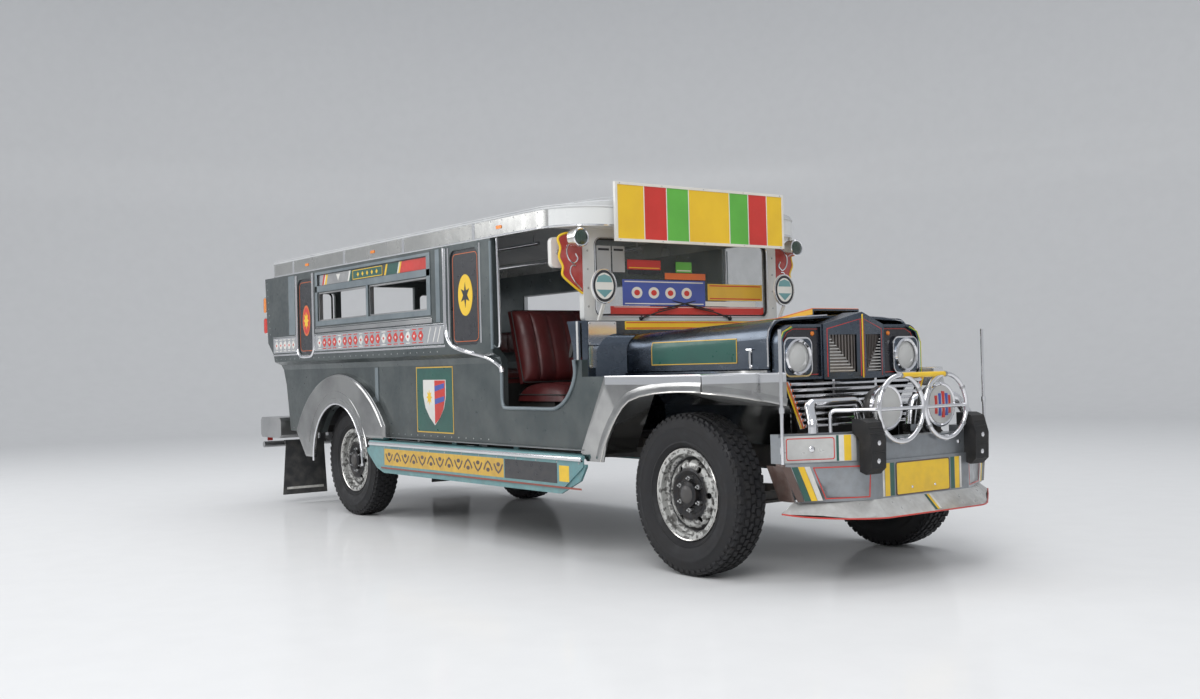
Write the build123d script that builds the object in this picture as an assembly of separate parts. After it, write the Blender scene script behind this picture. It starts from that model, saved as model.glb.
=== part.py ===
from build123d import *

import math
import os

# A long-wheelbase jeepney: a passenger jeep with an open-sided cab and side benches.
# Millimetres. +X is forward, +Y is the vehicle's left, +Z is up, and the ground is z = 0.
# Lengths along X are measured from the front axle, and the pieces are moved at the end
# so that the origin is on the ground under the middle of the overall length.

# Overall sizes
WHEELBASE = 3623
FRONT_END = 865
REAR_END = -5080
HALF_WIDTH = 900
TYRE_RADIUS = 388
TYRE_WIDTH = 200
HALF_TRACK = 689
SEAT_GAP = 0.3
PIN_GAP = 0.1
RUN_GAP = 6
SHEET = 5
PANEL = 40

# Roof and rail
RAIL_BOTTOM = 1750
RAIL_TOP = 1855
ROOF_CROWN = 1990
ROOF_END_CROWN = 1915
ROOF_SKIN = 25
ROOF_HALF = 890
ROOF_FRONT = -725
ROOF_REAR = -4915
RAIL_CORNER = 300

# Body sides
BELT_LOW = 1100
COVE_LOW = 1040
LOWER_HALF = 840
SILL_BOTTOM = 575
BODY_FRONT = -720
DOOR_REAR = -1500
DOOR_SILL = 785
DOOR_FRONT = -770

# Floor and chassis
FRAME_BOTTOM = 500
FRAME_TOP = 610
FRAME_OUTER = 360
FRAME_DEPTH = 60
FRAME_WALL = 6
FRAME_FRONT = 680
FRAME_REAR = -4700
BATTEN = 20
FLOOR_THICK = 25
FLOOR_TOP = FRAME_TOP + BATTEN + FLOOR_THICK
CROSS_MEMBERS = (510, -1300, -2300, -3120, -4120, -4660)
OUTRIGGERS = (-880, -1450, -2150, -2950, -4360)
CROSS_DEPTH = 50
CROSS_WIDTH = 80
OUTRIGGER_WIDTH = 50

# Cab and front sheet metal
COWL_FRONT = -785
COWL_TOP = 1250
SCUTTLE_FRONT = -722
SCUTTLE_HALF = 702
SCUTTLE_FLAT = 522
HOOD_REAR = SCUTTLE_FRONT + RUN_GAP
HOOD_FRONT = 318
HOOD_HALF = 506
HOOD_REAR_HALF = 540
HOOD_LOW = 975
HOOD_CREST_REAR = 1192
HOOD_CREST_FRONT = 1232
HOOD_SKIN = 10
HOOD_RIDGE = 18
SHOULDER = 108
HINGES = ((-140, -100), (100, 140))
HINGE_X = HOOD_REAR + 4
SHELF_REACH = 12
SHELF_GAP = 7.05
HINGE_Z = 1190
HINGE_PIN = 3.5
BARREL_RADIUS = 7
SHELL_BACK = HOOD_FRONT + RUN_GAP
WINDSHIELD_X = -880
WINDSHIELD_HALF = 714
FENDER_TOP = 955
FENDER_OUTER = 860
FENDER_SKIN = 12
SHELF_TOP = FENDER_TOP

# Front bumper group
BUMPER_FACE = 780
BUMPER_END_X = 600
BUMPER_HALF = 705
BUMPER_BEND = 330
BUMPER_LOW = 555
BUMPER_HIGH = 685

# Wheels, axles and steering
RIM_RADIUS = 222
BEAD_RADIUS = 203
RIM_HALF = 72
KINGPIN_Y = 600
KINGPIN_RADIUS = 13
SPINDLE_RADIUS = 22
STEER_ARM = 150
ARM_TOE = 24
TIE_ROD_RADIUS = 13
SPRING_INNER = 305
SPRING_OUTER = 355
LEAF = 7
STEERING_WHEEL_X = -1230
STEERING_WHEEL_Y = 370
STEERING_WHEEL_Z = 1120
STEERING_WHEEL_RADIUS = 200
COLUMN_TILT = 50

SHIFT = -(FRONT_END + REAR_END) / 2
REAR_AXLE = -WHEELBASE


def block(x0, x1, y0, y1, z0, z1):
    """Box between two corners."""
    middle = Pos((x0 + x1) / 2, (y0 + y1) / 2, (z0 + z1) / 2)
    return middle * Box(abs(x1 - x0), abs(y1 - y0), abs(z1 - z0))


def side_slab(points, y0, y1):
    """Outline in X and Z, extruded from y0 to y1."""
    face = make_face(Polyline(*points, close=True))
    return Pos(0, y1, 0) * extrude(Plane.XZ * face, amount=y1 - y0)


def plan_slab(points, z0, z1):
    """Outline in X and Y, extruded from z0 to z1."""
    face = make_face(Polyline(*points, close=True))
    return Pos(0, 0, z0) * extrude(face, amount=z1 - z0)


def cross_slab(points, x0, x1):
    """Outline in Y and Z, extruded from x0 to x1."""
    face = make_face(Polyline(*points, close=True))
    return Pos(x0, 0, 0) * extrude(Plane.YZ * face, amount=x1 - x0)


def rounded_side(x0, x1, z0, z1, radius, y0, y1):
    """Rounded rectangle in X and Z, extruded from y0 to y1."""
    face = Plane.XZ * RectangleRounded(x1 - x0, z1 - z0, radius)
    return Pos((x0 + x1) / 2, y1, (z0 + z1) / 2) * extrude(face, amount=y1 - y0)


def rounded_cross(y0, y1, z0, z1, radius, x0, x1):
    """Rounded rectangle in Y and Z, extruded from x0 to x1."""
    face = Plane.YZ * RectangleRounded(y1 - y0, z1 - z0, radius)
    return Pos(x0, (y0 + y1) / 2, (z0 + z1) / 2) * extrude(face, amount=x1 - x0)


def rod(start, end, radius):
    """Round bar between two points."""
    line = Line(start, end)
    section = Plane(origin=start, z_dir=line % 0) * Circle(radius)
    return extrude(section, amount=line.length)


def bent_tube(points, radius, bend):
    """Round bar along a path whose corners are arcs."""
    path = FilletPolyline(*points, radius=bend)
    return sweep(Plane(origin=path @ 0, z_dir=path % 0) * Circle(radius), path=path)


def flip(shape):
    """The same shape on the other side of the vehicle."""
    return mirror(shape, about=Plane.XZ)


def group(*shapes):
    """Solids that do not touch, kept in one node."""
    return Compound([solid for shape in shapes for solid in shape.solids()])


def pair(shape):
    """The shape and its copy on the other side."""
    return group(shape, flip(shape))


def chassis_frame():
    """Two inward channels with cross members and body outriggers."""
    inner = FRAME_OUTER - FRAME_DEPTH
    web = FRAME_OUTER - FRAME_WALL
    rail = block(FRAME_REAR, FRAME_FRONT, inner, FRAME_OUTER, FRAME_BOTTOM, FRAME_TOP)
    rail -= block(FRAME_REAR, FRAME_FRONT, inner, web,
                  FRAME_BOTTOM + FRAME_WALL, FRAME_TOP - FRAME_WALL)
    frame = rail + flip(rail)
    low = FRAME_TOP - CROSS_DEPTH
    for x in CROSS_MEMBERS:
        x0 = x - CROSS_WIDTH / 2
        x1 = x + CROSS_WIDTH / 2
        member = block(x0, x1, -web, web, low, FRAME_TOP)
        member -= block(x0 + FRAME_WALL, x1 - FRAME_WALL, -web, web, low, FRAME_TOP - FRAME_WALL)
        frame += member
    for x0 in OUTRIGGERS:
        x1 = x0 + OUTRIGGER_WIDTH
        reach = LOWER_HALF - PANEL
        arm = block(x0, x1, web, reach, low, FRAME_TOP)
        arm -= block(x0 + FRAME_WALL, x1 - FRAME_WALL, FRAME_OUTER, reach,
                     low, FRAME_TOP - FRAME_WALL)
        frame += arm + flip(arm)
    return frame


# Engine and drive line, from the sump to the axle
ENGINE_FRONT = 200
ENGINE_REAR = -560
ENGINE_HALF = 210
ENGINE_LOW = 470
ENGINE_HIGH = 950
GEARBOX_REAR = -1160
SHAFT_FRONT_Z = 510
SHAFT_RADIUS = 38
DIFF_NOSE = 300


def engine_block():
    """Engine as one plain block with its gearbox, standing on two lugs."""
    body = block(ENGINE_REAR, ENGINE_FRONT, -ENGINE_HALF, ENGINE_HALF, ENGINE_LOW, ENGINE_HIGH)
    body = chamfer(body.edges().filter_by(Axis.X), 40)
    wide = Plane(origin=(ENGINE_REAR, 0, SHAFT_FRONT_Z), z_dir=(-1, 0, 0)) * Rectangle(150, 250)
    narrow = Plane(origin=(GEARBOX_REAR, 0, SHAFT_FRONT_Z), z_dir=(-1, 0, 0)) * Rectangle(110, 140)
    body += loft([wide.face(), narrow.face()])
    lug = block(-230, -130, ENGINE_HALF - 20, FRAME_OUTER - 32, FRAME_TOP, FRAME_TOP + 40)
    return body + lug + flip(lug)


def propshaft():
    """Tube from the gearbox to the axle nose with a yoke at each end."""
    front = Vector(GEARBOX_REAR, 0, SHAFT_FRONT_Z)
    rear = Vector(REAR_AXLE + DIFF_NOSE, 0, TYRE_RADIUS)
    shaft = rod(front, rear, SHAFT_RADIUS)
    run = (rear - front).normalized()
    for end, way in ((front, run), (rear, -run)):
        shaft += rod(end, end + way * 70, SHAFT_RADIUS + 14)
    shaft -= block(GEARBOX_REAR, GEARBOX_REAR + 100, -80, 80, 400, 600)
    shaft -= block(REAR_AXLE + DIFF_NOSE - 100, REAR_AXLE + DIFF_NOSE, -80, 80, 300, 480)
    return shaft


def front_axle():
    """Forged I-beam, dropped in the middle, with an eye for each kingpin."""
    eye = TYRE_RADIUS
    drop = eye - 48
    outline = [(-KINGPIN_Y, eye - 30), (-KINGPIN_Y, eye + 30), (-500, eye + 30), (-420, drop + 35),
               (420, drop + 35), (500, eye + 30), (KINGPIN_Y, eye + 30), (KINGPIN_Y, eye - 30),
               (500, eye - 30), (420, drop - 35), (-420, drop - 35), (-500, eye - 30)]
    beam = cross_slab(outline, -28, 28)
    groove = [(-540, eye - 16), (-540, eye + 16), (-488, eye + 16), (-408, drop + 22),
              (408, drop + 22), (488, eye + 16), (540, eye + 16), (540, eye - 16),
              (488, eye - 16), (408, drop - 22), (-408, drop - 22), (-488, eye - 16)]
    for x0, x1 in ((-28, -9), (9, 28)):
        beam -= cross_slab(groove, x0, x1)
    for side in (-1, 1):
        beam += Pos(0, side * KINGPIN_Y, eye) * Cylinder(32, 84)
        beam -= Pos(0, side * KINGPIN_Y, eye) * Cylinder(KINGPIN_RADIUS + PIN_GAP, 100)
    return beam


REAR_TUBE = 42
HUB_END = HALF_TRACK + 34


def rear_axle():
    """Axle tube with the differential housing and its nose."""
    middle = Pos(REAR_AXLE, 0, TYRE_RADIUS)
    axle = middle * Rot(X=90) * Cylinder(REAR_TUBE, 2 * (HALF_TRACK - RIM_HALF))
    axle += middle * Rot(X=90) * Cylinder(SPINDLE_RADIUS, 2 * HUB_END)
    for side in (-1, 1):
        plate = Pos(REAR_AXLE, side * (HALF_TRACK - RIM_HALF - 4), TYRE_RADIUS)
        axle += plate * Rot(X=90) * Cylinder(150, 8)
    bowl = middle * Rot(Y=90) * Cylinder(140, 150)
    bowl = fillet(bowl.edges().filter_by(GeomType.CIRCLE), 50)
    axle += bowl
    nose = Pos(REAR_AXLE + DIFF_NOSE / 2, 0, TYRE_RADIUS) * Rot(Y=90) * Cone(110, 50, DIFF_NOSE)
    return axle + nose


# Leaf packs: axle, half length of the main leaf, camber, underside of the pack
SPRING_PACKS = (
    (0, 500, 55, TYRE_RADIUS - 13),
    (REAR_AXLE, 620, 22, TYRE_RADIUS + REAR_TUBE),
)
LEAF_SHARES = (0.3, 0.5, 0.68, 0.85, 1.0)


def leaf(centre, half, rise, z):
    """One leaf: a flat strip bent to an arc that rises at both ends."""
    lower = ThreePointArc((centre - half, z + rise), (centre, z), (centre + half, z + rise))
    upper = ThreePointArc((centre + half, z + rise + LEAF), (centre, z + LEAF),
                          (centre - half, z + rise + LEAF))
    ends = (Line(lower @ 1, upper @ 0), Line(upper @ 1, lower @ 0))
    face = Plane.XZ * make_face([lower, upper, *ends])
    return Pos(0, SPRING_OUTER, 0) * extrude(face, amount=SPRING_OUTER - SPRING_INNER)


def leaf_springs():
    """Four leaf packs, each with its two hangers under the frame rail."""
    packs = []
    for centre, half, camber, bottom in SPRING_PACKS:
        pack = block(centre - 50, centre + 50, SPRING_INNER, SPRING_OUTER,
                     bottom, bottom + 4)
        for index, share in enumerate(LEAF_SHARES):
            pack += leaf(centre, half * share, camber * share ** 2, bottom + 1 + index * LEAF)
        top = bottom + 1 + (len(LEAF_SHARES) - 1) * LEAF + camber
        for end in (centre - half, centre + half):
            pack += side_slab([(end - 14, top - 2), (end + 14, top - 2), (end + 22, FRAME_BOTTOM),
                               (end - 22, FRAME_BOTTOM)], SPRING_INNER, SPRING_OUTER)
        packs.append(pair(pack))
    return group(*packs)


TANK_RADIUS = 95
TANK_Z = 400
TANK_Y = 600


def fuel_tank():
    """Long drum under the floor on the right, hung from two outriggers by straps."""
    tank = Pos(-2530, -TANK_Y, TANK_Z) * Rot(Y=90) * Cylinder(TANK_RADIUS, 900)
    tank = fillet(tank.edges().filter_by(GeomType.CIRCLE), 20)
    for x in (-2950, -2150):
        strap = block(x + 10, x + 40, -TANK_Y - 20, -TANK_Y + 20, TANK_Z + 60,
                      FRAME_TOP - FRAME_WALL)
        tank += strap
    return tank


PIPE_Y = 430
PIPE_Z = 478
PIPE_RADIUS = 22


def exhaust():
    """Pipe along the left side with a muffler, carried by hangers."""
    low = [(-600, ENGINE_HALF + 200, PIPE_Z + 20), (-760, PIPE_Y, PIPE_Z), (-4880, PIPE_Y, PIPE_Z)]
    pipe = bent_tube(low, PIPE_RADIUS, 200)
    pipe += Pos(-1850, PIPE_Y, PIPE_Z) * Rot(Y=90) * Cylinder(64, 420)
    for x in OUTRIGGERS[1:]:
        pipe += rod((x + 3, PIPE_Y, PIPE_Z), (x + 3, PIPE_Y, FRAME_TOP - CROSS_DEPTH), 3)
    return pipe


# Floor, benches and seats
TAIL_PANEL = -4555
WELL_INNER = 560
WELL_TOP = 850
WELL_HALF = 430
BENCH_FRONT = -1760
BENCH_REAR = -4450
BENCH_INNER = 430
BENCH_TOP = 920
CUSHION = 85
SEAT_BASE_TOP = 820


def floor_pan():
    """Floor on battens, cut out over each rear wheel."""
    side = LOWER_HALF - PANEL
    outline = [(-1005, -side), (-1005, side), (TAIL_PANEL, side), (TAIL_PANEL, -side)]
    floor = plan_slab(outline, FLOOR_TOP - FLOOR_THICK, FLOOR_TOP)
    for x0 in OUTRIGGERS[1:]:
        floor += block(x0, x0 + OUTRIGGER_WIDTH, -side, side, FRAME_TOP, FRAME_TOP + BATTEN)
    for way in (-1, 1):
        floor -= block(REAR_AXLE - WELL_HALF + SHEET, REAR_AXLE + WELL_HALF - SHEET,
                       way * (WELL_INNER + SHEET), way * (side + 1), FRAME_TOP, FLOOR_TOP + 1)
    return floor


def wheel_housings():
    """Sheet-metal box on the floor over each rear wheel, open below and outward."""
    wall = LOWER_HALF - PANEL - SEAT_GAP
    base = FLOOR_TOP + SEAT_GAP
    box = block(REAR_AXLE - WELL_HALF, REAR_AXLE + WELL_HALF, WELL_INNER, wall, base, WELL_TOP)
    box -= block(REAR_AXLE - WELL_HALF + SHEET, REAR_AXLE + WELL_HALF - SHEET,
                 WELL_INNER + SHEET, wall + 1, base - 1, WELL_TOP - SHEET)
    return pair(box)


def seat_frames():
    """Sheet-metal bench boxes along both sides and the two front seat boxes."""
    wall = LOWER_HALF - PANEL - 2
    apron = block(BENCH_REAR, BENCH_FRONT, BENCH_INNER, BENCH_INNER + 8, FLOOR_TOP, BENCH_TOP)
    board = block(BENCH_REAR, BENCH_FRONT, BENCH_INNER - 20, wall, BENCH_TOP - 20, BENCH_TOP)
    bench = apron + board
    for x in (BENCH_FRONT - 8, BENCH_REAR):
        bench += block(x, x + 8, BENCH_INNER, wall, FLOOR_TOP, BENCH_TOP)
    seat = block(-1600, -1240, 160, 660, FLOOR_TOP, SEAT_BASE_TOP)
    seat -= block(-1590, -1250, 170, 650, FLOOR_TOP, SEAT_BASE_TOP - 10)
    return group(pair(bench), pair(seat))


def bench_cushions():
    """Long padded seats and backrests of the two side benches."""
    seat = block(BENCH_REAR + 5, BENCH_FRONT - 5, BENCH_INNER - 15, LOWER_HALF - PANEL - 4,
                 BENCH_TOP + SEAT_GAP, BENCH_TOP + CUSHION)
    seat = fillet(seat.edges().filter_by(Axis.X), 20)
    wall = HALF_WIDTH - PANEL - SEAT_GAP
    back = block(BENCH_REAR + 40, BENCH_FRONT - 5, wall - 55, wall, BELT_LOW + 35, BELT_LOW + 200)
    back = fillet(back.edges().filter_by(Axis.X), 18)
    return group(pair(seat), pair(back))


def front_seats():
    """Cushion and leaning backrest of the driver's and front passenger's seats."""
    base = SEAT_BASE_TOP + SEAT_GAP
    cushion = block(-1590, -1130, 140, 680, base, base + 100)
    cushion = fillet(cushion.edges().filter_by(Axis.Y), 30)
    foot = base + 100 + SEAT_GAP
    back = side_slab([(-1590, foot), (-1480, foot), (-1560, foot + 440), (-1655, foot + 440)],
                     140, 680)
    back = fillet(back.edges().filter_by(Axis.Y), 25)
    return group(pair(cushion), pair(back))


# Windows and recesses of one body side: front, rear, bottom, top, corner radius
OPEN_WINDOWS = (
    (-3090, -3875, 1380, 1585, 12),
    (-2253, -3058, 1380, 1585, 12),
)
TRANSOM = (-2235, -3893, 1632, 1712, 8)
RECESSES = (
    (-3965, -4238, 1150, 1700, 60),
    (-1640, -1965, 1150, 1715, 50),
)
WINDOW_FRAME = (-2204, -3911, 1300, 1732, 16)
RECESS_DEPTH = 10
ARCH_OPENING = 402
REAR_EDGE = ((-4825, 1250), (-4860, RAIL_BOTTOM))
KICK_LOW = 578
KICK_GAP = 4


def side_wall():
    """Cross-section of the left body side, run from the tail to the cowl."""
    inner = LOWER_HALF - PANEL
    upper = HALF_WIDTH - PANEL
    outline = [(LOWER_HALF, SILL_BOTTOM), (LOWER_HALF, COVE_LOW), (LOWER_HALF + 12, COVE_LOW + 36),
               (HALF_WIDTH, BELT_LOW), (HALF_WIDTH, RAIL_BOTTOM), (upper, RAIL_BOTTOM),
               (upper, BELT_LOW + 30), (inner, COVE_LOW + 20), (inner, SILL_BOTTOM)]
    return cross_slab(outline, -4860, BODY_FRONT)


def doorway():
    """Cutter for the open cab doorway, with its curved front corner."""
    edges = [
        Line((DOOR_REAR, RAIL_BOTTOM + 10), (DOOR_REAR, DOOR_SILL)),
        Line((DOOR_REAR, DOOR_SILL), (-1010, DOOR_SILL)),
        ThreePointArc((-1010, DOOR_SILL), (-835, 860), (DOOR_FRONT, 1044)),
        Line((DOOR_FRONT, 1044), (DOOR_FRONT + 60, 1044)),
        Line((DOOR_FRONT + 60, 1044), (DOOR_FRONT + 60, RAIL_BOTTOM + 10)),
        Line((DOOR_FRONT + 60, RAIL_BOTTOM + 10), (DOOR_REAR, RAIL_BOTTOM + 10)),
    ]
    face = Plane.XZ * make_face(edges)
    return Pos(0, HALF_WIDTH + 50, 0) * extrude(face, amount=HALF_WIDTH - 500)


def window_frames():
    """Framed window unit of each side: transom recess above two open windows."""
    front, rear, bottom, top, radius = WINDOW_FRAME
    unit = rounded_side(rear + SEAT_GAP, front - SEAT_GAP, bottom + SEAT_GAP, top - SEAT_GAP,
                        radius - SEAT_GAP, HALF_WIDTH - PANEL, HALF_WIDTH)
    for front, rear, bottom, top, radius in OPEN_WINDOWS:
        unit -= rounded_side(rear, front, bottom, top, radius, 700, 1000)
    front, rear, bottom, top, radius = TRANSOM
    unit -= rounded_side(rear, front, bottom, top, radius, HALF_WIDTH - RECESS_DEPTH, 1000)
    return pair(unit)


def body_side():
    """Left body side: cove, belt, window opening, doorway, kick panel and wheel opening."""
    wall = side_wall()
    wall -= doorway()
    slant = [(-5000, 0), (-4557, 0), (-4557, 575), (-4623, 925), (-4722, 1160), *REAR_EDGE,
             (-5000, RAIL_BOTTOM)]
    wall -= side_slab(slant, 700, 1000)
    kick = side_slab([(BODY_FRONT, SHELF_TOP), (BODY_FRONT, KICK_LOW),
                      (FENDER_REAR - KICK_GAP, SHELF_TOP)], LOWER_HALF - PANEL, LOWER_HALF)
    wall += kick
    outside = HALF_WIDTH + 20
    wall -= Pos(REAR_AXLE, outside, TYRE_RADIUS) * extrude(Plane.XZ * Circle(ARCH_OPENING), amount=200)
    front, rear, bottom, top, radius = WINDOW_FRAME
    wall -= rounded_side(rear, front, bottom, top, radius, 700, outside)
    for front, rear, bottom, top, radius in RECESSES:
        wall -= rounded_side(rear, front, bottom, top, radius, HALF_WIDTH - RECESS_DEPTH, outside)
    return wall


def roof_section(x, crown, sink):
    """One cross-section of the roof: an arc over a flat base, sunk by the skin."""
    half = ROOF_HALF - sink
    base = RAIL_TOP - sink
    arc = ThreePointArc((-half, base), (0, crown - sink), (half, base))
    face = make_face([arc, Line(arc @ 1, arc @ 0)])
    return (Plane.YZ.offset(x) * face).face()


def roof_height(y, sink):
    """Height of the middle of the roof at one distance from the centre line."""
    half = ROOF_HALF - sink
    rise = ROOF_CROWN - RAIL_TOP
    radius = (half ** 2 + rise ** 2) / (2 * rise)
    return ROOF_CROWN - sink - radius + math.sqrt(radius ** 2 - y ** 2)


def roof_shell():
    """Domed roof skin that falls away to the front and rear."""
    stations = ((ROOF_REAR, ROOF_END_CROWN), (-4500, ROOF_CROWN),
                (-1300, ROOF_CROWN), (ROOF_FRONT, ROOF_END_CROWN))
    outer = loft([roof_section(x, crown, 0) for x, crown in stations], ruled=True)
    inner = loft([roof_section(x, crown, ROOF_SKIN) for x, crown in stations], ruled=True)
    inner &= rail_plan(ROOF_SKIN + 10, RAIL_TOP - ROOF_SKIN - 1, ROOF_CROWN)
    return (outer & rail_plan(5, RAIL_TOP, ROOF_CROWN + 10)) - inner


def rail_plan(inset, z0, z1):
    """Rounded plan of the roof rail, drawn in by the inset."""
    length = ROOF_FRONT - ROOF_REAR - 2 * inset
    middle = Pos((ROOF_FRONT + ROOF_REAR) / 2, 0, z0)
    plan = RectangleRounded(length, 2 * (HALF_WIDTH - inset), RAIL_CORNER - inset)
    return middle * extrude(plan, amount=z1 - z0)


def roof_rail():
    """Polished band round the roof, with a soffit over the cab."""
    band = rail_plan(0, RAIL_BOTTOM, RAIL_TOP) - rail_plan(PANEL, RAIL_BOTTOM, RAIL_TOP)
    soffit = rail_plan(PANEL - 1, RAIL_BOTTOM, RAIL_BOTTOM + 12)
    soffit -= block(ROOF_REAR, WINDSHIELD_X - 60, -HALF_WIDTH, HALF_WIDTH, 1700, 1800)
    return band + soffit


ENTRANCE_HALF = 330


def rear_frame():
    """Rear corner panels, shelf and posts around the open entrance."""
    inner = LOWER_HALF - PANEL
    upper = HALF_WIDTH - PANEL
    low = block(TAIL_PANEL - 25, TAIL_PANEL, ENTRANCE_HALF, inner, FRAME_TOP, BELT_LOW)
    shelf = block(-4735, TAIL_PANEL, ENTRANCE_HALF, inner, BELT_LOW - 20, BELT_LOW)
    panel = block(-4750, -4715, ENTRANCE_HALF, upper, BELT_LOW + 30, RAIL_BOTTOM)
    panel += block(-4750, -4715, ENTRANCE_HALF, inner, BELT_LOW - 20, BELT_LOW + 30)
    panel -= rounded_cross(ENTRANCE_HALF + 45, 640, 1330, 1640, 30, -4800, -4700)
    corner = low + shelf + panel
    header = block(-4750, -4715, -ENTRANCE_HALF, ENTRANCE_HALF, 1700, RAIL_BOTTOM)
    return corner + flip(corner) + header


CORNER_DEPTH = 21
CORNER_WIDTH = 50
PLENUM = 12


def scuttle():
    """Flared skin that spreads the hood's rear edge out to the bulkhead."""
    shells = []
    for sink in (0, HOOD_SKIN):
        front = hood_section(SCUTTLE_FRONT, HOOD_REAR_HALF, HOOD_CREST_REAR, SHOULDER, sink)
        rear = hood_section(COWL_FRONT, SCUTTLE_HALF, HOOD_CREST_REAR + 3,
                            SCUTTLE_HALF - SCUTTLE_FLAT, sink)
        shells.append(loft([rear, front], ruled=True))
    outer, inner = shells
    return outer - inner


def cowl():
    """Bulkhead with folded outer corners, flat top, toe board, flared scuttle and side shelves."""
    half = LOWER_HALF - PANEL
    outline = [(COWL_FRONT, FLOOR_TOP), (COWL_FRONT, COWL_TOP), (-1010, COWL_TOP),
               (-1010, COWL_TOP - PLENUM), (COWL_FRONT - PLENUM, COWL_TOP - PLENUM),
               (COWL_FRONT - PLENUM, 830), (-1005, FLOOR_TOP + PLENUM), (-1005, FLOOR_TOP)]
    shell = side_slab(outline, -half, half)
    cheek = side_slab([(COWL_FRONT, FLOOR_TOP), (COWL_FRONT, COWL_TOP), (-900, COWL_TOP),
                       (-850, 1100), (-850, 880), (-1005, 785), (-1005, FLOOR_TOP)],
                      half - PLENUM, half)
    shell += cheek + flip(cheek)
    notch = plan_slab([(-1100, half + 5), (-1100, 640), (-930, 640), (-900, half + 5)],
                      COWL_TOP - 60, COWL_TOP + 5)
    fold = plan_slab([(COWL_FRONT + 1, half + 1), (COWL_FRONT + 1, half - CORNER_WIDTH),
                      (COWL_FRONT, half - CORNER_WIDTH), (COWL_FRONT - CORNER_DEPTH, half),
                      (COWL_FRONT - CORNER_DEPTH, half + 1)], SHELF_TOP, COWL_TOP + 5)
    shell = shell - notch - flip(notch) - fold - flip(fold)
    shelf_end = FENDER_REAR - SHELF_GAP
    shelf = block(COWL_FRONT, shelf_end, HOOD_HALF - SHELF_REACH, half,
                  SHELF_TOP - FENDER_SKIN, SHELF_TOP)
    rest = plan_slab([(SCUTTLE_FRONT, HOOD_REAR_HALF - SHELF_REACH),
                      (SCUTTLE_FRONT, HOOD_REAR_HALF + SHELF_REACH),
                      (shelf_end, hood_half(shelf_end) + SHELF_REACH),
                      (shelf_end, hood_half(shelf_end) - SHELF_REACH)],
                     SHELF_TOP - FENDER_SKIN, HOOD_LOW - RUN_GAP)
    foot = block(COWL_FRONT, SCUTTLE_FRONT, HOOD_REAR_HALF - SHELF_REACH, half, SHELF_TOP, HOOD_LOW)
    foot &= scuttle_foot()
    sides = shelf + rest + foot
    shell += sides + flip(sides) + scuttle()
    for y0, y1 in HINGES:
        shell += block(SCUTTLE_FRONT, HINGE_X + 3, y0, y1, HINGE_Z - 5, HINGE_Z + 5)
        shell += rod((HINGE_X, y0 - 30, HINGE_Z), (HINGE_X, y1 + 30, HINGE_Z), HINGE_PIN)
    return shell


def scuttle_foot():
    """Upright foot under each side of the scuttle, down to the shelf."""
    return plan_slab([(COWL_FRONT, SCUTTLE_HALF), (SCUTTLE_FRONT, HOOD_REAR_HALF),
                      (SCUTTLE_FRONT, HOOD_REAR_HALF - HOOD_SKIN), (COWL_FRONT, SCUTTLE_HALF - HOOD_SKIN)],
                     SHELF_TOP - 1, HOOD_LOW)


def windshield_frame():
    """Upright frame of the one-piece windshield, closed up to the soffit."""
    frame = rounded_cross(-WINDSHIELD_HALF, WINDSHIELD_HALF, COWL_TOP, RAIL_BOTTOM, 25,
                          WINDSHIELD_X - 20, WINDSHIELD_X + 20)
    frame += block(WINDSHIELD_X - 20, WINDSHIELD_X + 20, -600, 600, COWL_TOP, COWL_TOP + 20)
    return frame - windshield_hole(WINDSHIELD_X - 30, WINDSHIELD_X + 30)


def windshield_hole(x0, x1):
    """Rounded glass opening between two planes."""
    return rounded_cross(-640, 640, COWL_TOP + 25, 1705, 45, x0, x1)


def windshield_glass():
    """Flat laminated pane held in the frame's opening."""
    return windshield_hole(WINDSHIELD_X - 3, WINDSHIELD_X + 3)


def dashboard():
    """Dash panel under the cowl top, with the steering column."""
    panel = side_slab([(-1010, COWL_TOP - 12), (-960, COWL_TOP - 12), (-960, 1180), (-1030, 1060),
                       (-1045, 1060), (-1045, 1090), (-1010, 1180)], -690, 690)
    hub = steering_point(-38.5)
    foot = steering_point(-560)
    column = rod(hub, foot, 22)
    column -= side_slab([(COWL_FRONT - 12, 830), (-1005, FLOOR_TOP + 12), (-1005, 500), (-600, 500),
                         (-600, 830)], 200, 500)
    bracket = side_slab([(-1042, 1062), (-1016, 1100), (-1050, 890), (-1085, 930)],
                        STEERING_WHEEL_Y - 8, STEERING_WHEEL_Y + 8)
    return panel + column + bracket


def steering_point(along):
    """Point on the steering axis, measured from the wheel's centre towards the driver."""
    tilt = math.radians(COLUMN_TILT)
    return Vector(STEERING_WHEEL_X - along * math.cos(tilt), STEERING_WHEEL_Y,
                  STEERING_WHEEL_Z + along * math.sin(tilt))


def steering_wheel():
    """Rim, three spokes and hub, square to the column."""
    wheel = Torus(STEERING_WHEEL_RADIUS, 12)
    wheel += Pos(0, 0, -8) * Cylinder(34, 34)
    for turn in (90, 210, 330):
        spoke = Pos(STEERING_WHEEL_RADIUS / 2, 0, 0) * Box(STEERING_WHEEL_RADIUS - 6, 24, 8)
        wheel += Rot(Z=turn) * spoke
    wheel += Pos(0, 0, -29) * Cylinder(14, 18)
    face = Plane(origin=steering_point(0), x_dir=(0, 1, 0),
                 z_dir=(steering_point(1) - steering_point(0)))
    return face * wheel


SIGN_HALF = 620
SIGN_LOW = 1668
SIGN_HIGH = 1985


def sign_board():
    """Plain route board across the roof front, on two stays."""
    face = ROOF_FRONT + 22
    board = block(face, face + 14, -SIGN_HALF, SIGN_HALF, SIGN_LOW, SIGN_HIGH)
    for y in (-380, 380):
        board += block(ROOF_FRONT, face, y - 20, y + 20, RAIL_BOTTOM + 20, RAIL_TOP - 15)
    return board


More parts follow.
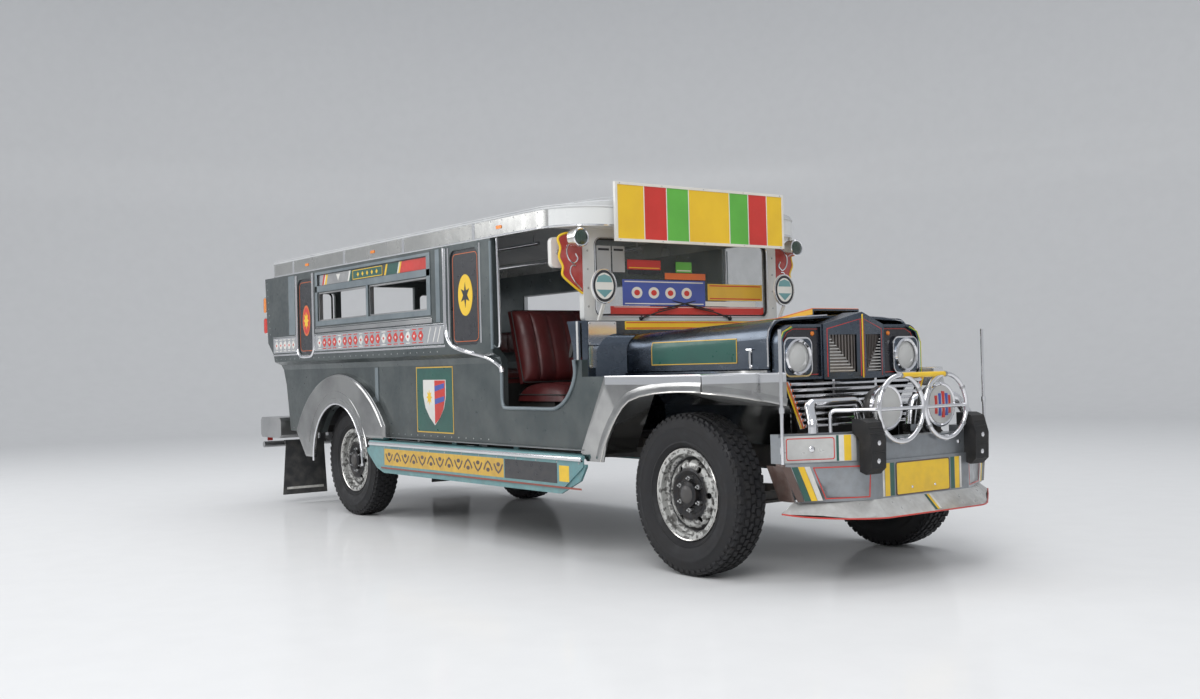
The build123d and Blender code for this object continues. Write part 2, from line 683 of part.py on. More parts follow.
# V-fronted radiator shell with a gabled top
PROW_X = 448
PROW_SIDE_X = 392
PROW_HALF = 214
PROW_LOW = 918
PROW_EAVE = 1182
PROW_PEAK = 1240
PROW_WALL = 14
LOUVRE_LOW = 950
LOUVRE_HIGH = 1132
LOUVRE_IN = 34
LOUVRE_OUT = 182


def prow_plan(inset):
    """Plan outline of the radiator shell, drawn in by the inset."""
    side = PROW_HALF - inset
    return [(SHELL_BACK, -side), (PROW_SIDE_X - inset, -side), (PROW_X - inset, 0),
            (PROW_SIDE_X - inset, side), (SHELL_BACK, side)]


def radiator_shell():
    """Folded shell with a ridge down its front, a gable and two windows."""
    shell = plan_slab(prow_plan(0), PROW_LOW, PROW_PEAK)
    inner = plan_slab(prow_plan(PROW_WALL), PROW_LOW - 1, PROW_PEAK)
    gable = [(-PROW_HALF, PROW_LOW), (-PROW_HALF, PROW_EAVE), (0, PROW_PEAK),
             (PROW_HALF, PROW_EAVE), (PROW_HALF, PROW_LOW)]
    under = [(y, z - PROW_WALL) for y, z in gable]
    shell &= cross_slab(gable, SHELL_BACK, PROW_X)
    shell -= inner & cross_slab(under, SHELL_BACK, PROW_X)
    shell += block(SHELL_BACK, PROW_X - 30, -PROW_HALF + 2, PROW_HALF - 2, PROW_LOW,
                   PROW_LOW + 10) & plan_slab(prow_plan(1), 0, PROW_PEAK)
    for way in (-1, 1):
        shell -= block(PROW_SIDE_X - 30, PROW_X, way * LOUVRE_IN, way * LOUVRE_OUT,
                       LOUVRE_LOW, LOUVRE_HIGH)
    return shell


LOUVRES = 12
LOUVRE_BLADE = 3
STRAKES = 9


def grille_louvres():
    """Split louvres: level blades fill the lower outer half, upright ones the rest."""
    inner = prow_plan(PROW_WALL)
    solids = []
    for way in (-1, 1):
        mask_low = cross_slab([(way * LOUVRE_OUT, LOUVRE_LOW), (way * LOUVRE_OUT, LOUVRE_HIGH - 6),
                               (way * (LOUVRE_IN + 6), LOUVRE_LOW)], SHELL_BACK, PROW_X)
        window = block(SHELL_BACK, PROW_X, way * LOUVRE_IN, way * LOUVRE_OUT,
                       LOUVRE_LOW, LOUVRE_HIGH)
        back = plan_slab(inner, LOUVRE_LOW - 8, LOUVRE_HIGH + 8)
        back -= plan_slab([(x - 5, y) for x, y in inner], LOUVRE_LOW - 9, LOUVRE_HIGH + 9)
        back &= block(PROW_SIDE_X - 60, PROW_X, way * (LOUVRE_IN - 8), way * (LOUVRE_OUT + 8),
                      LOUVRE_LOW - 8, LOUVRE_HIGH + 8)
        blades = back
        pitch = (LOUVRE_HIGH - LOUVRE_LOW) / LOUVRES
        for index in range(LOUVRES):
            z = LOUVRE_LOW + (index + 0.5) * pitch
            blade = plan_slab(prow_plan(2), z - LOUVRE_BLADE, z + LOUVRE_BLADE)
            blades += blade & mask_low
        width = (LOUVRE_OUT - LOUVRE_IN) / STRAKES
        for index in range(STRAKES):
            y = way * (LOUVRE_IN + (index + 0.5) * width)
            strake = block(SHELL_BACK, PROW_X, y - 2, y + 2, LOUVRE_LOW, LOUVRE_HIGH)
            strake &= plan_slab(prow_plan(6), LOUVRE_LOW, LOUVRE_HIGH)
            blades += strake - mask_low
        blades -= plan_slab([(x - 5, y) for x, y in inner], LOUVRE_LOW, LOUVRE_HIGH)
        solids.append((blades & window) + back)
    return group(*solids)


def radiator_core():
    """Radiator block on the front cross member."""
    return block(250, 300, -PROW_HALF + 20, PROW_HALF - 20, 640, 1120) + block(
        250, 545, -60, 60, FRAME_TOP, 640)


NACELLE_LOW = 922
NACELLE_HIGH = 1182
NACELLE_DEPTH = 62
NACELLE_INSET = 16
NACELLE_TAB = (332, 350)
LAMP_Y = 383
LAMP_Z = 1028
LAMP_RADIUS = 74
BEZEL_HALF = 86


def nacelle_outline(inset):
    """Front outline of one lamp housing, round at its outer shoulder."""
    inner = PROW_HALF + inset
    outer = HOOD_HALF - NACELLE_INSET - inset
    low = NACELLE_LOW + inset
    high = NACELLE_HIGH - inset
    shoulder = 90 - inset
    edges = [
        Line((inner, low), (outer - 20, low)),
        Line((outer - 20, low), (outer, low + 34)),
        Line((outer, low + 34), (outer, high - shoulder)),
        RadiusArc((outer, high - shoulder), (outer - shoulder, high), -shoulder),
        Line((outer - shoulder, high), (inner, high)),
        Line((inner, high), (inner, low)),
    ]
    return make_face(edges)


def headlight_nacelles():
    """Rimmed lamp housings either side of the radiator shell, tabbed to the fenders."""
    front = SHELL_BACK + NACELLE_DEPTH
    housing = Pos(SHELL_BACK, 0, 0) * extrude(Plane.YZ * nacelle_outline(0), amount=NACELLE_DEPTH)
    housing -= Pos(front - 14, 0, 0) * extrude(Plane.YZ * nacelle_outline(12), amount=20)
    bezel = rounded_cross(LAMP_Y - BEZEL_HALF, LAMP_Y + BEZEL_HALF, LAMP_Z - BEZEL_HALF,
                          LAMP_Z + BEZEL_HALF, 34, front - 16, front + 6)
    housing += bezel
    tab_back, tab_front = NACELLE_TAB
    housing += block(tab_back, tab_front, HOOD_HALF - 2 * NACELLE_INSET, HOOD_HALF - SEAT_GAP,
                     FENDER_TOP - FENDER_SKIN, FENDER_TOP)
    bore = Pos(front, LAMP_Y, LAMP_Z) * Rot(Y=90) * Cylinder(LAMP_RADIUS, 120)
    return pair(housing - bore)


def lens(radius, rise, back):
    """Shallow dome on a disc, facing +X, with its rim at x = 0."""
    ball = (radius ** 2 + rise ** 2) / (2 * rise)
    cap = Pos(rise - ball, 0, 0) * Sphere(ball)
    column = Pos((rise - back) / 2, 0, 0) * Rot(Y=90) * Cylinder(radius, rise + back)
    return cap & column


def headlamps():
    """Round lamp units in the square bezels."""
    lamp = Pos(SHELL_BACK + NACELLE_DEPTH - 4, LAMP_Y, LAMP_Z) * lens(LAMP_RADIUS, 14, 50)
    return pair(lamp)


GRILLE_TOP_HALF = 500
GRILLE_LOW_HALF = 400
GRILLE_LOW = 690
GRILLE_HIGH = 915
GRILLE_BACK = 386
GRILLE_BARS = 8


def grille_bars():
    """Trapezoid of level bars between two slanted side strips."""
    height = GRILLE_HIGH - GRILLE_LOW
    slope = (GRILLE_TOP_HALF - GRILLE_LOW_HALF) / height
    outline = [(-GRILLE_LOW_HALF, GRILLE_LOW), (GRILLE_LOW_HALF, GRILLE_LOW),
               (GRILLE_TOP_HALF, GRILLE_HIGH), (-GRILLE_TOP_HALF, GRILLE_HIGH)]
    hole = [(y - math.copysign(34, y), z) for y, z in outline]
    frame = cross_slab(outline, GRILLE_BACK, GRILLE_BACK + 20)
    frame -= cross_slab(hole, GRILLE_BACK, GRILLE_BACK + 20)
    pitch = height / GRILLE_BARS
    for index in range(GRILLE_BARS):
        z = GRILLE_LOW + (index + 0.5) * pitch
        half = GRILLE_LOW_HALF + slope * (z - GRILLE_LOW) - 30
        bar = block(GRILLE_BACK + 4, GRILLE_BACK + 34, -half, half, z - 7, z + 7)
        frame += chamfer(bar.edges().filter_by(Axis.Y), 5)
    for y in (-150, 150):
        frame += block(SHELL_BACK + 10, GRILLE_BACK + 4, y - 8, y + 8, GRILLE_LOW, PROW_LOW)
    return frame


# Front fender: side profile without its wheel opening
FENDER_REAR = -500
FENDER_PROFILE = [(FENDER_REAR, FENDER_TOP), (690, FENDER_TOP), (712, 915), (712, 798), (660, 700),
                  (660, 522), (-667, 522), (-718, 566)]
FENDER_ARCH = [(-546, 480), (-500, 620), (-394, 768), (-310, 838), (-98, 875), (80, 881),
               (297, 877), (501, 855), (626, 828), (712, 797), (800, 760), (800, 480)]
SPLASH_Y = 380


def fender_plan(inset):
    """Plan of the fender: its front runs out from the lamp housing to a round corner."""
    outer = FENDER_OUTER - inset
    back = 1.4 * inset
    return [(-800, HOOD_HALF), (-800, outer), (540, outer), (615, outer - 22),
            (655 - inset, 800 - inset), (655 - back, 772 - inset), (352 - back, HOOD_HALF)]


def front_fender():
    """Left flat-topped fender: skin, swept front corner, wheel arch and splash shield."""
    inner = HOOD_HALF
    shell = side_slab(FENDER_PROFILE, inner, FENDER_OUTER)
    hollow = side_slab([(-490, FENDER_TOP - FENDER_SKIN), (800, FENDER_TOP - FENDER_SKIN), (800, 400),
                        (-640, 400), (-702, 566)], inner - 1, FENDER_OUTER - FENDER_SKIN)
    core = shell & plan_slab(fender_plan(0), 400, 1000)
    skin_cut = hollow & plan_slab(fender_plan(FENDER_SKIN), 400, 1000)
    skin = core - skin_cut
    arch = side_slab(FENDER_ARCH, 400, FENDER_OUTER + 10)
    skin -= arch
    splash = cross_slab([(inner + 14, FENDER_TOP - FENDER_SKIN), (inner, FENDER_TOP - FENDER_SKIN),
                         (SPLASH_Y, 800), (SPLASH_Y, FRAME_TOP + 6), (FRAME_OUTER - 30, FRAME_TOP + 6),
                         (FRAME_OUTER - 30, FRAME_TOP), (SPLASH_Y + 6, FRAME_TOP),
                         (SPLASH_Y + 6, 797)], -600, 330)
    ledge = plan_slab([(FENDER_REAR, inner - SHELF_REACH), (HOOD_FRONT, inner - SHELF_REACH),
                       (HOOD_FRONT, inner + SHELF_REACH),
                       (FENDER_REAR, hood_half(FENDER_REAR) + SHELF_REACH)],
                      FENDER_TOP - FENDER_SKIN, HOOD_LOW - RUN_GAP)
    return skin + splash + ledge


REAR_ARCH_HALF = 720
REAR_ARCH_BASE = 500
REAR_ARCH_RISE = 504


def rear_fender():
    """Left rear fender: a bulged arch with a rolled rim round the wheel opening."""
    proud = HALF_WIDTH - 4
    edges = [
        Line((-550, 392), (-REAR_ARCH_HALF, REAR_ARCH_BASE + 80)),
        ThreePointArc((-REAR_ARCH_HALF, REAR_ARCH_BASE + 80), (20, REAR_ARCH_BASE + REAR_ARCH_RISE),
                      (REAR_ARCH_HALF, REAR_ARCH_BASE + 150)),
        Line((REAR_ARCH_HALF, REAR_ARCH_BASE + 150), (REAR_ARCH_HALF, SILL_BOTTOM)),
        Line((REAR_ARCH_HALF, SILL_BOTTOM), (700, STEP_TOP + 4)),
        Line((700, STEP_TOP + 4), (300, STEP_TOP + 4)),
        Line((300, STEP_TOP + 4), (300, 392)),
        Line((300, 392), (-550, 392)),
    ]
    face = Plane.XZ * make_face(edges)
    bulge = Pos(REAR_AXLE, proud, 0) * extrude(face, amount=proud - LOWER_HALF)
    bulge = fillet(bulge.faces().sort_by(Axis.Y)[-1].edges(), 28)
    hole = Pos(REAR_AXLE, proud + 20, TYRE_RADIUS) * extrude(
        Plane.XZ * Circle(ARCH_OPENING), amount=100)
    bulge -= hole
    bulge -= Pos(REAR_AXLE, 0, 0) * block(-900, 900, LOWER_HALF - 1, proud + 5, 300, 391)
    hollow = Pos(REAR_AXLE, proud - SHEET * 2, TYRE_RADIUS) * extrude(
        Plane.XZ * Circle(ARCH_OPENING + 60), amount=proud - SHEET * 2 - LOWER_HALF)
    rim = Pos(REAR_AXLE, proud, TYRE_RADIUS) * extrude(
        Plane.XZ * (Circle(ARCH_OPENING + 12) - Circle(ARCH_OPENING)), amount=22)
    ring = rim & bulge
    return (bulge - hollow) + ring


# Side step: outer skirt profile below the board
STEP_FRONT = -662
STEP_REAR = -3100
STEP_TOP = 552
STEP_THICK = 24
NOSING = 12
SKIRT = [(-3118, 530), (-3118, 488), (-3010, 402), (-2920, 374),
         (-842, 374), (-664, 492), (-664, 530)]


def step_board():
    """Left step: board, round nosing, painted skirt and lower edge strip."""
    board = block(STEP_REAR, -724, LOWER_HALF - PANEL, HALF_WIDTH - 10,
                  STEP_TOP - STEP_THICK, STEP_TOP)
    nosing = rod((STEP_REAR, HALF_WIDTH - NOSING, STEP_TOP - NOSING),
                 (STEP_FRONT, HALF_WIDTH - NOSING, STEP_TOP - NOSING), NOSING)
    skirt = side_slab(SKIRT, HALF_WIDTH - 20, HALF_WIDTH - 12)
    strip_outer = [(-3168, 500), (-3168, 472), (-3030, 372), (-2925, 342), (-880, 342), (-700, 418),
                   (-650, 492), (-650, 505), (-676, 505), (-850, 388), (-2915, 388), (-3002, 416),
                   (-3104, 500)]
    strip = side_slab(strip_outer, HALF_WIDTH - 34, HALF_WIDTH - 20)
    step = board + nosing + skirt + strip
    for x0 in OUTRIGGERS[1:4]:
        step += block(x0, x0 + OUTRIGGER_WIDTH, LOWER_HALF - PANEL, HALF_WIDTH - 40,
                      STEP_TOP - STEP_THICK - 30, STEP_TOP - STEP_THICK)
        step += block(x0, x0 + OUTRIGGER_WIDTH, LOWER_HALF - PANEL, LOWER_HALF - PANEL + 6,
                      STEP_TOP - STEP_THICK, SILL_BOTTOM)
    return step


def bumper_plan(front_inset, depth):
    """Bowed plan of the bumper: level in the middle, swept back at both ends."""
    face = BUMPER_FACE - front_inset
    end = BUMPER_END_X - front_inset
    return [(face, -BUMPER_BEND), (face, BUMPER_BEND), (end, BUMPER_HALF),
            (end - depth, BUMPER_HALF), (face - depth, BUMPER_BEND), (face - depth, -BUMPER_BEND),
            (end - depth, -BUMPER_HALF), (end, -BUMPER_HALF)]


def front_bumper():
    """Pressed bumper: grey centre channel and closed swept end boxes."""
    beam = plan_slab(bumper_plan(0, 80), BUMPER_LOW, BUMPER_HIGH - 30)
    cap = plan_slab(bumper_plan(14, 66), BUMPER_HIGH - 30, BUMPER_HIGH - 14)
    beam += cap
    beam += plan_slab(bumper_plan(30, 50), BUMPER_HIGH - 14, BUMPER_HIGH)
    beam -= block(BUMPER_FACE - 85, BUMPER_FACE - 5, -BUMPER_BEND + 20, BUMPER_BEND - 20,
                  BUMPER_LOW + 5, BUMPER_HIGH - 35)
    beam -= block(BUMPER_FACE - 90, BUMPER_FACE + 5, -BUMPER_BEND + 20, BUMPER_BEND - 20,
                  BUMPER_HIGH - 30, BUMPER_HIGH + 5)
    horn = block(FRAME_FRONT, BUMPER_FACE - 5, FRAME_OUTER - FRAME_DEPTH, FRAME_OUTER,
                 BUMPER_LOW, FRAME_TOP)
    return beam + horn + flip(horn)


OVERRIDER_Y = 366
OVERRIDER_HALF = 49


def overriders():
    """Rubber-faced posts bolted over the joints of the bumper."""
    outline = [(BUMPER_FACE, 512), (BUMPER_FACE + 34, 500), (BUMPER_FACE + 66, 528),
               (BUMPER_FACE + 70, 650), (BUMPER_FACE + 46, 730), (BUMPER_FACE + 4, 745),
               (BUMPER_FACE - 40, 745), (BUMPER_FACE - 40, BUMPER_HIGH),
               (BUMPER_FACE, BUMPER_HIGH - 30)]
    post = side_slab(outline, OVERRIDER_Y - OVERRIDER_HALF, OVERRIDER_Y + OVERRIDER_HALF)
    post -= plan_slab(bumper_plan(0, 200), BUMPER_LOW - 1, BUMPER_HIGH)
    post -= plan_slab(bumper_plan(-10, 200), 480, BUMPER_LOW)
    return pair(post)


VALANCE_TOP = 545
VALANCE_LOW = 382
VALANCE_TOP_HALF = 705
VALANCE_LOW_HALF = 590
LIP_Z = 308
PLATE_HOLE_Y = 80
PLATE_HOLE_Z = 422
PLATE_HOLE_RADIUS = 3.5


def bumper_valance():
    """Bowed panel under the bumper with a flared lip along its bottom."""
    front = plan_slab(bumper_plan(-10, SHEET), VALANCE_LOW, VALANCE_TOP + 10)
    front &= cross_slab([(-VALANCE_TOP_HALF, VALANCE_TOP + 10), (VALANCE_TOP_HALF, VALANCE_TOP + 10),
                         (VALANCE_LOW_HALF, VALANCE_LOW), (-VALANCE_LOW_HALF, VALANCE_LOW)], 400, 900)
    top = plan_slab(bumper_plan(-10, 60), VALANCE_TOP, VALANCE_TOP + 10)
    upper = lip_face(BUMPER_FACE + 10, 632, VALANCE_LOW_HALF, VALANCE_LOW + 2)
    lower = lip_face(FRONT_END, 742, VALANCE_TOP_HALF - 10, LIP_Z)
    lip = loft([lower, upper], ruled=True)
    side = side_slab([(BUMPER_END_X + 10, VALANCE_TOP), (BUMPER_END_X - 110, VALANCE_TOP),
                      (BUMPER_END_X - 60, VALANCE_LOW), (640, VALANCE_LOW)], 560, VALANCE_TOP_HALF)
    cheek = side & cross_slab([(VALANCE_TOP_HALF, VALANCE_TOP), (VALANCE_TOP_HALF - SHEET, VALANCE_TOP),
                               (VALANCE_LOW_HALF - SHEET, VALANCE_LOW), (VALANCE_LOW_HALF, VALANCE_LOW)],
                              400, 900)
    valance = front + top + lip + cheek + flip(cheek)
    for y in (-PLATE_HOLE_Y, PLATE_HOLE_Y):
        valance -= rod((BUMPER_FACE, y, PLATE_HOLE_Z), (FRONT_END, y, PLATE_HOLE_Z),
                       PLATE_HOLE_RADIUS)
    return valance


def lip_face(face, end, half, z):
    """Thin bowed strip in plan, used at both heights of the lip."""
    outline = [(face, -BUMPER_BEND), (face, BUMPER_BEND), (end, half), (end - SHEET, half),
               (face - SHEET, BUMPER_BEND), (face - SHEET, -BUMPER_BEND), (end - SHEET, -half),
               (end, -half)]
    return (Plane.XY.offset(z) * make_face(Polyline(*outline, close=True))).face()


HOOP_Y = 158
HOOP_Z = 783
HOOP_RADIUS = 150
HOOP_TUBE = 11
HOOP_X = 806


def guard_tubes():
    """Chrome tubes before the lamps: one bar bent down at both ends, two hoops and a top rail."""
    bar_x = HOOP_X - 4
    post_x = BUMPER_FACE - 118
    half = [(bar_x, HOOP_Y + HOOP_RADIUS + 10, HOOP_Z), (post_x, 470, HOOP_Z),
            (post_x, 470, BUMPER_HIGH)]
    guard = bent_tube([(x, -y, z) for x, y, z in reversed(half)] + half, 9, 24)
    for side in (-1, 1):
        guard += Pos(HOOP_X, side * HOOP_Y, HOOP_Z) * Rot(Y=90) * Torus(HOOP_RADIUS, HOOP_TUBE)
    top = HOOP_Z + HOOP_RADIUS
    guard += rod((HOOP_X, -HOOP_Y, top), (HOOP_X, HOOP_Y, top), 9)
    foot = HOOP_Z - HOOP_RADIUS
    for side in (-1, 1):
        guard += block(BUMPER_FACE, HOOP_X, side * HOOP_Y - 16, side * HOOP_Y + 16, foot - 12, foot + 16)
    return guard


ROD_Y = BUMPER_HALF + 9
FRAME_TUBE = 24


def guide_rods():
    """Slim upright rods at the bumper ends and the bent tubes beside the lower grille."""
    x = BUMPER_END_X + 4
    slim = rod((x, ROD_Y, VALANCE_TOP + 10), (x, ROD_Y, 1150), 8)
    slim += rod((x, ROD_Y, 780), (x, ROD_Y, 806), 12)
    slim += block(x - 15, x, BUMPER_HALF, ROD_Y, 600, 630)
    path = [(BUMPER_END_X + 30, 550, BUMPER_HIGH), (BUMPER_END_X + 30, 550, BUMPER_HIGH + 40),
            (BUMPER_END_X - 20, 520, 815),
            (BUMPER_END_X - 20, 200, 815), (BUMPER_END_X - 20, 170, 690)]
    loop = bent_tube(path, FRAME_TUBE, 40)
    foot = block(BUMPER_END_X - 44, BUMPER_END_X + 4, 146, 194, FRAME_TOP, 692)
    foot += block(480, BUMPER_END_X - 40, 146, 194, FRAME_TOP, FRAME_TOP + 20)
    return pair(slim), pair(loop + foot)


DRIVING_LAMP_Y = 190
DRIVING_LAMP_Z = 788
DRIVING_LAMP_RADIUS = 102


def driving_lamps():
    """Two deep round lamps on stalks behind the guard hoops."""
    lamp = lens(DRIVING_LAMP_RADIUS, 16, 34)
    lamp += Pos(-34, 0, 0) * Rot(Z=180) * lens(DRIVING_LAMP_RADIUS, 76, 1)
    lamp = Pos(BUMPER_FACE - 30, DRIVING_LAMP_Y, DRIVING_LAMP_Z) * lamp
    stalk = block(BUMPER_FACE - 72, BUMPER_FACE - 42, DRIVING_LAMP_Y - 14, DRIVING_LAMP_Y + 14,
                  BUMPER_HIGH - 30, DRIVING_LAMP_Z - 70)
    return pair(lamp + stalk)


RAIL_Y = 400
RAIL_Z = 1765
RAIL_HANGERS = (-1800, -2700, -3600, -4480)
RAIL_RADIUS = 12


def handrails():
    """Two grab rails under the roof, each on four hangers."""
    top = roof_height(RAIL_Y + 8, ROOF_SKIN) - SEAT_GAP
    rail = rod((RAIL_HANGERS[0] + 50, RAIL_Y, RAIL_Z), (RAIL_HANGERS[-1] - 70, RAIL_Y, RAIL_Z),
               RAIL_RADIUS)
    for x in RAIL_HANGERS:
        rail += rod((x, RAIL_Y, RAIL_Z), (x, RAIL_Y, top), 8)
    return pair(rail)


REAR_TUBE_X = -5010


def rear_step():
    """Rear corner bumpers and the yellow step rail, on arms from the frame."""
    arm = block(REAR_TUBE_X, FRAME_REAR, FRAME_OUTER - FRAME_DEPTH, FRAME_OUTER, 540, 600)
    corner = block(-5050, -4645, 600, HALF_WIDTH - 15, 515, 672)
    corner = chamfer(corner.edges().filter_by(Axis.Y), 24)
    beam = block(-4775, -4725, FRAME_OUTER, 600, 540, 600)
    step = rod((REAR_TUBE_X, -HALF_WIDTH + 20, 455), (REAR_TUBE_X, HALF_WIDTH - 20, 455), 24)
    tread = block(REAR_END, -4940, -420, 420, 475, 500)
    frame = arm + corner + beam
    frame = frame + flip(frame) + step + tread
    for y in (-330, 330):
        frame += block(REAR_TUBE_X - 8, REAR_TUBE_X + 60, y - 30, y + 30, 460, 545)
    return frame


def marker_lamps():
    """Tail lamps at the rear corners and round lamps under the roof's front corners."""
    solids = []
    corner = [(x - SEAT_GAP, z) for x, z in REAR_EDGE]
    corner += [(-4600, REAR_EDGE[-1][1]), (-4600, REAR_EDGE[0][1])]
    for z0 in (1318, 1478):
        tail = rounded_cross(790, 896, z0, z0 + 140, 30, -4920, -4800)
        solids.append(tail - side_slab(corner, 700, 1000))
    bowl = Pos(-762, 795, 1688) * lens(50, 12, 56)
    solids.append(bowl + rod((-800, 780, 1700), (-800, 780, RAIL_BOTTOM), 10))
    return group(*[pair(solid) for solid in solids])


def mud_flaps():
    """Long rubber flaps behind the rear wheels, hung from a bar."""
    flap = cross_slab([(470, 70), (835, 70), (805, 470), (490, 470)], -4752, -4744)
    bar = block(-4765, -4731, 480, 815, 470, 494)
    stay = block(-4765, -4731, 480, 520, 494, 540 - SEAT_GAP)
    return pair(flap + bar + stay)


def mirrors():
    """Rear-view mirrors on bent arms at the windshield posts."""
    head = rounded_cross(780, 872, 1540, 1702, 26, -958, -928)
    arm = rod((-943, 790, 1600), (WINDSHIELD_X, WINDSHIELD_HALF + 6, 1600), 7)
    foot = block(WINDSHIELD_X - 12, WINDSHIELD_X + 6, WINDSHIELD_HALF, WINDSHIELD_HALF + 12, 1588, 1612)
    return pair(head + arm + foot)


def deflector_wings():
    """Tinted wind wings outside the windshield posts, with a wavy outer edge."""
    outline = [(WINDSHIELD_HALF, 1400), (WINDSHIELD_HALF, 1720), (820, 1716), (868, 1690), (852, 1640),
               (862, 1590), (838, 1540), (842, 1495), (790, 1450)]
    wing = cross_slab(outline, WINDSHIELD_X + 8, WINDSHIELD_X + 14)
    return pair(wing)


def oval_plates():
    """Oval marker plates on short posts, standing on the cowl."""
    face = Plane.YZ * Ellipse(82, 93)
    plate = Pos(-752, 665, 1432) * extrude(face, amount=12)
    foot = COWL_TOP + SEAT_GAP
    post = side_slab([(-752, 1345), (-740, 1345), (-790, foot), (-806, foot)], 656, 674)
    return pair(plate + post)


def hood_section(x, half, crest, shoulder, sink):
    """Cross-section of the hood: upright sides, round shoulders and a shallow ridge."""
    side = half - sink
    top = crest - sink
    flat = half - shoulder - sink
    corner = top - HOOD_RIDGE
    low = corner - SHOULDER + 12
    bend = 0.3 * shoulder
    drop = 0.3 * SHOULDER - 8
    edges = [
        Line((-side, HOOD_LOW), (-side, low)),
        ThreePointArc((-side, low), (-side + bend, corner - drop), (-flat, corner)),
        Line((-flat, corner), (0, top)),
        Line((0, top), (flat, corner)),
        ThreePointArc((flat, corner), (side - bend, corner - drop), (side, low)),
        Line((side, low), (side, HOOD_LOW)),
        Line((side, HOOD_LOW), (-side, HOOD_LOW)),
    ]
    return (Plane.YZ.offset(x) * make_face(edges)).face()


def hood_half(x):
    """Half width of the hood at one station."""
    share = (x - HOOD_REAR) / (HOOD_FRONT - HOOD_REAR)
    return HOOD_REAR_HALF + share * (HOOD_HALF - HOOD_REAR_HALF)


def hood():
    """Opening hood: folded skin with a forward air scoop on top and its hinge barrels."""
    shells = []
    for sink in (0, HOOD_SKIN):
        rear = hood_section(HOOD_REAR, HOOD_REAR_HALF, HOOD_CREST_REAR, SHOULDER, sink)
        front = hood_section(HOOD_FRONT, HOOD_HALF, HOOD_CREST_FRONT, SHOULDER, sink)
        shells.append(loft([rear, front], ruled=True))
    outer, inner = shells
    scoop = side_slab([(-160, 1195), (280, 1262), (280, 1205)], -165, 165)
    cave = side_slab([(-120, 1190), (285, 1254), (285, 1190)], -157, 157)
    skin = (outer + scoop) - cave - inner
    for y0, y1 in HINGES:
        skin -= block(HOOD_REAR - 10, HINGE_X + 12, y0 - 1, y1 + 1, 1100, 1250)
        for edge in (y0 - 31, y1 + 1):
            skin += rod((HINGE_X, edge, HINGE_Z), (HINGE_X, edge + 30, HINGE_Z), BARREL_RADIUS)
            skin -= rod((HINGE_X, edge - 1, HINGE_Z), (HINGE_X, edge + 31, HINGE_Z), HINGE_PIN + PIN_GAP)
    return skin


def knuckle():
    """Left steering knuckle: kingpin, yoke, backplate, spindle and steering arm."""
    z = TYRE_RADIUS
    pin = Pos(0, KINGPIN_Y, z) * Cylinder(KINGPIN_RADIUS, 150)
    fork = Pos(0, KINGPIN_Y, z + 60) * Cylinder(30, 32) + Pos(0, KINGPIN_Y, z - 60) * Cylinder(30, 32)
    face = KINGPIN_Y + 35
    fork += block(-30, 30, KINGPIN_Y, face, z + 44, z + 76)
    fork += block(-30, 30, KINGPIN_Y, face, z - 76, z - 44)
    plate = Pos(0, face + 4, z) * Rot(X=90) * Cylinder(148, 8)
    spindle = Pos(0, (face + HUB_END) / 2, z) * Rot(X=90) * Cylinder(SPINDLE_RADIUS, HUB_END - face)
    arm = plan_slab([(0, KINGPIN_Y - 14), (0, KINGPIN_Y + 14), (-STEER_ARM - 16, KINGPIN_Y - ARM_TOE + 12),
                     (-STEER_ARM - 16, KINGPIN_Y - ARM_TOE - 12)], z - 58, z - 44)
    return pin + fork + plate + spindle + arm


def tie_rod():
    """Rod between the steering arms, its flat ends just under them."""
    z = TYRE_RADIUS - 58 - 0.5 - 16
    end = KINGPIN_Y - ARM_TOE
    bar = rod((-STEER_ARM, -end, z), (-STEER_ARM, end, z), TIE_ROD_RADIUS)
    for side in (-1, 1):
        bar += Pos(-STEER_ARM, side * end, z) * Cylinder(18, 32)
    return bar


def tyre():
    """Bias-ply tyre about the Z axis: open C section with square shoulders."""
    half = TYRE_WIDTH / 2
    outer = [(BEAD_RADIUS, RIM_HALF - 10), (RIM_RADIUS + 2, RIM_HALF - 10), (236, 84), (290, half),
             (345, 92), (372, 84), (384, 74), (TYRE_RADIUS, 40)]
    inner = [(BEAD_RADIUS, 48), (240, 66), (290, 80), (340, 74), (360, 50)]
    points = outer + [(r, -a) for r, a in reversed(outer)] + [(r, -a) for r, a in inner]
    points += [(r, a) for r, a in reversed(inner)]
    face = Plane.XZ * make_face(Polyline(*points, close=True))
    return revolve(face, axis=Axis.Z)


HAND_HOLES = 6


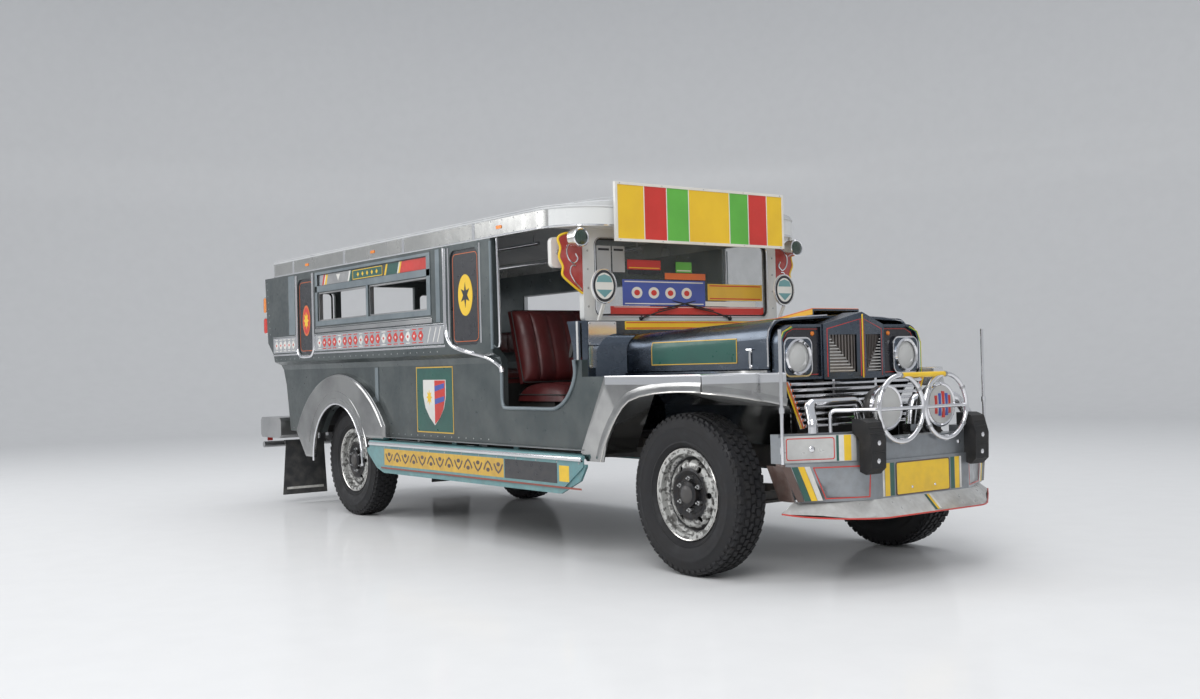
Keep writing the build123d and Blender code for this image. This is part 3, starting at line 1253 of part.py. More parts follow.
def rim():
    """Disc wheel about the Z axis with its drum and hub, outside face up."""
    barrel = [(194, -66), (RIM_RADIUS, -RIM_HALF), (RIM_RADIUS, -RIM_HALF + 6),
              (BEAD_RADIUS, -RIM_HALF + 8),
              (BEAD_RADIUS, -34), (182, -20), (182, 20), (BEAD_RADIUS, 34), (BEAD_RADIUS, RIM_HALF - 8),
              (RIM_RADIUS, RIM_HALF - 6), (RIM_RADIUS, RIM_HALF), (194, RIM_HALF - 2), (194, 36),
              (174, 22), (174, -22), (194, -36)]
    disc = [(176, 4), (176, 20), (150, 44), (112, 56), (92, 42), (60, 42), (60, 66), (44, 74), (0, 74),
            (0, 38), (SPINDLE_RADIUS + PIN_GAP, 38), (SPINDLE_RADIUS + PIN_GAP, -34), (60, -34),
            (60, 26), (92, 32), (112, 46), (146, 34), (164, 16), (164, 4)]
    drum = [(55, -40), (140, -40), (140, -4), (90, 30), (55, 30)]
    wheel = revolve(Plane.XZ * make_face(Polyline(*barrel, close=True)), axis=Axis.Z)
    wheel += revolve(Plane.XZ * make_face(Polyline(*disc, close=True)), axis=Axis.Z)
    for index in range(HAND_HOLES):
        wheel -= Rot(Z=index * 360 / HAND_HOLES) * Pos(134, 0, 30) * Cylinder(15, 60)
    wheel += revolve(Plane.XZ * make_face(Polyline(*drum, close=True)), axis=Axis.Z)
    return wheel


def wheel_place(x, side):
    """Location that turns an upward wheel to face outward on one side."""
    return Pos(x, side * HALF_TRACK, TYRE_RADIUS) * Rot(X=-90 * side)


def build_nodes():
    """All nodes by name, in axle coordinates."""
    rods, loops = guide_rods()
    side = body_side()
    nodes = {
        "chassis_frame": chassis_frame(),
        "engine_block": engine_block(),
        "propshaft": propshaft(),
        "front_axle": front_axle(),
        "rear_axle": rear_axle(),
        "leaf_springs": leaf_springs(),
        "fuel_tank": fuel_tank(),
        "exhaust": exhaust(),
        "floor_pan": floor_pan(),
        "wheel_housings": wheel_housings(),
        "seat_frames": seat_frames(),
        "bench_cushions": bench_cushions(),
        "front_seats": front_seats(),
        "body_side_left": side,
        "body_side_right": flip(side),
        "window_frames": window_frames(),
        "roof_shell": roof_shell(),
        "roof_rail": roof_rail(),
        "rear_frame": rear_frame(),
        "cowl": cowl(),
        "windshield_frame": windshield_frame(),
        "windshield_glass": windshield_glass(),
        "dashboard": dashboard(),
        "sign_board": sign_board(),
        "radiator_shell": radiator_shell(),
        "radiator_core": radiator_core(),
        "grille_louvres": grille_louvres(),
        "grille_bars": grille_bars(),
        "headlight_nacelles": headlight_nacelles(),
        "headlamps": headlamps(),
        "front_fenders": pair(front_fender()),
        "rear_fenders": pair(rear_fender()),
        "step_boards": pair(step_board()),
        "front_bumper": front_bumper(),
        "overriders": overriders(),
        "bumper_valance": bumper_valance(),
        "lamp_guard": guard_tubes(),
        "grille_tubes": group(rods, loops),
        "driving_lamps": driving_lamps(),
        "handrails": handrails(),
        "rear_step": rear_step(),
        "marker_lamps": marker_lamps(),
        "mud_flaps": mud_flaps(),
        "mirrors": mirrors(),
        "deflector_wings": deflector_wings(),
        "oval_plates": oval_plates(),
        "hood": hood(),
        "steering_wheel": steering_wheel(),
        "knuckle_left": knuckle(),
        "knuckle_right": flip(knuckle()),
        "tie_rod": tie_rod(),
    }
    rubber = tyre()
    disc = rim()
    for name, x, way in (("front_left", 0, 1), ("front_right", 0, -1),
                         ("rear_left", REAR_AXLE, 1), ("rear_right", REAR_AXLE, -1)):
        nodes["tyre_" + name] = wheel_place(x, way) * rubber
        nodes["rim_" + name] = wheel_place(x, way) * disc
    return nodes


os.makedirs("parts", exist_ok=True)
for node_name, node_shape in build_nodes().items():
    export_step(Pos(SHIFT, 0, 0) * node_shape, f"parts/{node_name}.step")
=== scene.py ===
"""Jeepney: finishes, trim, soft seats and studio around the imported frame."""

import logging
import math
from dataclasses import dataclass
from enum import Enum
from typing import Callable, Iterable, Sequence

import bmesh
import bpy
from mathutils import Matrix, Vector


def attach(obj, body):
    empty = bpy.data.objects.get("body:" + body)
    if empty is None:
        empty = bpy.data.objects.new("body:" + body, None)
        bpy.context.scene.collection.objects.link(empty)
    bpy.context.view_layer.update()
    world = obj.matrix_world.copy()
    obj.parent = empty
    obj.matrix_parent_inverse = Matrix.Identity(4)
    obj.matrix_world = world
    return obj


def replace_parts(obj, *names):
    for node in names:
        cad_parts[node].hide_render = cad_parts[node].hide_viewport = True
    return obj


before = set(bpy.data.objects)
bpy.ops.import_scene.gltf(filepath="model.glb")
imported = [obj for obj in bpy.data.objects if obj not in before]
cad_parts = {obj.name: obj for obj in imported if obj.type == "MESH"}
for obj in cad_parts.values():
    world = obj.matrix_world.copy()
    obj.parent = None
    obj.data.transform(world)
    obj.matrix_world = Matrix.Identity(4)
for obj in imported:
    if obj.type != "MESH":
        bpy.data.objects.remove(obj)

LOG = logging.getLogger("jeepney")
Colour = tuple[float, float, float]
Point = tuple[float, float, float]
Flat = tuple[float, float]
Box = tuple[float, float, float, float]
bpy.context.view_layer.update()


class Body(Enum):
    """The moving bodies that pieces ride on."""

    CHASSIS = "chassis"
    HOOD = "hood"
    STEERING_WHEEL = "steering_wheel"
    WHEEL_FRONT_LEFT = "wheel_front_left"
    WHEEL_FRONT_RIGHT = "wheel_front_right"
    WHEEL_REAR_LEFT = "wheel_rear_left"
    WHEEL_REAR_RIGHT = "wheel_rear_right"


class Side(Enum):
    """Left is the side towards +Y."""

    LEFT = 1
    RIGHT = -1

    @property
    def label(self) -> str:
        """Its name, as the pieces' names have it."""
        return self.name.lower()


class Nodes:
    """Short hand for wiring one material's nodes."""

    def __init__(self, name: str) -> None:
        """Starts a material with an empty node tree.

        Args:
            name: the material's name.
        """
        self.material = bpy.data.materials.new(name)
        self.material.use_nodes = True
        self.tree = self.material.node_tree
        self.tree.nodes.clear()
        self.output = self.add("ShaderNodeOutputMaterial")
        self.shader = self.add("ShaderNodeBsdfPrincipled")
        self.link(self.shader, "BSDF", self.output, "Surface")
        self.coords = self.add("ShaderNodeTexCoord")

    def add(self, kind: str, **settings: object) -> bpy.types.Node:
        """Adds a node.

        Args:
            kind: Blender's node type.
            **settings: attributes to set on it.

        Returns:
            The node.
        """
        node = self.tree.nodes.new(kind)
        for key, value in settings.items():
            setattr(node, key, value)
        return node

    def link(self, source: bpy.types.Node, out: str | int, target: bpy.types.Node, into: str | int) -> None:
        """Joins an output socket to an input socket.

        Args:
            source: node that gives the value.
            out: its output socket.
            target: node that takes the value.
            into: its input socket.
        """
        self.tree.links.new(source.outputs[out], target.inputs[into])

    def feed(self, source: bpy.types.Node, out: str | int, socket: str) -> None:
        """Joins an output socket to one of the shader's sockets."""
        self.link(source, out, self.shader, socket)

    def noise(self, scale: float, detail: float = 4.0, stretch: Point = (1.0, 1.0, 1.0)) -> bpy.types.Node:
        """Noise in the object's own space.

        Args:
            scale: how fine it is, per metre.
            detail: octaves of finer noise.
            stretch: scale along each axis.

        Returns:
            The noise node.
        """
        mapping = self.add("ShaderNodeMapping")
        mapping.inputs["Scale"].default_value = stretch
        self.link(self.coords, "Object", mapping, "Vector")
        node = self.add("ShaderNodeTexNoise")
        node.inputs["Scale"].default_value = scale
        node.inputs["Detail"].default_value = detail
        self.link(mapping, "Vector", node, "Vector")
        return node

    def ramp(self, source: bpy.types.Node, out: str, stops: Sequence[tuple[float, Colour]]) -> bpy.types.Node:
        """Colour ramp over a value.

        Args:
            source: node that gives the value.
            out: its output socket.
            stops: positions with their colours.

        Returns:
            The ramp node.
        """
        node = self.add("ShaderNodeValToRGB")
        ramp = node.color_ramp
        while len(ramp.elements) < len(stops):
            ramp.elements.new(1.0)
        for element, (place, colour) in zip(ramp.elements, stops):
            element.position = place
            element.color = (*colour, 1.0)
        self.link(source, out, node, "Fac")
        return node

    def span(self, source: bpy.types.Node, out: str, low: float, high: float,
             start: float = 0.3, end: float = 0.7) -> bpy.types.Node:
        """Maps a value from one range to another.

        Args:
            source: node that gives the value.
            out: its output socket.
            low: result at the start of the range.
            high: result at its end.
            start: value that gives low.
            end: value that gives high.

        Returns:
            The map range node.
        """
        node = self.add("ShaderNodeMapRange")
        node.inputs["From Min"].default_value = start
        node.inputs["From Max"].default_value = end
        node.inputs["To Min"].default_value = low
        node.inputs["To Max"].default_value = high
        self.link(source, out, node, "Value")
        return node

    def bump(self, source: bpy.types.Node, out: str, strength: float, distance: float) -> bpy.types.Node:
        """Bump from a value, set on the shader.

        Args:
            source: node that gives the height.
            out: its output socket.
            strength: from 0 to 1.
            distance: height in metres.

        Returns:
            The bump node.
        """
        node = self.add("ShaderNodeBump")
        node.inputs["Strength"].default_value = strength
        node.inputs["Distance"].default_value = distance
        self.link(source, out, node, "Height")
        self.link(node, "Normal", self.shader, "Normal")
        return node

    def set(self, **values: float | Colour) -> None:
        """Sets plain values on the shader's sockets.

        Args:
            **values: socket names with underscores for spaces, and their values.
        """
        for key, value in values.items():
            socket = self.shader.inputs[key.replace("_", " ")]
            socket.default_value = (*value, 1.0) if isinstance(value, tuple) else value


def mixed(one: Colour, other: Colour, share: float) -> Colour:
    """Mixes two colours.

    Args:
        one: first colour.
        other: second colour.
        share: share of the second.

    Returns:
        The colour between them.
    """
    return tuple(a + (b - a) * share for a, b in zip(one, other))


@dataclass(frozen=True)
class Finish:
    """A finish that makes its Blender material once."""

    name: str

    def material(self) -> bpy.types.Material:
        """The material, made when first asked for.

        Returns:
            Blender's material.
        """
        known = bpy.data.materials.get(self.name)
        if known:
            return known
        nodes = Nodes(self.name)
        self.wire(nodes)
        return nodes.material

    def wire(self, nodes: Nodes) -> None:
        """Wires the node tree.

        Args:
            nodes: the new material's nodes.
        """
        raise NotImplementedError


@dataclass(frozen=True)
class Paint(Finish):
    """Coat of paint on steel, faded in patches, with fine orange peel and road dust low down."""

    colour: Colour
    shade: Colour
    roughness: float = 0.34
    metallic: float = 0.0
    grime: Colour = (0.16, 0.14, 0.12)
    grime_top: float = 0.9
    grime_amount: float = 0.35
    grain: float = 0.0004

    def wire(self, nodes: Nodes) -> None:
        """Wires the node tree.

        Args:
            nodes: the new material's nodes.
        """
        patches = nodes.noise(5.0, 6.0)
        coat = nodes.ramp(patches, "Fac", ((0.36, self.colour), (0.68, self.shade)))
        place = nodes.add("ShaderNodeSeparateXYZ")
        nodes.link(nodes.coords, "Object", place, "Vector")
        height = nodes.span(place, "Z", self.grime_amount, 0.0, 0.25, self.grime_top)
        specks = nodes.noise(26.0, 8.0)
        dirt = nodes.add("ShaderNodeMath", operation="MULTIPLY")
        nodes.link(height, "Result", dirt, 0)
        nodes.link(nodes.span(specks, "Fac", 0.1, 1.0, 0.35, 0.7), "Result", dirt, 1)
        mix = nodes.add("ShaderNodeMix", data_type="RGBA")
        nodes.link(dirt, "Value", mix, 0)
        nodes.link(coat, "Color", mix, 6)
        mix.inputs[7].default_value = (*self.grime, 1.0)
        nodes.feed(mix, 2, "Base Color")
        rough = nodes.span(specks, "Fac", self.roughness - 0.06, self.roughness + 0.12)
        nodes.feed(rough, "Result", "Roughness")
        nodes.bump(nodes.noise(240.0, 2.0), "Fac", 0.25, self.grain)
        nodes.set(Metallic=self.metallic, Coat_Weight=0.25, Coat_Roughness=0.12)


@dataclass(frozen=True)
class BareSteel(Finish):
    """Rolled or polished sheet steel with streaks, smudges and shallow waves."""

    colour: Colour
    shade: Colour
    roughness: float = 0.22
    streak: Point = (1.0, 1.0, 1.0)
    wave: float = 0.002
    patches: float = 3.0

    def wire(self, nodes: Nodes) -> None:
        """Wires the node tree.

        Args:
            nodes: the new material's nodes.
        """
        smudge = nodes.noise(self.patches, 7.0, self.streak)
        tone = nodes.ramp(smudge, "Fac", ((0.34, self.colour), (0.66, self.shade)))
        nodes.feed(tone, "Color", "Base Color")
        fine = nodes.noise(14.0, 4.0, self.streak)
        rough = nodes.span(fine, "Fac", self.roughness - 0.03, self.roughness + 0.07)
        nodes.feed(rough, "Result", "Roughness")
        nodes.bump(nodes.noise(3.5, 1.0), "Fac", 0.3, self.wave)
        nodes.set(Metallic=1.0)


@dataclass(frozen=True)
class Chrome(Finish):
    """Bright plating with a faint haze and water spots."""

    colour: Colour = (0.83, 0.84, 0.86)
    roughness: float = 0.07

    def wire(self, nodes: Nodes) -> None:
        """Wires the node tree.

        Args:
            nodes: the new material's nodes.
        """
        haze = nodes.noise(34.0, 6.0)
        tone = nodes.ramp(haze, "Fac", ((0.3, self.colour),
                                        (0.75, mixed(self.colour, (0.4, 0.4, 0.42), 0.35))))
        nodes.feed(tone, "Color", "Base Color")
        nodes.feed(nodes.span(haze, "Fac", self.roughness, self.roughness + 0.16), "Result", "Roughness")
        nodes.bump(nodes.noise(14.0, 2.0), "Fac", 0.15, 0.001)
        nodes.set(Metallic=1.0)


@dataclass(frozen=True)
class Rubber(Finish):
    """Rubber with a chalky bloom and road dust in its grain."""

    colour: Colour = (0.018, 0.018, 0.02)
    dust: Colour = (0.085, 0.08, 0.075)
    roughness: float = 0.62
    grain: float = 0.0006

    def wire(self, nodes: Nodes) -> None:
        """Wires the node tree.

        Args:
            nodes: the new material's nodes.
        """
        bloom = nodes.noise(16.0, 8.0)
        nodes.feed(nodes.ramp(bloom, "Fac", ((0.42, self.colour), (0.74, self.dust))), "Color", "Base Color")
        rough = nodes.span(bloom, "Fac", self.roughness - 0.1, self.roughness + 0.2)
        nodes.feed(rough, "Result", "Roughness")
        nodes.bump(nodes.noise(320.0, 3.0), "Fac", 0.4, self.grain)


@dataclass(frozen=True)
class Vinyl(Finish):
    """Upholstery vinyl with a leather-like grain."""

    colour: Colour
    shade: Colour
    roughness: float = 0.45

    def wire(self, nodes: Nodes) -> None:
        """Wires the node tree.

        Args:
            nodes: the new material's nodes.
        """
        tone = nodes.ramp(nodes.noise(7.0, 5.0), "Fac", ((0.35, self.colour), (0.7, self.shade)))
        nodes.feed(tone, "Color", "Base Color")
        cells = nodes.add("ShaderNodeTexVoronoi", feature="DISTANCE_TO_EDGE")
        cells.inputs["Scale"].default_value = 260.0
        nodes.link(nodes.coords, "Object", cells, "Vector")
        nodes.bump(cells, "Distance", 0.5, 0.0006)
        rough = nodes.span(nodes.noise(22.0, 4.0), "Fac", self.roughness - 0.08, self.roughness + 0.12)
        nodes.feed(rough, "Result", "Roughness")


@dataclass(frozen=True)
class Glass(Finish):
    """Clear or tinted sheet glass with a thin film of dust."""

    tint: Colour
    alpha: float
    roughness: float = 0.04

    def wire(self, nodes: Nodes) -> None:
        """Wires the node tree.

        Args:
            nodes: the new material's nodes.
        """
        film = nodes.noise(11.0, 6.0)
        tone = nodes.ramp(film, "Fac", ((0.3, self.tint), (0.8, mixed(self.tint, (0.5, 0.5, 0.48), 0.25))))
        nodes.feed(tone, "Color", "Base Color")
        nodes.feed(nodes.span(film, "Fac", self.roughness, self.roughness + 0.06), "Result", "Roughness")
        nodes.feed(nodes.span(film, "Fac", self.alpha, min(1.0, self.alpha + 0.08)), "Result", "Alpha")
        nodes.bump(nodes.noise(2.5, 1.0), "Fac", 0.05, 0.001)
        nodes.set(Specular_IOR_Level=0.6)


@dataclass(frozen=True)
class Lens(Finish):
    """Moulded lamp lens with fluting, its colour darker in the grooves between the flutes as painted shade.
    """

    colour: Colour
    # depth: colour of the grooves between flutes, a painted shade.
    depth: Colour
    flutes: float = 55.0

    def wire(self, nodes: Nodes) -> None:
        """Wires the node tree.

        Args:
            nodes: the new material's nodes.
        """
        wave = nodes.add("ShaderNodeTexWave", wave_type="BANDS", bands_direction="Y")
        wave.inputs["Scale"].default_value = self.flutes
        wave.inputs["Distortion"].default_value = 0.4
        nodes.link(nodes.coords, "Object", wave, "Vector")
        # Colour follows the fluting: crests take the lens colour, grooves the darker one, painted shade in
        # the grooves.
        nodes.feed(nodes.ramp(wave, "Fac", ((0.1, self.depth), (0.9, self.colour))), "Color", "Base Color")
        nodes.bump(wave, "Fac", 0.35, 0.0015)
        nodes.feed(nodes.span(nodes.noise(40.0, 4.0), "Fac", 0.08, 0.2), "Result", "Roughness")
        nodes.set(Coat_Weight=0.6, Coat_Roughness=0.06)


@dataclass(frozen=True)
class RimPaint(Finish):
    """Wheel paint: chipped silver on the outer ring, brake dust and black paint at the middle."""

    centre_x: float
    centre_z: float
    ring: float
    bowl: float
    bright: Colour = (0.5, 0.5, 0.48)
    dark: Colour = (0.02, 0.02, 0.022)

    def wire(self, nodes: Nodes) -> None:
        """Wires the node tree.

        Args:
            nodes: the new material's nodes.
        """
        place = nodes.add("ShaderNodeMapping")
        place.inputs["Location"].default_value = (-self.centre_x, 0.0, -self.centre_z)
        place.inputs["Scale"].default_value = (1.0, 0.0, 1.0)
        nodes.link(nodes.coords, "Object", place, "Vector")
        reach = nodes.add("ShaderNodeVectorMath", operation="LENGTH")
        nodes.link(place, "Vector", reach, 0)
        chips = nodes.noise(42.0, 9.0)
        ragged = nodes.add("ShaderNodeMath", operation="MULTIPLY_ADD")
        nodes.link(chips, "Fac", ragged, 0)
        ragged.inputs[1].default_value = 0.05
        nodes.link(reach, "Value", ragged, 2)
        tone = nodes.ramp(ragged, "Value", (
            (self.bowl, self.dark), (self.bowl + 0.006, self.bright), (self.bowl + 0.03, self.bright),
            (self.bowl + 0.036, self.dark), (self.bowl + 0.052, self.dark), (self.bowl + 0.058, self.bright),
            (self.ring, self.bright), (self.ring + 0.01, mixed(self.bright, self.dark, 0.55))))
        worn = nodes.ramp(chips, "Fac", ((0.48, (0.0, 0.0, 0.0)), (0.56, (1.0, 1.0, 1.0))))
        mix = nodes.add("ShaderNodeMix", data_type="RGBA")
        mix.inputs[7].default_value = (0.03, 0.026, 0.024, 1.0)
        amount = nodes.add("ShaderNodeMath", operation="MULTIPLY")
        nodes.link(worn, "Color", amount, 0)
        amount.inputs[1].default_value = 0.75
        nodes.link(amount, "Value", mix, 0)
        nodes.link(tone, "Color", mix, 6)
        nodes.feed(mix, 2, "Base Color")
        nodes.feed(nodes.span(chips, "Fac", 0.3, 0.6), "Result", "Roughness")
        nodes.bump(chips, "Fac", 0.3, 0.0008)
        nodes.set(Metallic=0.35)


# Metres: the front axle ahead of the frame's origin, the wheels, and both halves of the stepped body.
AXLE = 2.1075
WHEELBASE = 3.623
TYRE_RADIUS = 0.388
HALF_WIDTH = 0.9
LOWER_HALF = 0.84
# A painted field's thickness, and its back just inside the sheet that it lies on.
FILM = 0.0008
BEDDED = -0.0002
# The back of a fixed plate just inside its sheet.
SEATED = -0.0003
# Faces shade smoothly up to this angle, on the pieces and on the CAD nodes.
PIECE_CREASE = math.radians(38)
NODE_CREASE = math.radians(32)
# Directions of the shared frame.
AHEAD = (1, 0, 0)
UPWARD = (0, 0, 1)


def along(x: float) -> float:
    """Place along the vehicle from its distance to the front axle, in metres."""
    return x + AXLE


@dataclass(frozen=True)
class Plane:
    """Flat drawing plane: an outline's two numbers run along its two directions."""

    origin: Point
    across: Point
    up: Point
    out: Point

    def at(self, flat: Flat, lift: float = 0.0) -> Vector:
        """Point in space.

        Args:
            flat: the two numbers on the plane.
            lift: distance off the plane.

        Returns:
            The point.
        """
        return (Vector(self.origin) + Vector(self.across) * flat[0]
                + Vector(self.up) * flat[1] + Vector(self.out) * lift)


def side_plane(side: Side, half: float) -> Plane:
    """Plane of a body side.

    Args:
        side: which side of the vehicle.
        half: distance from the centre line.

    Returns:
        A plane whose numbers are the distance from the front axle and the height.
    """
    return Plane((AXLE, side.value * half, 0.0), AHEAD, UPWARD, (0, side.value, 0))


def cross_plane(x: float, way: int = 1) -> Plane:
    """Upright plane across the vehicle.

    Args:
        x: distance from the front axle.
        way: 1 where it faces forward, -1 where it faces back.

    Returns:
        A plane whose numbers are the distance from the centre line and the height.
    """
    return Plane((along(x), 0.0, 0.0), (0, 1, 0), UPWARD, (way, 0, 0))


def box_outline(x0: float, x1: float, z0: float, z1: float, radius: float = 0.0,
                steps: int = 5) -> list[Flat]:
    """Rectangle with round corners.

    Args:
        x0: one side.
        x1: the other side.
        z0: bottom.
        z1: top.
        radius: corner radius.
        steps: points in each corner.

    Returns:
        The outline.
    """
    left, right = sorted((x0, x1))
    low, high = sorted((z0, z1))
    if radius <= 0.0:
        return [(left, low), (right, low), (right, high), (left, high)]
    corners = ((right - radius, low + radius, -90), (right - radius, high - radius, 0),
               (left + radius, high - radius, 90), (left + radius, low + radius, 180))
    return [point for x, z, start in corners for point in arc_points(x, z, radius, start, start + 90, steps)]


def share_of(value: float, whole: float) -> float:
    """Share that a value makes of a whole, held between 0 and 1."""
    return min(1.0, max(0.0, value / whole))


def arc_points(x: float, z: float, radius: float, start: float, end: float, steps: int) -> list[Flat]:
    """Points of an arc.

    Args:
        x: centre.
        z: centre.
        radius: radius.
        start: first angle in degrees.
        end: last angle in degrees.
        steps: pieces that it is cut into.

    Returns:
        The points, both ends included.
    """
    angles = [math.radians(start + (end - start) * step / steps) for step in range(steps + 1)]
    return [(x + radius * math.cos(a), z + radius * math.sin(a)) for a in angles]


def oval_outline(x: float, z: float, half_x: float, half_z: float, steps: int = 36) -> list[Flat]:
    """Ellipse.

    Args:
        x: centre.
        z: centre.
        half_x: half its width.
        half_z: half its height.
        steps: points round it.

    Returns:
        The outline.
    """
    turn = [math.tau * step / steps for step in range(steps)]
    return [(x + half_x * math.cos(a), z + half_z * math.sin(a)) for a in turn]


def ribbon(line: Sequence[Flat], width: float) -> list[Flat]:
    """Closed outline of a strip along a line.

    Args:
        line: the strip's middle.
        width: its width.

    Returns:
        The outline.
    """
    near, far = [], []
    last = len(line) - 1
    for index, (x, z) in enumerate(line):
        before = Vector(line[max(index - 1, 0)])
        after = Vector(line[min(index + 1, last)])
        run = (after - before).normalized()
        near.append((x - run.y * width / 2, z + run.x * width / 2))
        far.append((x + run.y * width / 2, z - run.x * width / 2))
    return near + far[::-1]


def smooth_line(points: Sequence[Point], steps: int = 8) -> list[Vector]:
    """Rounded line through points, by the Catmull-Rom rule.

    Args:
        points: the points that it passes.
        steps: pieces between two points.

    Returns:
        Points along the line.
    """
    known = [Vector(point) for point in points]
    padded = [known[0] * 2 - known[1], *known, known[-1] * 2 - known[-2]]
    line = []
    for a, b, c, d in zip(padded, padded[1:], padded[2:], padded[3:]):
        for step in range(steps):
            t = step / steps
            line.append(0.5 * ((2 * b) + (c - a) * t + (2 * a - 5 * b + 4 * c - d) * t ** 2
                               + (3 * b - a - 3 * c + d) * t ** 3))
    return line + [known[-1]]


class Stock:
    """Gathers closed shapes of one finish into one piece."""

    def __init__(self, name: str, finish: Finish, body: Body = Body.CHASSIS,
                 edge: float = 0.0, slot: str | None = None) -> None:
        """Starts an empty piece.

        Args:
            name: the piece's name.
            finish: what it is made of.
            body: the body that it rides on.
            edge: width of its bevelled edges, 0 for none.
            slot: the record's material slot, where it shares one; not used.
        """
        self.name = name
        self.finish = finish
        self.body = body
        self.edge = edge
        self.slot = slot
        self.mesh = bmesh.new()

    def slab(self, outline: Sequence[Flat], plane: Plane, thick: float, lift: float = 0.0) -> "Stock":
        """Outline on a plane, made thick.

        Args:
            outline: closed outline.
            plane: where it lies.
            thick: how far it stands out.
            lift: where its back lies, off the plane.

        Returns:
            This piece.
        """
        back = [self.mesh.verts.new(plane.at(flat, lift)) for flat in outline]
        front = [self.mesh.verts.new(plane.at(flat, lift + thick)) for flat in outline]
        self.mesh.faces.new(back)
        self.mesh.faces.new(front[::-1])
        self.wrap(back, front)
        return self

    def frame(self, outer: Sequence[Flat], inner: Sequence[Flat], plane: Plane,
              thick: float, lift: float = 0.0) -> "Stock":
        """Frame between two outlines with the same number of points.

        Args:
            outer: outside outline.
            inner: inside outline.
            plane: where it lies.
            thick: how far it stands out.
            lift: where its back lies, off the plane.

        Returns:
            This piece.
        """
        rings = [[self.mesh.verts.new(plane.at(flat, height)) for flat in outline]
                 for outline, height in ((outer, lift), (outer, lift + thick),
                                         (inner, lift + thick), (inner, lift))]
        for one, other in zip(rings, rings[1:] + rings[:1]):
            self.wrap(one, other)
        return self

    def rim(self, box: Box, width: float, radii: Flat, steps: int, plane: Plane, thick: float,
            lift: float = 0.0) -> "Stock":
        """Frame of one width round a rectangle.

        Args:
            box: both sides, bottom and top of its outside.
            width: its width.
            radii: corner radius outside and inside.
            steps: points in each corner.
            plane: where it lies.
            thick: how far it stands out.
            lift: where its back lies, off the plane.

        Returns:
            This piece.
        """
        left, right = sorted(box[:2])
        inner = (left + width, right - width, box[2] + width, box[3] - width)
        return self.frame(box_outline(*box, radii[0], steps), box_outline(*inner, radii[1], steps),
                          plane, thick, lift)

    def wrap(self, one: Sequence[bmesh.types.BMVert], other: Sequence[bmesh.types.BMVert]) -> None:
        """Faces between two rings of points.

        Args:
            one: first ring.
            other: second ring.
        """
        count = len(one)
        for index in range(count):
            after = (index + 1) % count
            self.mesh.faces.new((one[index], one[after], other[after], other[index]))

    def tube(self, line: Sequence[Point], radius: float | Sequence[float], sides: int = 12,
             closed: bool = False, flat: float = 1.0) -> "Stock":
        """Round bar along a line.

        Args:
            line: its middle.
            radius: one radius, or one for each point.
            sides: sides of its section.
            closed: whether its end meets its start.
            flat: height of the section as a share of its width.

        Returns:
            This piece.
        """
        points = [Vector(point) for point in line]
        radii = [radius] * len(points) if isinstance(radius, (int, float)) else list(radius)
        rings = []
        lead = Vector(UPWARD)
        for index, point in enumerate(points):
            before = points[index - 1] if index or closed else point
            after = points[(index + 1) % len(points)] if index < len(points) - 1 or closed else point
            run = (after - before).normalized()
            if index == 0 and abs(run.dot(lead)) > 0.9:
                lead = Vector(AHEAD)
            lead = (lead - run * lead.dot(run)).normalized()
            across = run.cross(lead)
            ring = []
            for side in range(sides):
                angle = math.tau * side / sides
                offset = lead * math.cos(angle) * flat + across * math.sin(angle)
                ring.append(self.mesh.verts.new(point + offset * radii[index]))
            rings.append(ring)
        for one, other in zip(rings, rings[1:]):
            self.wrap(one, other)
        if closed:
            self.wrap(rings[-1], rings[0])
        else:
            self.mesh.faces.new(rings[0])
            self.mesh.faces.new(rings[-1][::-1])
        return self

    def turned(self, profile: Sequence[Flat], centre: Point, axis: Point, steps: int = 32) -> "Stock":
        """Turned shape.

        Args:
            profile: closed outline of radius and height along the axis.
            centre: where height is zero.
            axis: direction of the axis.
            steps: faces round it.

        Returns:
            This piece.
        """
        way = Vector(axis).normalized()
        across = way.orthogonal().normalized()
        up = way.cross(across)
        rings = []
        for step in range(steps):
            angle = math.tau * step / steps
            arm = across * math.cos(angle) + up * math.sin(angle)
            rings.append([self.mesh.verts.new(Vector(centre) + arm * r + way * h) for r, h in profile])
        for one, other in zip(rings, rings[1:] + rings[:1]):
            self.wrap(one, other)
        bmesh.ops.remove_doubles(self.mesh, verts=[v for ring in rings for v in ring], dist=1e-6)
        return self

    def moulding(self, line: Sequence[Flat], plane: Plane, profile: Sequence[Flat]) -> "Stock":
        """Moulding that follows a line on a plane.

        Args:
            line: where it runs.
            plane: the plane of the line.
            profile: closed section: distance to the left of the line, and off the plane.

        Returns:
            This piece.
        """
        rings = []
        last = len(line) - 1
        for index, (x, z) in enumerate(line):
            run = (Vector(line[min(index + 1, last)]) - Vector(line[max(index - 1, 0)])).normalized()
            rings.append([self.mesh.verts.new(plane.at((x - run.y * reach, z + run.x * reach), lift))
                          for reach, lift in profile])
        for one, other in zip(rings, rings[1:]):
            self.wrap(one, other)
        self.mesh.faces.new(rings[0])
        self.mesh.faces.new(rings[-1][::-1])
        return self

    def bend(self, place: Callable[[Vector], Vector]) -> "Stock":
        """Moves every point.

        Args:
            place: gives a point's new place.

        Returns:
            This piece.
        """
        for vertex in self.mesh.verts:
            vertex.co = place(vertex.co)
        return self

    def dome(self, centre: Point, axis: Point, radius: float, height: float, steps: int = 16) -> "Stock":
        """Round-headed bolt or stud.

        Args:
            centre: middle of its seat.
            axis: way that it faces.
            radius: radius of its head.
            height: height of its head.
            steps: faces round it.

        Returns:
            This piece.
        """
        profile = [(0.0, -height * 0.3), (radius, -height * 0.3), (radius, height * 0.25)]
        profile += [(radius * math.cos(a), height * (0.25 + 0.75 * math.sin(a)))
                    for a in (math.radians(25), math.radians(50), math.radians(70))]
        profile.append((0.0, height))
        return self.turned(profile, centre, axis, steps)

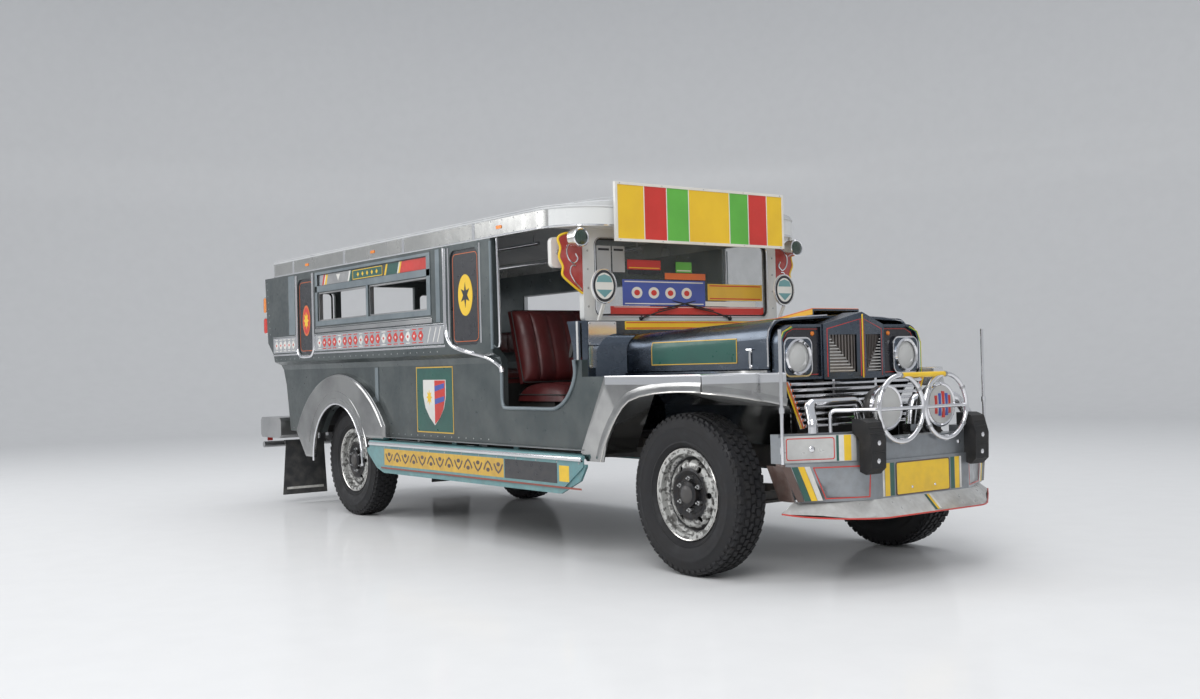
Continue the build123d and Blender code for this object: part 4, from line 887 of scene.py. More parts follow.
    def studs(self, places: Iterable[Point], axis: Point, radius: float, height: float,
              steps: int = 8) -> "Stock":
        """Bolts or rivets of one size.

        Args:
            places: middle of each seat.
            axis: way that they face.
            radius: radius of their heads.
            height: height of their heads.
            steps: faces round each.

        Returns:
            This piece.
        """
        for place in places:
            self.dome(place, axis, radius, height, steps)
        return self

    def nut(self, centre: Point, axis: Point, radius: float, height: float) -> "Stock":
        """Six-sided nut with a chamfered top.

        Args:
            centre: middle of its seat.
            axis: way that it faces.
            radius: radius over its corners.
            height: its height.

        Returns:
            This piece.
        """
        profile = [(0.0, 0.0), (radius, 0.0), (radius, height * 0.8), (radius * 0.82, height), (0.0, height)]
        return self.turned(profile, centre, axis, 6)

    def done(self) -> bpy.types.Object:
        """Makes the piece and lets it ride.

        Returns:
            The Blender object.
        """
        bmesh.ops.remove_doubles(self.mesh, verts=self.mesh.verts, dist=1e-7)
        bmesh.ops.recalc_face_normals(self.mesh, faces=self.mesh.faces)
        data = bpy.data.meshes.new(self.name)
        self.mesh.to_mesh(data)
        self.mesh.free()
        piece = bpy.data.objects.new(self.name, data)
        bpy.context.scene.collection.objects.link(piece)
        if self.edge:
            bevel = piece.modifiers.new("Edges", "BEVEL")
            bevel.width = self.edge
            bevel.segments = 2
            bevel.limit_method = "ANGLE"
            bevel.angle_limit = math.radians(40)
        data.shade_smooth()
        data.set_sharp_from_angle(angle=PIECE_CREASE)
        data.materials.append(self.finish.material())
        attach(piece, self.body.value)
        LOG.info("piece %s on %s", self.name, self.body.value)
        return piece


def dress(node: str, finish: Finish) -> None:
    """Gives a CAD node its finish.

    Args:
        node: the node's name.
        finish: what it is made of.
    """
    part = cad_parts[node]
    part.data.materials.clear()
    part.data.materials.append(finish.material())
    part.data.shade_smooth()
    part.data.set_sharp_from_angle(angle=NODE_CREASE)
    LOG.info("finish %s on node %s", finish.name, node)


STEEL_BLUE = BareSteel("steel_blue", (0.085, 0.105, 0.135), (0.135, 0.155, 0.185), 0.24, (0.6, 1.0, 1.6),
                       0.0015)
FENDER_STEEL = BareSteel("fender_steel", (0.5, 0.5, 0.49), (0.3, 0.3, 0.3), 0.13, (1.0, 1.0, 1.0), 0.003, 4.0)
LOUVRE_STEEL = BareSteel("louvre_steel", (0.34, 0.31, 0.29), (0.22, 0.2, 0.19), 0.38)
MIRROR = BareSteel("mirror_steel", (0.62, 0.62, 0.6), (0.42, 0.42, 0.4), 0.12, (1.0, 1.0, 1.0), 0.004, 4.0)
DULL_STEEL = BareSteel("dull_steel", (0.36, 0.37, 0.38), (0.5, 0.5, 0.5), 0.34)
CHROME = Chrome("chrome")
WARM_CHROME = Chrome("old_chrome", (0.72, 0.7, 0.66), 0.12)
BODY_BLUE = Paint("body_steel", (0.075, 0.092, 0.095), (0.115, 0.132, 0.132), 0.33, 0.65)
FRAME_BLUE = Paint("window_frame_steel", (0.17, 0.205, 0.225), (0.23, 0.27, 0.29), 0.36, 0.4)
# The roof's white is set darker than the same white paint on the posts, so that the roof's brightly lit top
# does not wash out to white: painted shade.
ROOF_WHITE_DIMMED = Paint("roof_white", (0.6, 0.61, 0.61), (0.53, 0.54, 0.55), 0.48)
POST_WHITE = Paint("post_white", (0.68, 0.68, 0.66), (0.58, 0.59, 0.58), 0.34)
YELLOW = Paint("signal_yellow", (0.86, 0.56, 0.02), (0.78, 0.49, 0.02), 0.36, grime_amount=0.2)
DEEP_YELLOW = Paint("ochre_yellow", (0.72, 0.44, 0.04), (0.62, 0.37, 0.04), 0.42)
RED = Paint("signal_red", (0.62, 0.035, 0.025), (0.52, 0.03, 0.02), 0.36, grime_amount=0.2)
GREEN = Paint("sign_green", (0.12, 0.47, 0.06), (0.1, 0.4, 0.05), 0.36, grime_amount=0.2)
DARK_GREEN = Paint("panel_green", (0.012, 0.1, 0.075), (0.012, 0.08, 0.065), 0.32, grime_amount=0.2)
ORANGE = Paint("orange", (0.72, 0.16, 0.03), (0.62, 0.13, 0.03), 0.38)
RUST_RED = Paint("oxide_red", (0.3, 0.055, 0.03), (0.24, 0.045, 0.03), 0.42)
WHITE = Paint("trim_white", (0.76, 0.75, 0.71), (0.66, 0.65, 0.61), 0.38)
TEAL = Paint("teal", (0.11, 0.27, 0.29), (0.16, 0.33, 0.34), 0.38)
NAVY = Paint("panel_black", (0.012, 0.013, 0.018), (0.02, 0.021, 0.027), 0.3, grime_amount=0.25)
BLUE = Paint("banner_blue", (0.06, 0.1, 0.42), (0.05, 0.08, 0.34), 0.38)
HAMMERED = Paint("hammered_grey", (0.26, 0.28, 0.3), (0.33, 0.35, 0.37), 0.34, 0.7, grain=0.002)
BUMPER_WHITE = Paint("bumper_white", (0.62, 0.62, 0.6), (0.5, 0.5, 0.49), 0.32, 0.35)
BROWN = Paint("dark_brown", (0.075, 0.045, 0.038), (0.1, 0.06, 0.05), 0.36)
CHASSIS_BLACK = Paint("chassis_black", (0.014, 0.014, 0.015), (0.03, 0.027, 0.024), 0.55,
                      grime=(0.1, 0.085, 0.07), grime_amount=0.7)
FLOOR_GREY = Paint("floor_grey", (0.1, 0.1, 0.105), (0.075, 0.075, 0.08), 0.62, grime_amount=0.5)
CAST = Paint("cast_iron", (0.1, 0.1, 0.105), (0.06, 0.055, 0.05), 0.62, 0.5, grain=0.001)
RUBBER = Rubber("bumper_rubber", (0.009, 0.009, 0.01), (0.03, 0.028, 0.027))
TYRE = Rubber("tyre_rubber", (0.008, 0.008, 0.01), (0.02, 0.019, 0.019), 0.62)
FLAP = Rubber("flap_rubber", (0.035, 0.036, 0.038), (0.09, 0.087, 0.082), 0.6)
PLASTIC = Rubber("black_plastic", (0.02, 0.02, 0.022), (0.045, 0.044, 0.043), 0.42, 0.0002)
OXBLOOD = Vinyl("oxblood_vinyl", (0.085, 0.012, 0.012), (0.055, 0.008, 0.009))
WINDOW = Glass("windshield_glass", (0.1, 0.13, 0.13), 0.16)
RED_TINT = Glass("red_acrylic", (0.5, 0.02, 0.012), 0.72, 0.08)
LAMP_GLASS = Lens("lamp_glass", (0.8, 0.8, 0.78), (0.56, 0.57, 0.57), 26.0)
DARK_LENS = Lens("dark_green_lens", (0.03, 0.06, 0.045), (0.015, 0.03, 0.022), 30.0)
RED_LENS = Lens("red_lens", (0.62, 0.02, 0.012), (0.3, 0.01, 0.008), 48.0)
AMBER_LENS = Lens("amber_lens", (0.85, 0.25, 0.02), (0.55, 0.13, 0.01), 60.0)
PAPER = Paint("grey_paper", (0.42, 0.43, 0.44), (0.36, 0.37, 0.38), 0.6, grime_amount=0.1)
MIRROR_GLASS = Chrome("mirror_glass", (0.86, 0.88, 0.89), 0.03)


@dataclass
class Wheel:
    """One wheel's tread, sidewalls, nuts and valve around the CAD disc."""

    name: str
    body: Body
    hub_x: float
    side: Side
    radius: float = TYRE_RADIUS
    carcass: float = 0.379
    track: float = 0.689
    blocks: int = 56
    nuts: int = 6
    nut_circle: float = 0.076
    rim_half: float = 0.072
    nut_seat: float = 0.0415
    cap_seat: float = 0.0735
    valve_root: Point = (0.15, 0.03, 0.095)

    @property
    def centre(self) -> Vector:
        """Middle of the tyre."""
        return Vector((along(self.hub_x), self.side.value * self.track, self.radius))

    @property
    def out(self) -> Vector:
        """Direction away from the vehicle."""
        return Vector((0.0, float(self.side.value), 0.0))

    def build(self) -> None:
        """Builds every piece of the wheel."""
        self.tyre()
        self.hub()
        node = "rim_" + self.name
        dress(node, RimPaint("rim_paint_" + self.name, centre_x=along(self.hub_x), centre_z=self.radius,
                             ring=0.243, bowl=0.15))

    def tyre(self) -> None:
        """Carcass with moulded rings, and a tread of staggered blocks."""
        rubber = Stock("tyre_tread_" + self.name, TYRE, self.body, slot="tyre")
        half = [(0.2035, 0.047), (0.204, 0.064), (0.226, 0.064), (0.232, 0.074), (0.244, 0.082),
                (0.246, 0.0865), (0.252, 0.0865), (0.2545, 0.085), (0.275, 0.0935), (0.295, 0.0975),
                (0.306, 0.0975), (0.309, 0.099), (0.318, 0.099), (0.321, 0.0965), (0.345, 0.0915),
                (0.362, 0.086), (0.373, 0.078), (self.carcass, 0.06)]
        inside = [(0.36, 0.05), (0.34, 0.074), (0.29, 0.08), (0.24, 0.062)]
        profile = half + [(r, -a) for r, a in reversed(half)] + [(r, -a) for r, a in reversed(inside)]
        profile += inside
        rubber.turned(profile, self.centre, self.out, 96)
        self.tread(rubber)
        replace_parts(rubber.done(), "tyre_" + self.name)

    def tread(self, rubber: Stock) -> None:
        """Adds five rows of tread blocks.

        Args:
            rubber: the piece that they join.
        """
        rows = ((-0.066, 0.022, 0.0), (-0.032, 0.024, 0.5), (0.0, 0.022, 0.0), (0.032, 0.024, 0.5),
                (0.066, 0.022, 0.0))
        pitch = math.tau / self.blocks
        for row, (offset, width, stagger) in enumerate(rows):
            top = self.radius - (0.0045 if row in (0, 4) else 0.0)
            for index in range(self.blocks):
                middle = (index + stagger) * pitch
                self.block(rubber, middle, pitch * 0.8, offset, width, top, 0.006 if row % 2 else -0.006)
        for way in (-1, 1):
            for index in range(self.blocks):
                self.block(rubber, (index + 0.25) * pitch, pitch * 0.52, way * 0.084, 0.01, 0.37, 0.0)

    def block(self, rubber: Stock, middle: float, arc: float, offset: float, width: float,
              top: float, skew: float) -> None:
        """Adds one tread block.

        Args:
            rubber: the piece that it joins.
            middle: angle of its middle.
            arc: angle that it covers.
            offset: distance from the tyre's middle plane.
            width: its width.
            top: radius of its top.
            skew: how far its far end is shifted sideways.
        """
        low = top - 0.014
        rings = []
        for radius, shrink in ((low, 1.0), (top - 0.002, 0.97), (top, 0.88)):
            ring = []
            for turn, side in ((-0.5, -0.5), (0.5, -0.5), (0.5, 0.5), (-0.5, 0.5)):
                angle = middle + arc * turn * shrink
                across = offset + width * side * shrink + skew * turn
                ring.append(rubber.mesh.verts.new(self.centre
                                                  + Vector((math.cos(angle), 0, math.sin(angle))) * radius
                                                  + self.out * across))
            rings.append(ring)
        rubber.wrap(rings[0], rings[1])
        rubber.wrap(rings[1], rings[2])
        rubber.mesh.faces.new(rings[0])
        rubber.mesh.faces.new(rings[2][::-1])

    def hub(self) -> None:
        """Nuts, hub cap, lock ring and valve on the outside of the disc."""
        seat = self.centre + self.out * self.nut_seat
        nuts = Stock("wheel_nuts_" + self.name, DULL_STEEL, self.body)
        for index in range(self.nuts):
            angle = math.tau * (index + 0.5) / self.nuts
            arm = Vector((math.cos(angle), 0, math.sin(angle))) * self.nut_circle
            nuts.nut(seat + arm, self.out, 0.0135, 0.018)
            nuts.turned([(0, 0.015), (0.006, 0.015), (0.006, 0.028), (0.004, 0.031), (0, 0.031)],
                        seat + arm, self.out, 12)
        nuts.done()
        Stock("hub_cap_" + self.name, CAST, self.body).turned(
            [(0, -0.004), (0.043, -0.004), (0.043, 0.001), (0.036, 0.007), (0.02, 0.01), (0, 0.011)],
            self.centre + self.out * self.cap_seat, self.out, 28).done()
        Stock("lock_ring_" + self.name, WARM_CHROME, self.body).turned(
            [(0.214, -0.005), (0.2215, -0.005), (0.2215, 0.0025), (0.219, 0.0045), (0.214, 0.002)],
            self.centre + self.out * (self.rim_half - 0.002), self.out, 72).done()
        x, outward, z = self.valve_root
        root = self.centre + Vector((x, 0, z)) + self.out * outward
        Stock("valve_" + self.name, WARM_CHROME, self.body).tube(
            [root, root + self.out * 0.02 + Vector((0.006, 0, 0.004))], 0.0045, 10).done()


@dataclass
class BodySide:
    """Trim, painted panels, window frames and edgings of one body side."""

    side: Side
    transom: Box = (-3.889, -2.239, 1.636, 1.708)
    windows: tuple[Flat, ...] = ((-3.875, -3.09), (-3.058, -2.253))
    window_low: float = 1.38
    window_high: float = 1.585
    frame_box: Box = (-3.911, -2.204, 1.3, 1.732)
    band: tuple[float, float] = (1.168, 1.282)
    belt_line: float = 1.152
    narrow: Box = (-4.238, -3.965, 1.15, 1.7)
    quarter: Box = (-1.965, -1.64, 1.15, 1.715)
    green: Box = (-2.525, -2.061, 0.62, 1.03)
    recess: float = 0.01
    post_x: float = -3.077
    sunk: float = -0.0005
    gap: float = 0.002
    rail: float = 0.018
    band_spans: tuple[Flat, ...] = ((-4.716, -4.262), (-3.941, -2.055))
    leaf_rows: tuple[tuple[float, float, int], ...] = ((-4.69, -4.29, 5), (-3.9, -2.3, 19))
    slashes: tuple[float, ...] = (-2.235, -2.165, -2.11)
    narrow_mark: float = 1.395
    quarter_mark: float = 1.445
    panel_top: float = 1.735
    proud: float = 0.0015
    sweep: tuple[Flat, ...] = ((-2.025, 1.738), (-2.025, 1.5), (-2.025, 1.285), (-2.012, 1.215),
                               (-1.965, 1.16), (-1.87, 1.129), (-1.74, 1.106), (-1.64, 1.08),
                               (-1.56, 1.052), (-1.512, 1.02), (-1.497, 0.985))
    belt_ends: Flat = (-4.722, -2.035)
    posts: tuple[Box, ...] = ((-2.14, -2.09, 1.3, 1.74), (-4.405, -4.29, 1.3, 1.74))
    door_strips: tuple[Point, ...] = ((-1.618, 1.16, 0.006), (-1.982, 1.2, 0.005))
    doorway: Point = (-1.5, -1.01, 0.785)
    pole: Point = (-1.478, 0.868, 1.13)
    section: tuple[Flat, ...] = ((1.04, LOWER_HALF), (1.042, 0.852), (1.076, 0.853), (1.1, HALF_WIDTH))
    arch_reach: float = 0.74

    @property
    def upper(self) -> Plane:
        """Plane of the upper panels."""
        return side_plane(self.side, HALF_WIDTH)

    @property
    def lower(self) -> Plane:
        """Plane of the lower panels."""
        return side_plane(self.side, LOWER_HALF)

    def label(self, what: str) -> str:
        """Name of a piece of this side."""
        return f"{what}_{self.side.label}"

    def stock(self, what: str, finish: Finish, edge: float = 0.0) -> Stock:
        """Starts a piece of this side.

        Args:
            what: plain name of the piece.
            finish: what it is made of.
            edge: bevel width.

        Returns:
            The empty piece.
        """
        return Stock(self.label(what), finish, edge=edge)

    def build(self) -> None:
        """Builds every piece of this side."""
        dress(f"body_side_{self.side.label}", BODY_BLUE)
        self.frames()
        self.transom_colours()
        self.ornament_band()
        self.dark_panels()
        self.chrome_strips()
        self.green_panel()
        self.door_edging()
        self.rivets()

    def frames(self) -> None:
        """Pale window frame with its rails, stiles, mullion and drip sill."""
        x0, x1, z0, z1 = self.frame_box
        rear, front = self.windows
        low, high = self.window_low - self.gap, self.window_high + 0.003
        stile_top = z1 - self.rail
        pale = self.stock("window_frame", FRAME_BLUE, 0.0015)
        for box in ((x0, x1, stile_top, z1), (x0, x1, high, self.transom[2] - 0.004),
                    (x0, x1, self.window_low - 0.034, low), (x0, rear[0] - self.gap, low, stile_top),
                    (front[1] + self.gap, x1, low, stile_top)):
            pale.slab(box_outline(*box), self.upper, 0.0045, self.sunk)
        pale.slab(box_outline(rear[1] + self.gap, front[0] - self.gap, low, high), self.upper, 0.006,
                  self.sunk)
        pale.done()
        sill = self.stock("drip_sill", DULL_STEEL, 0.002)
        sill.slab(box_outline(x0 - 0.01, x1 + 0.015, z0, z0 + 0.026), self.upper, 0.007, self.sunk)
        sill.slab(box_outline(x0, x1, z0 + 0.03, z0 + 0.036), self.upper, 0.003, self.sunk)
        sill.done()
        channel = self.stock("window_channel", DULL_STEEL, 0.0008)
        play, depth = 0.0005, 0.036
        for a, b in self.windows:
            channel.rim((a + play, b - play, self.window_low + play, self.window_high - play), 0.0095,
                        (0.011, 0.006), 3, self.upper, 0.03, -depth)
        channel.done()

    def transom_colours(self) -> None:
        """Coloured panels of the band over the windows, left without lettering."""
        x0, x1, z0, z1 = self.transom
        width, middle_z = x1 - x0, (z0 + z1) / 2
        lean, tile, line = 0.03, 0.0016, 0.0024
        cells = ((0.0, 0.045, MIRROR), (0.045, 0.062, RED), (0.062, 0.072, WHITE), (0.072, 0.09, YELLOW),
                 (0.09, 0.3, DULL_STEEL), (0.3, 0.315, WHITE), (0.315, 0.335, DARK_GREEN),
                 (0.635, 0.65, YELLOW), (0.65, 0.745, DARK_GREEN), (0.745, 0.755, WHITE),
                 (0.755, 0.768, YELLOW), (0.768, 1.0, RED))
        by_finish: dict[Finish, Stock] = {}
        for start, end, finish in cells:
            if finish not in by_finish:
                by_finish[finish] = self.stock("transom_" + finish.name, finish)
            a, b = x0 + width * start, x0 + width * end
            lean_a = 0.0 if start == 0 else lean
            lean_b = 0.0 if end == 1 else lean
            by_finish[finish].slab([(a, z0), (b, z0), (b + lean_b, z1), (a + lean_a, z1)], self.upper, FILM,
                                   -self.recess)
        plate = (x0 + width * 0.352, x0 + width * 0.622, z0 + 0.004, z1 - 0.004)
        self.stock("transom_name_plate", DARK_GREEN).slab(
            box_outline(*plate, 0.006, 3), self.upper, tile, -self.recess).done()
        edge = self.stock("transom_plate_edge", YELLOW)
        edge.rim(plate, 0.005, (0.006, 0.004), 3, self.upper, line, -self.recess)
        for place in (-0.14, -0.07, 0.0, 0.07, 0.14):
            x = (plate[0] + plate[1]) / 2 + place
            edge.slab([(x - 0.016, middle_z), (x, z0 + 0.02), (x + 0.016, middle_z), (x, z1 - 0.02)],
                      self.upper, line, -self.recess)
        edge.done()
        tip = x0 + width * 0.21
        by_finish[WHITE].slab([(tip, z0 + 0.016), (tip + 0.034, z1 - 0.01), (tip - 0.034, z1 - 0.01)],
                              self.upper, tile, -self.recess)
        for stock in by_finish.values():
            stock.done()

    def ornament_band(self) -> None:
        """Polished band under the windows with a row of painted leaves and bars."""
        low, high = self.band
        middle = (low + high) / 2
        steel = self.stock("ornament_steel", MIRROR, 0.0006)
        for a, b in self.band_spans:
            steel.slab(box_outline(a, b, low, high, 0.004, 2), self.upper, 0.0016, -0.0004)
        steel.done()
        red = self.stock("ornament_red", RED)
        white = self.stock("ornament_white", WHITE)
        leaf_half, bar_at, bar_half = 0.032, 0.042, 0.003
        for a, b, count in self.leaf_rows:
            pitch = (b - a) / count
            reach = pitch * 0.4
            for index in range(count):
                x = a + (index + 0.5) * pitch
                stock, other = (white, red) if index % 4 == 0 or a < -4.5 else (red, white)
                leaf = [(x - reach, middle), (x - reach * 0.4, middle + 0.026),
                        (x + reach * 0.3, middle + leaf_half), (x + reach, middle),
                        (x + reach * 0.3, middle - leaf_half), (x - reach * 0.4, middle - 0.026)]
                stock.slab(leaf, self.upper, 0.0022)
                other.slab(oval_outline(x, middle, reach * 0.3, 0.009, 12), self.upper, 0.0028)
                for at in (middle - bar_at, middle + bar_at):
                    stock.slab(box_outline(x - reach * 0.8, x + reach * 0.8, at - bar_half, at + bar_half),
                               self.upper, 0.002)
        for x in self.slashes:
            white.slab(ribbon([(x - 0.02, low + 0.012), (x, middle), (x + 0.022, high - 0.012)], 0.008),
                       self.upper, 0.0022)
        red.done()
        white.done()

    def dark_panels(self) -> None:
        """Dark recessed panels with pinstripes and plain ovals."""
        dark = self.stock("dark_panels", NAVY)
        stripe = self.stock("panel_pinstripe", ORANGE)
        for (x0, x1, z0, z1), radius in ((self.narrow, 0.056), (self.quarter, 0.046)):
            dark.slab(box_outline(x0 + self.gap, x1 - self.gap, z0 + self.gap, z1 - self.gap, radius, 6),
                      self.upper, 0.0012, BEDDED - self.recess)
            stripe.rim((x0 + 0.02, x1 - 0.02, z0 + 0.022, z1 - 0.022), 0.0035, (radius * 0.7, radius * 0.64),
                       6, self.upper, 0.002, -self.recess)
        dark.done()
        stripe.done()
        mid, z = (self.narrow[0] + self.narrow[1]) / 2, self.narrow_mark
        centre, level = (self.quarter[0] + self.quarter[1]) / 2, self.quarter_mark
        for what, finish, outline, thick in (
                ("narrow_oval", ORANGE, oval_outline(mid, z, 0.066, 0.112), 0.0022),
                ("narrow_oval_face", RED, oval_outline(mid, z, 0.054, 0.098), 0.003),
                ("narrow_star", YELLOW, self.star(mid, z, 0.046, 0.024, 8, 1.45), 0.0038),
                ("quarter_oval", YELLOW, oval_outline(centre, level, 0.082, 0.122), 0.0024),
                ("quarter_star", NAVY, self.star(centre, level, 0.056, 0.022, 6, 1.35), 0.0032)):
            self.stock(what, finish).slab(outline, self.upper, thick, -self.recess).done()

    def star(self, x: float, z: float, outer: float, inner: float, points: int, tall: float) -> list[Flat]:
        """Plain pointed star.

        Args:
            x: centre.
            z: centre.
            outer: reach of its points.
            inner: reach between them.
            points: number of points.
            tall: height as a share of its width.

        Returns:
            The outline.
        """
        outline = []
        for step in range(points * 2):
            reach = inner if step % 2 else outer
            angle = math.pi / 2 + math.pi * step / points
            outline.append((x + reach * math.cos(angle), z + reach * tall * math.sin(angle)))
        return outline

    def surface(self, flat: Flat, lift: float) -> Vector:
        """Point on the body side, which steps in at the belt.

        Args:
            flat: place and height.
            lift: distance off the sheet.

        Returns:
            The point.
        """
        x, z = flat
        half = LOWER_HALF
        for (z0, y0), (z1, y1) in zip(self.section, self.section[1:]):
            if z >= z1:
                half = y1
            elif z >= z0:
                half = y0 + (y1 - y0) * (z - z0) / (z1 - z0)
                break
        return Vector((along(x), self.side.value * (half + lift), z))

    def chrome_strips(self) -> None:
        """Bright strips: belt line, the loop under the narrow panel and the swept cab strip."""
        x0, x1 = self.narrow[0] - 0.012, self.narrow[1] + 0.012
        half = [(x0, self.panel_top), (x0, 1.45), (x0, 1.215), (x0 + 0.012, 1.165), (x0 + 0.055, 1.135)]
        loop = [*half, ((x0 + x1) / 2, 1.13), *((x0 + x1 - x, z) for x, z in reversed(half))]
        self.stock("loop_strip", CHROME).tube(
            smooth_line([self.surface(p, self.proud) for p in loop], 5), 0.011, 10).done()
        self.stock("swept_strip", CHROME).tube(
            smooth_line([self.surface(p, self.proud) for p in self.sweep], 6), 0.014, 12).done()
        line = self.stock("belt_strip", CHROME, 0.001)
        for a, b in ((self.belt_ends[0], x0 - 0.004), (x1 + 0.004, self.belt_ends[1])):
            for middle, tall, thick in ((self.belt_line, 0.006, 0.005),
                                        (self.band[1] + 0.0065, 0.0025, 0.003)):
                line.slab(box_outline(a, b, middle - tall, middle + tall), self.upper, thick, self.sunk)
        line.done()
        rib = self.stock("side_post", FRAME_BLUE, 0.003)
        rib.slab(box_outline(self.post_x - 0.022, self.post_x + 0.022, 0.585, 1.036), self.lower, 0.006,
                 self.sunk)
        for box, thick in zip(self.posts, (0.003, 0.002)):
            rib.slab(box_outline(*box), self.upper, thick, self.sunk)
        rib.done()
        pillar = self.stock("door_post_strip", CHROME)
        for x, foot, radius in self.door_strips:
            pillar.tube([self.surface((x, z), 0.001) for z in (self.panel_top, 1.5, 1.3, foot)], radius, 8)
        pillar.done()

    def green_panel(self) -> None:
        """Green painted field with a thin border and a plain two-colour shield."""
        x0, x1, z0, z1 = self.green
        self.stock("green_field", DARK_GREEN).slab(box_outline(*self.green), self.lower, FILM, BEDDED).done()
        self.stock("green_field_edge", DEEP_YELLOW).rim(
            self.green, 0.007, (0.0, 0.0), 1, self.lower, 0.0014, BEDDED).done()
        x = (x0 + x1) / 2
        top, bottom, reach = z1 - 0.085, z0 + 0.055, 0.135
        curve = [(reach, top), (reach, top - 0.1), (reach * 0.82, top - 0.175), (reach * 0.45, top - 0.235)]
        rim = [(x + a * 1.06, z + 0.004) for a, z in curve] + [(x, bottom - 0.008)]
        rim += [(x - a * 1.06, z + 0.004) for a, z in reversed(curve)]
        self.stock("shield_rim", WHITE).slab(rim, self.lower, 0.0014).done()
        half = [(x + 0.003, top), *((x + a, z) for a, z in curve), (x + 0.003, bottom)]
        self.stock("shield_red", RED).slab(half, self.lower, 0.0022).done()
        blue = self.stock("shield_blue", BLUE)
        near, far = x + 0.006, x + reach * 0.92
        for high in (top - 0.035, top - 0.115):
            blue.slab([(near, high), (far, high + 0.018), (far, high - 0.012), (near, high - 0.034)],
                      self.lower, 0.0028)
        blue.done()
        self.stock("shield_gold", YELLOW).slab(
            self.star(x - reach * 0.48, top - 0.105, 0.038, 0.019, 8, 1.3), self.lower, 0.0024).done()

    def door_edging(self) -> None:
        """Rolled edging round the open cab doorway, and its grab pole."""
        rear, front, sill = self.doorway
        bend = [(front + 0.24 * math.sin(a), sill + 0.259 * (1 - math.cos(a)))
                for a in (math.radians(step) for step in range(15, 91, 15))]
        low = [(rear, 0.985), (rear, 0.84), (rear + 0.014, sill + 0.01), (rear + 0.05, sill), (-1.25, sill),
               (front, sill), *bend]
        edge = self.stock("door_edging", FRAME_BLUE)
        edge.tube(smooth_line([self.surface(p, 0.002) for p in low], 3), 0.011, 10)
        edge.tube([self.surface((rear, z), 0.0) for z in (self.panel_top, 1.5, 1.3, 1.12)], 0.009, 10)
        edge.done()
        x, y, z = self.pole
        foot = Vector((along(x), self.side.value * y, z))
        self.stock("grab_pole", CHROME).tube(
            [foot + Vector((-0.02, 0, 0)), foot + Vector((0.004, 0, 0.006)), foot + Vector((0.01, 0, 0.03)),
             foot + Vector((0, 0, 0.618))], 0.009, 12).done()

    def rivets(self) -> None:
        """Rows of small rivets along the belt, sill and rear edge."""
        sill = [(x, 0.6) for x in (-4.5 + index * 0.086 for index in range(34))
                if abs(x + WHEELBASE) > self.arch_reach]
        belt = [(-4.66 + index * 0.087, 1.12) for index in range(30)]
        rear = [(-4.775 - index * 0.006, 1.315 + index * 0.05) for index in range(9)]
        places = [self.surface(flat, 0.0) for flat in sill + belt + rear]
        self.stock("rivets", DULL_STEEL).studs(places, (0, self.side.value, 0), 0.0045, 0.002).done()


Bar = tuple[Finish, float, float, float, float]


def bars(prefix: str, plane: Plane, rows: Iterable[Bar], lift: float = 0.0, lean: float = 0.0) -> None:
    """Painted fields on one plane, one piece for each finish.

    Args:
        prefix: start of the pieces' names.
        plane: where they lie.
        rows: finish, both ends across, bottom and top of each field.
        lift: how far their backs lie off the plane.
        lean: how far their tops shift sideways.
    """
    pieces: dict[Finish, Stock] = {}
    for finish, a, b, low, high in rows:
        if finish not in pieces:
            pieces[finish] = Stock(f"{prefix}_{finish.name}", finish)
        pieces[finish].slab([(a, low), (b, low), (b + lean, high), (a + lean, high)], plane, FILM, lift)
    for stock in pieces.values():
        stock.done()


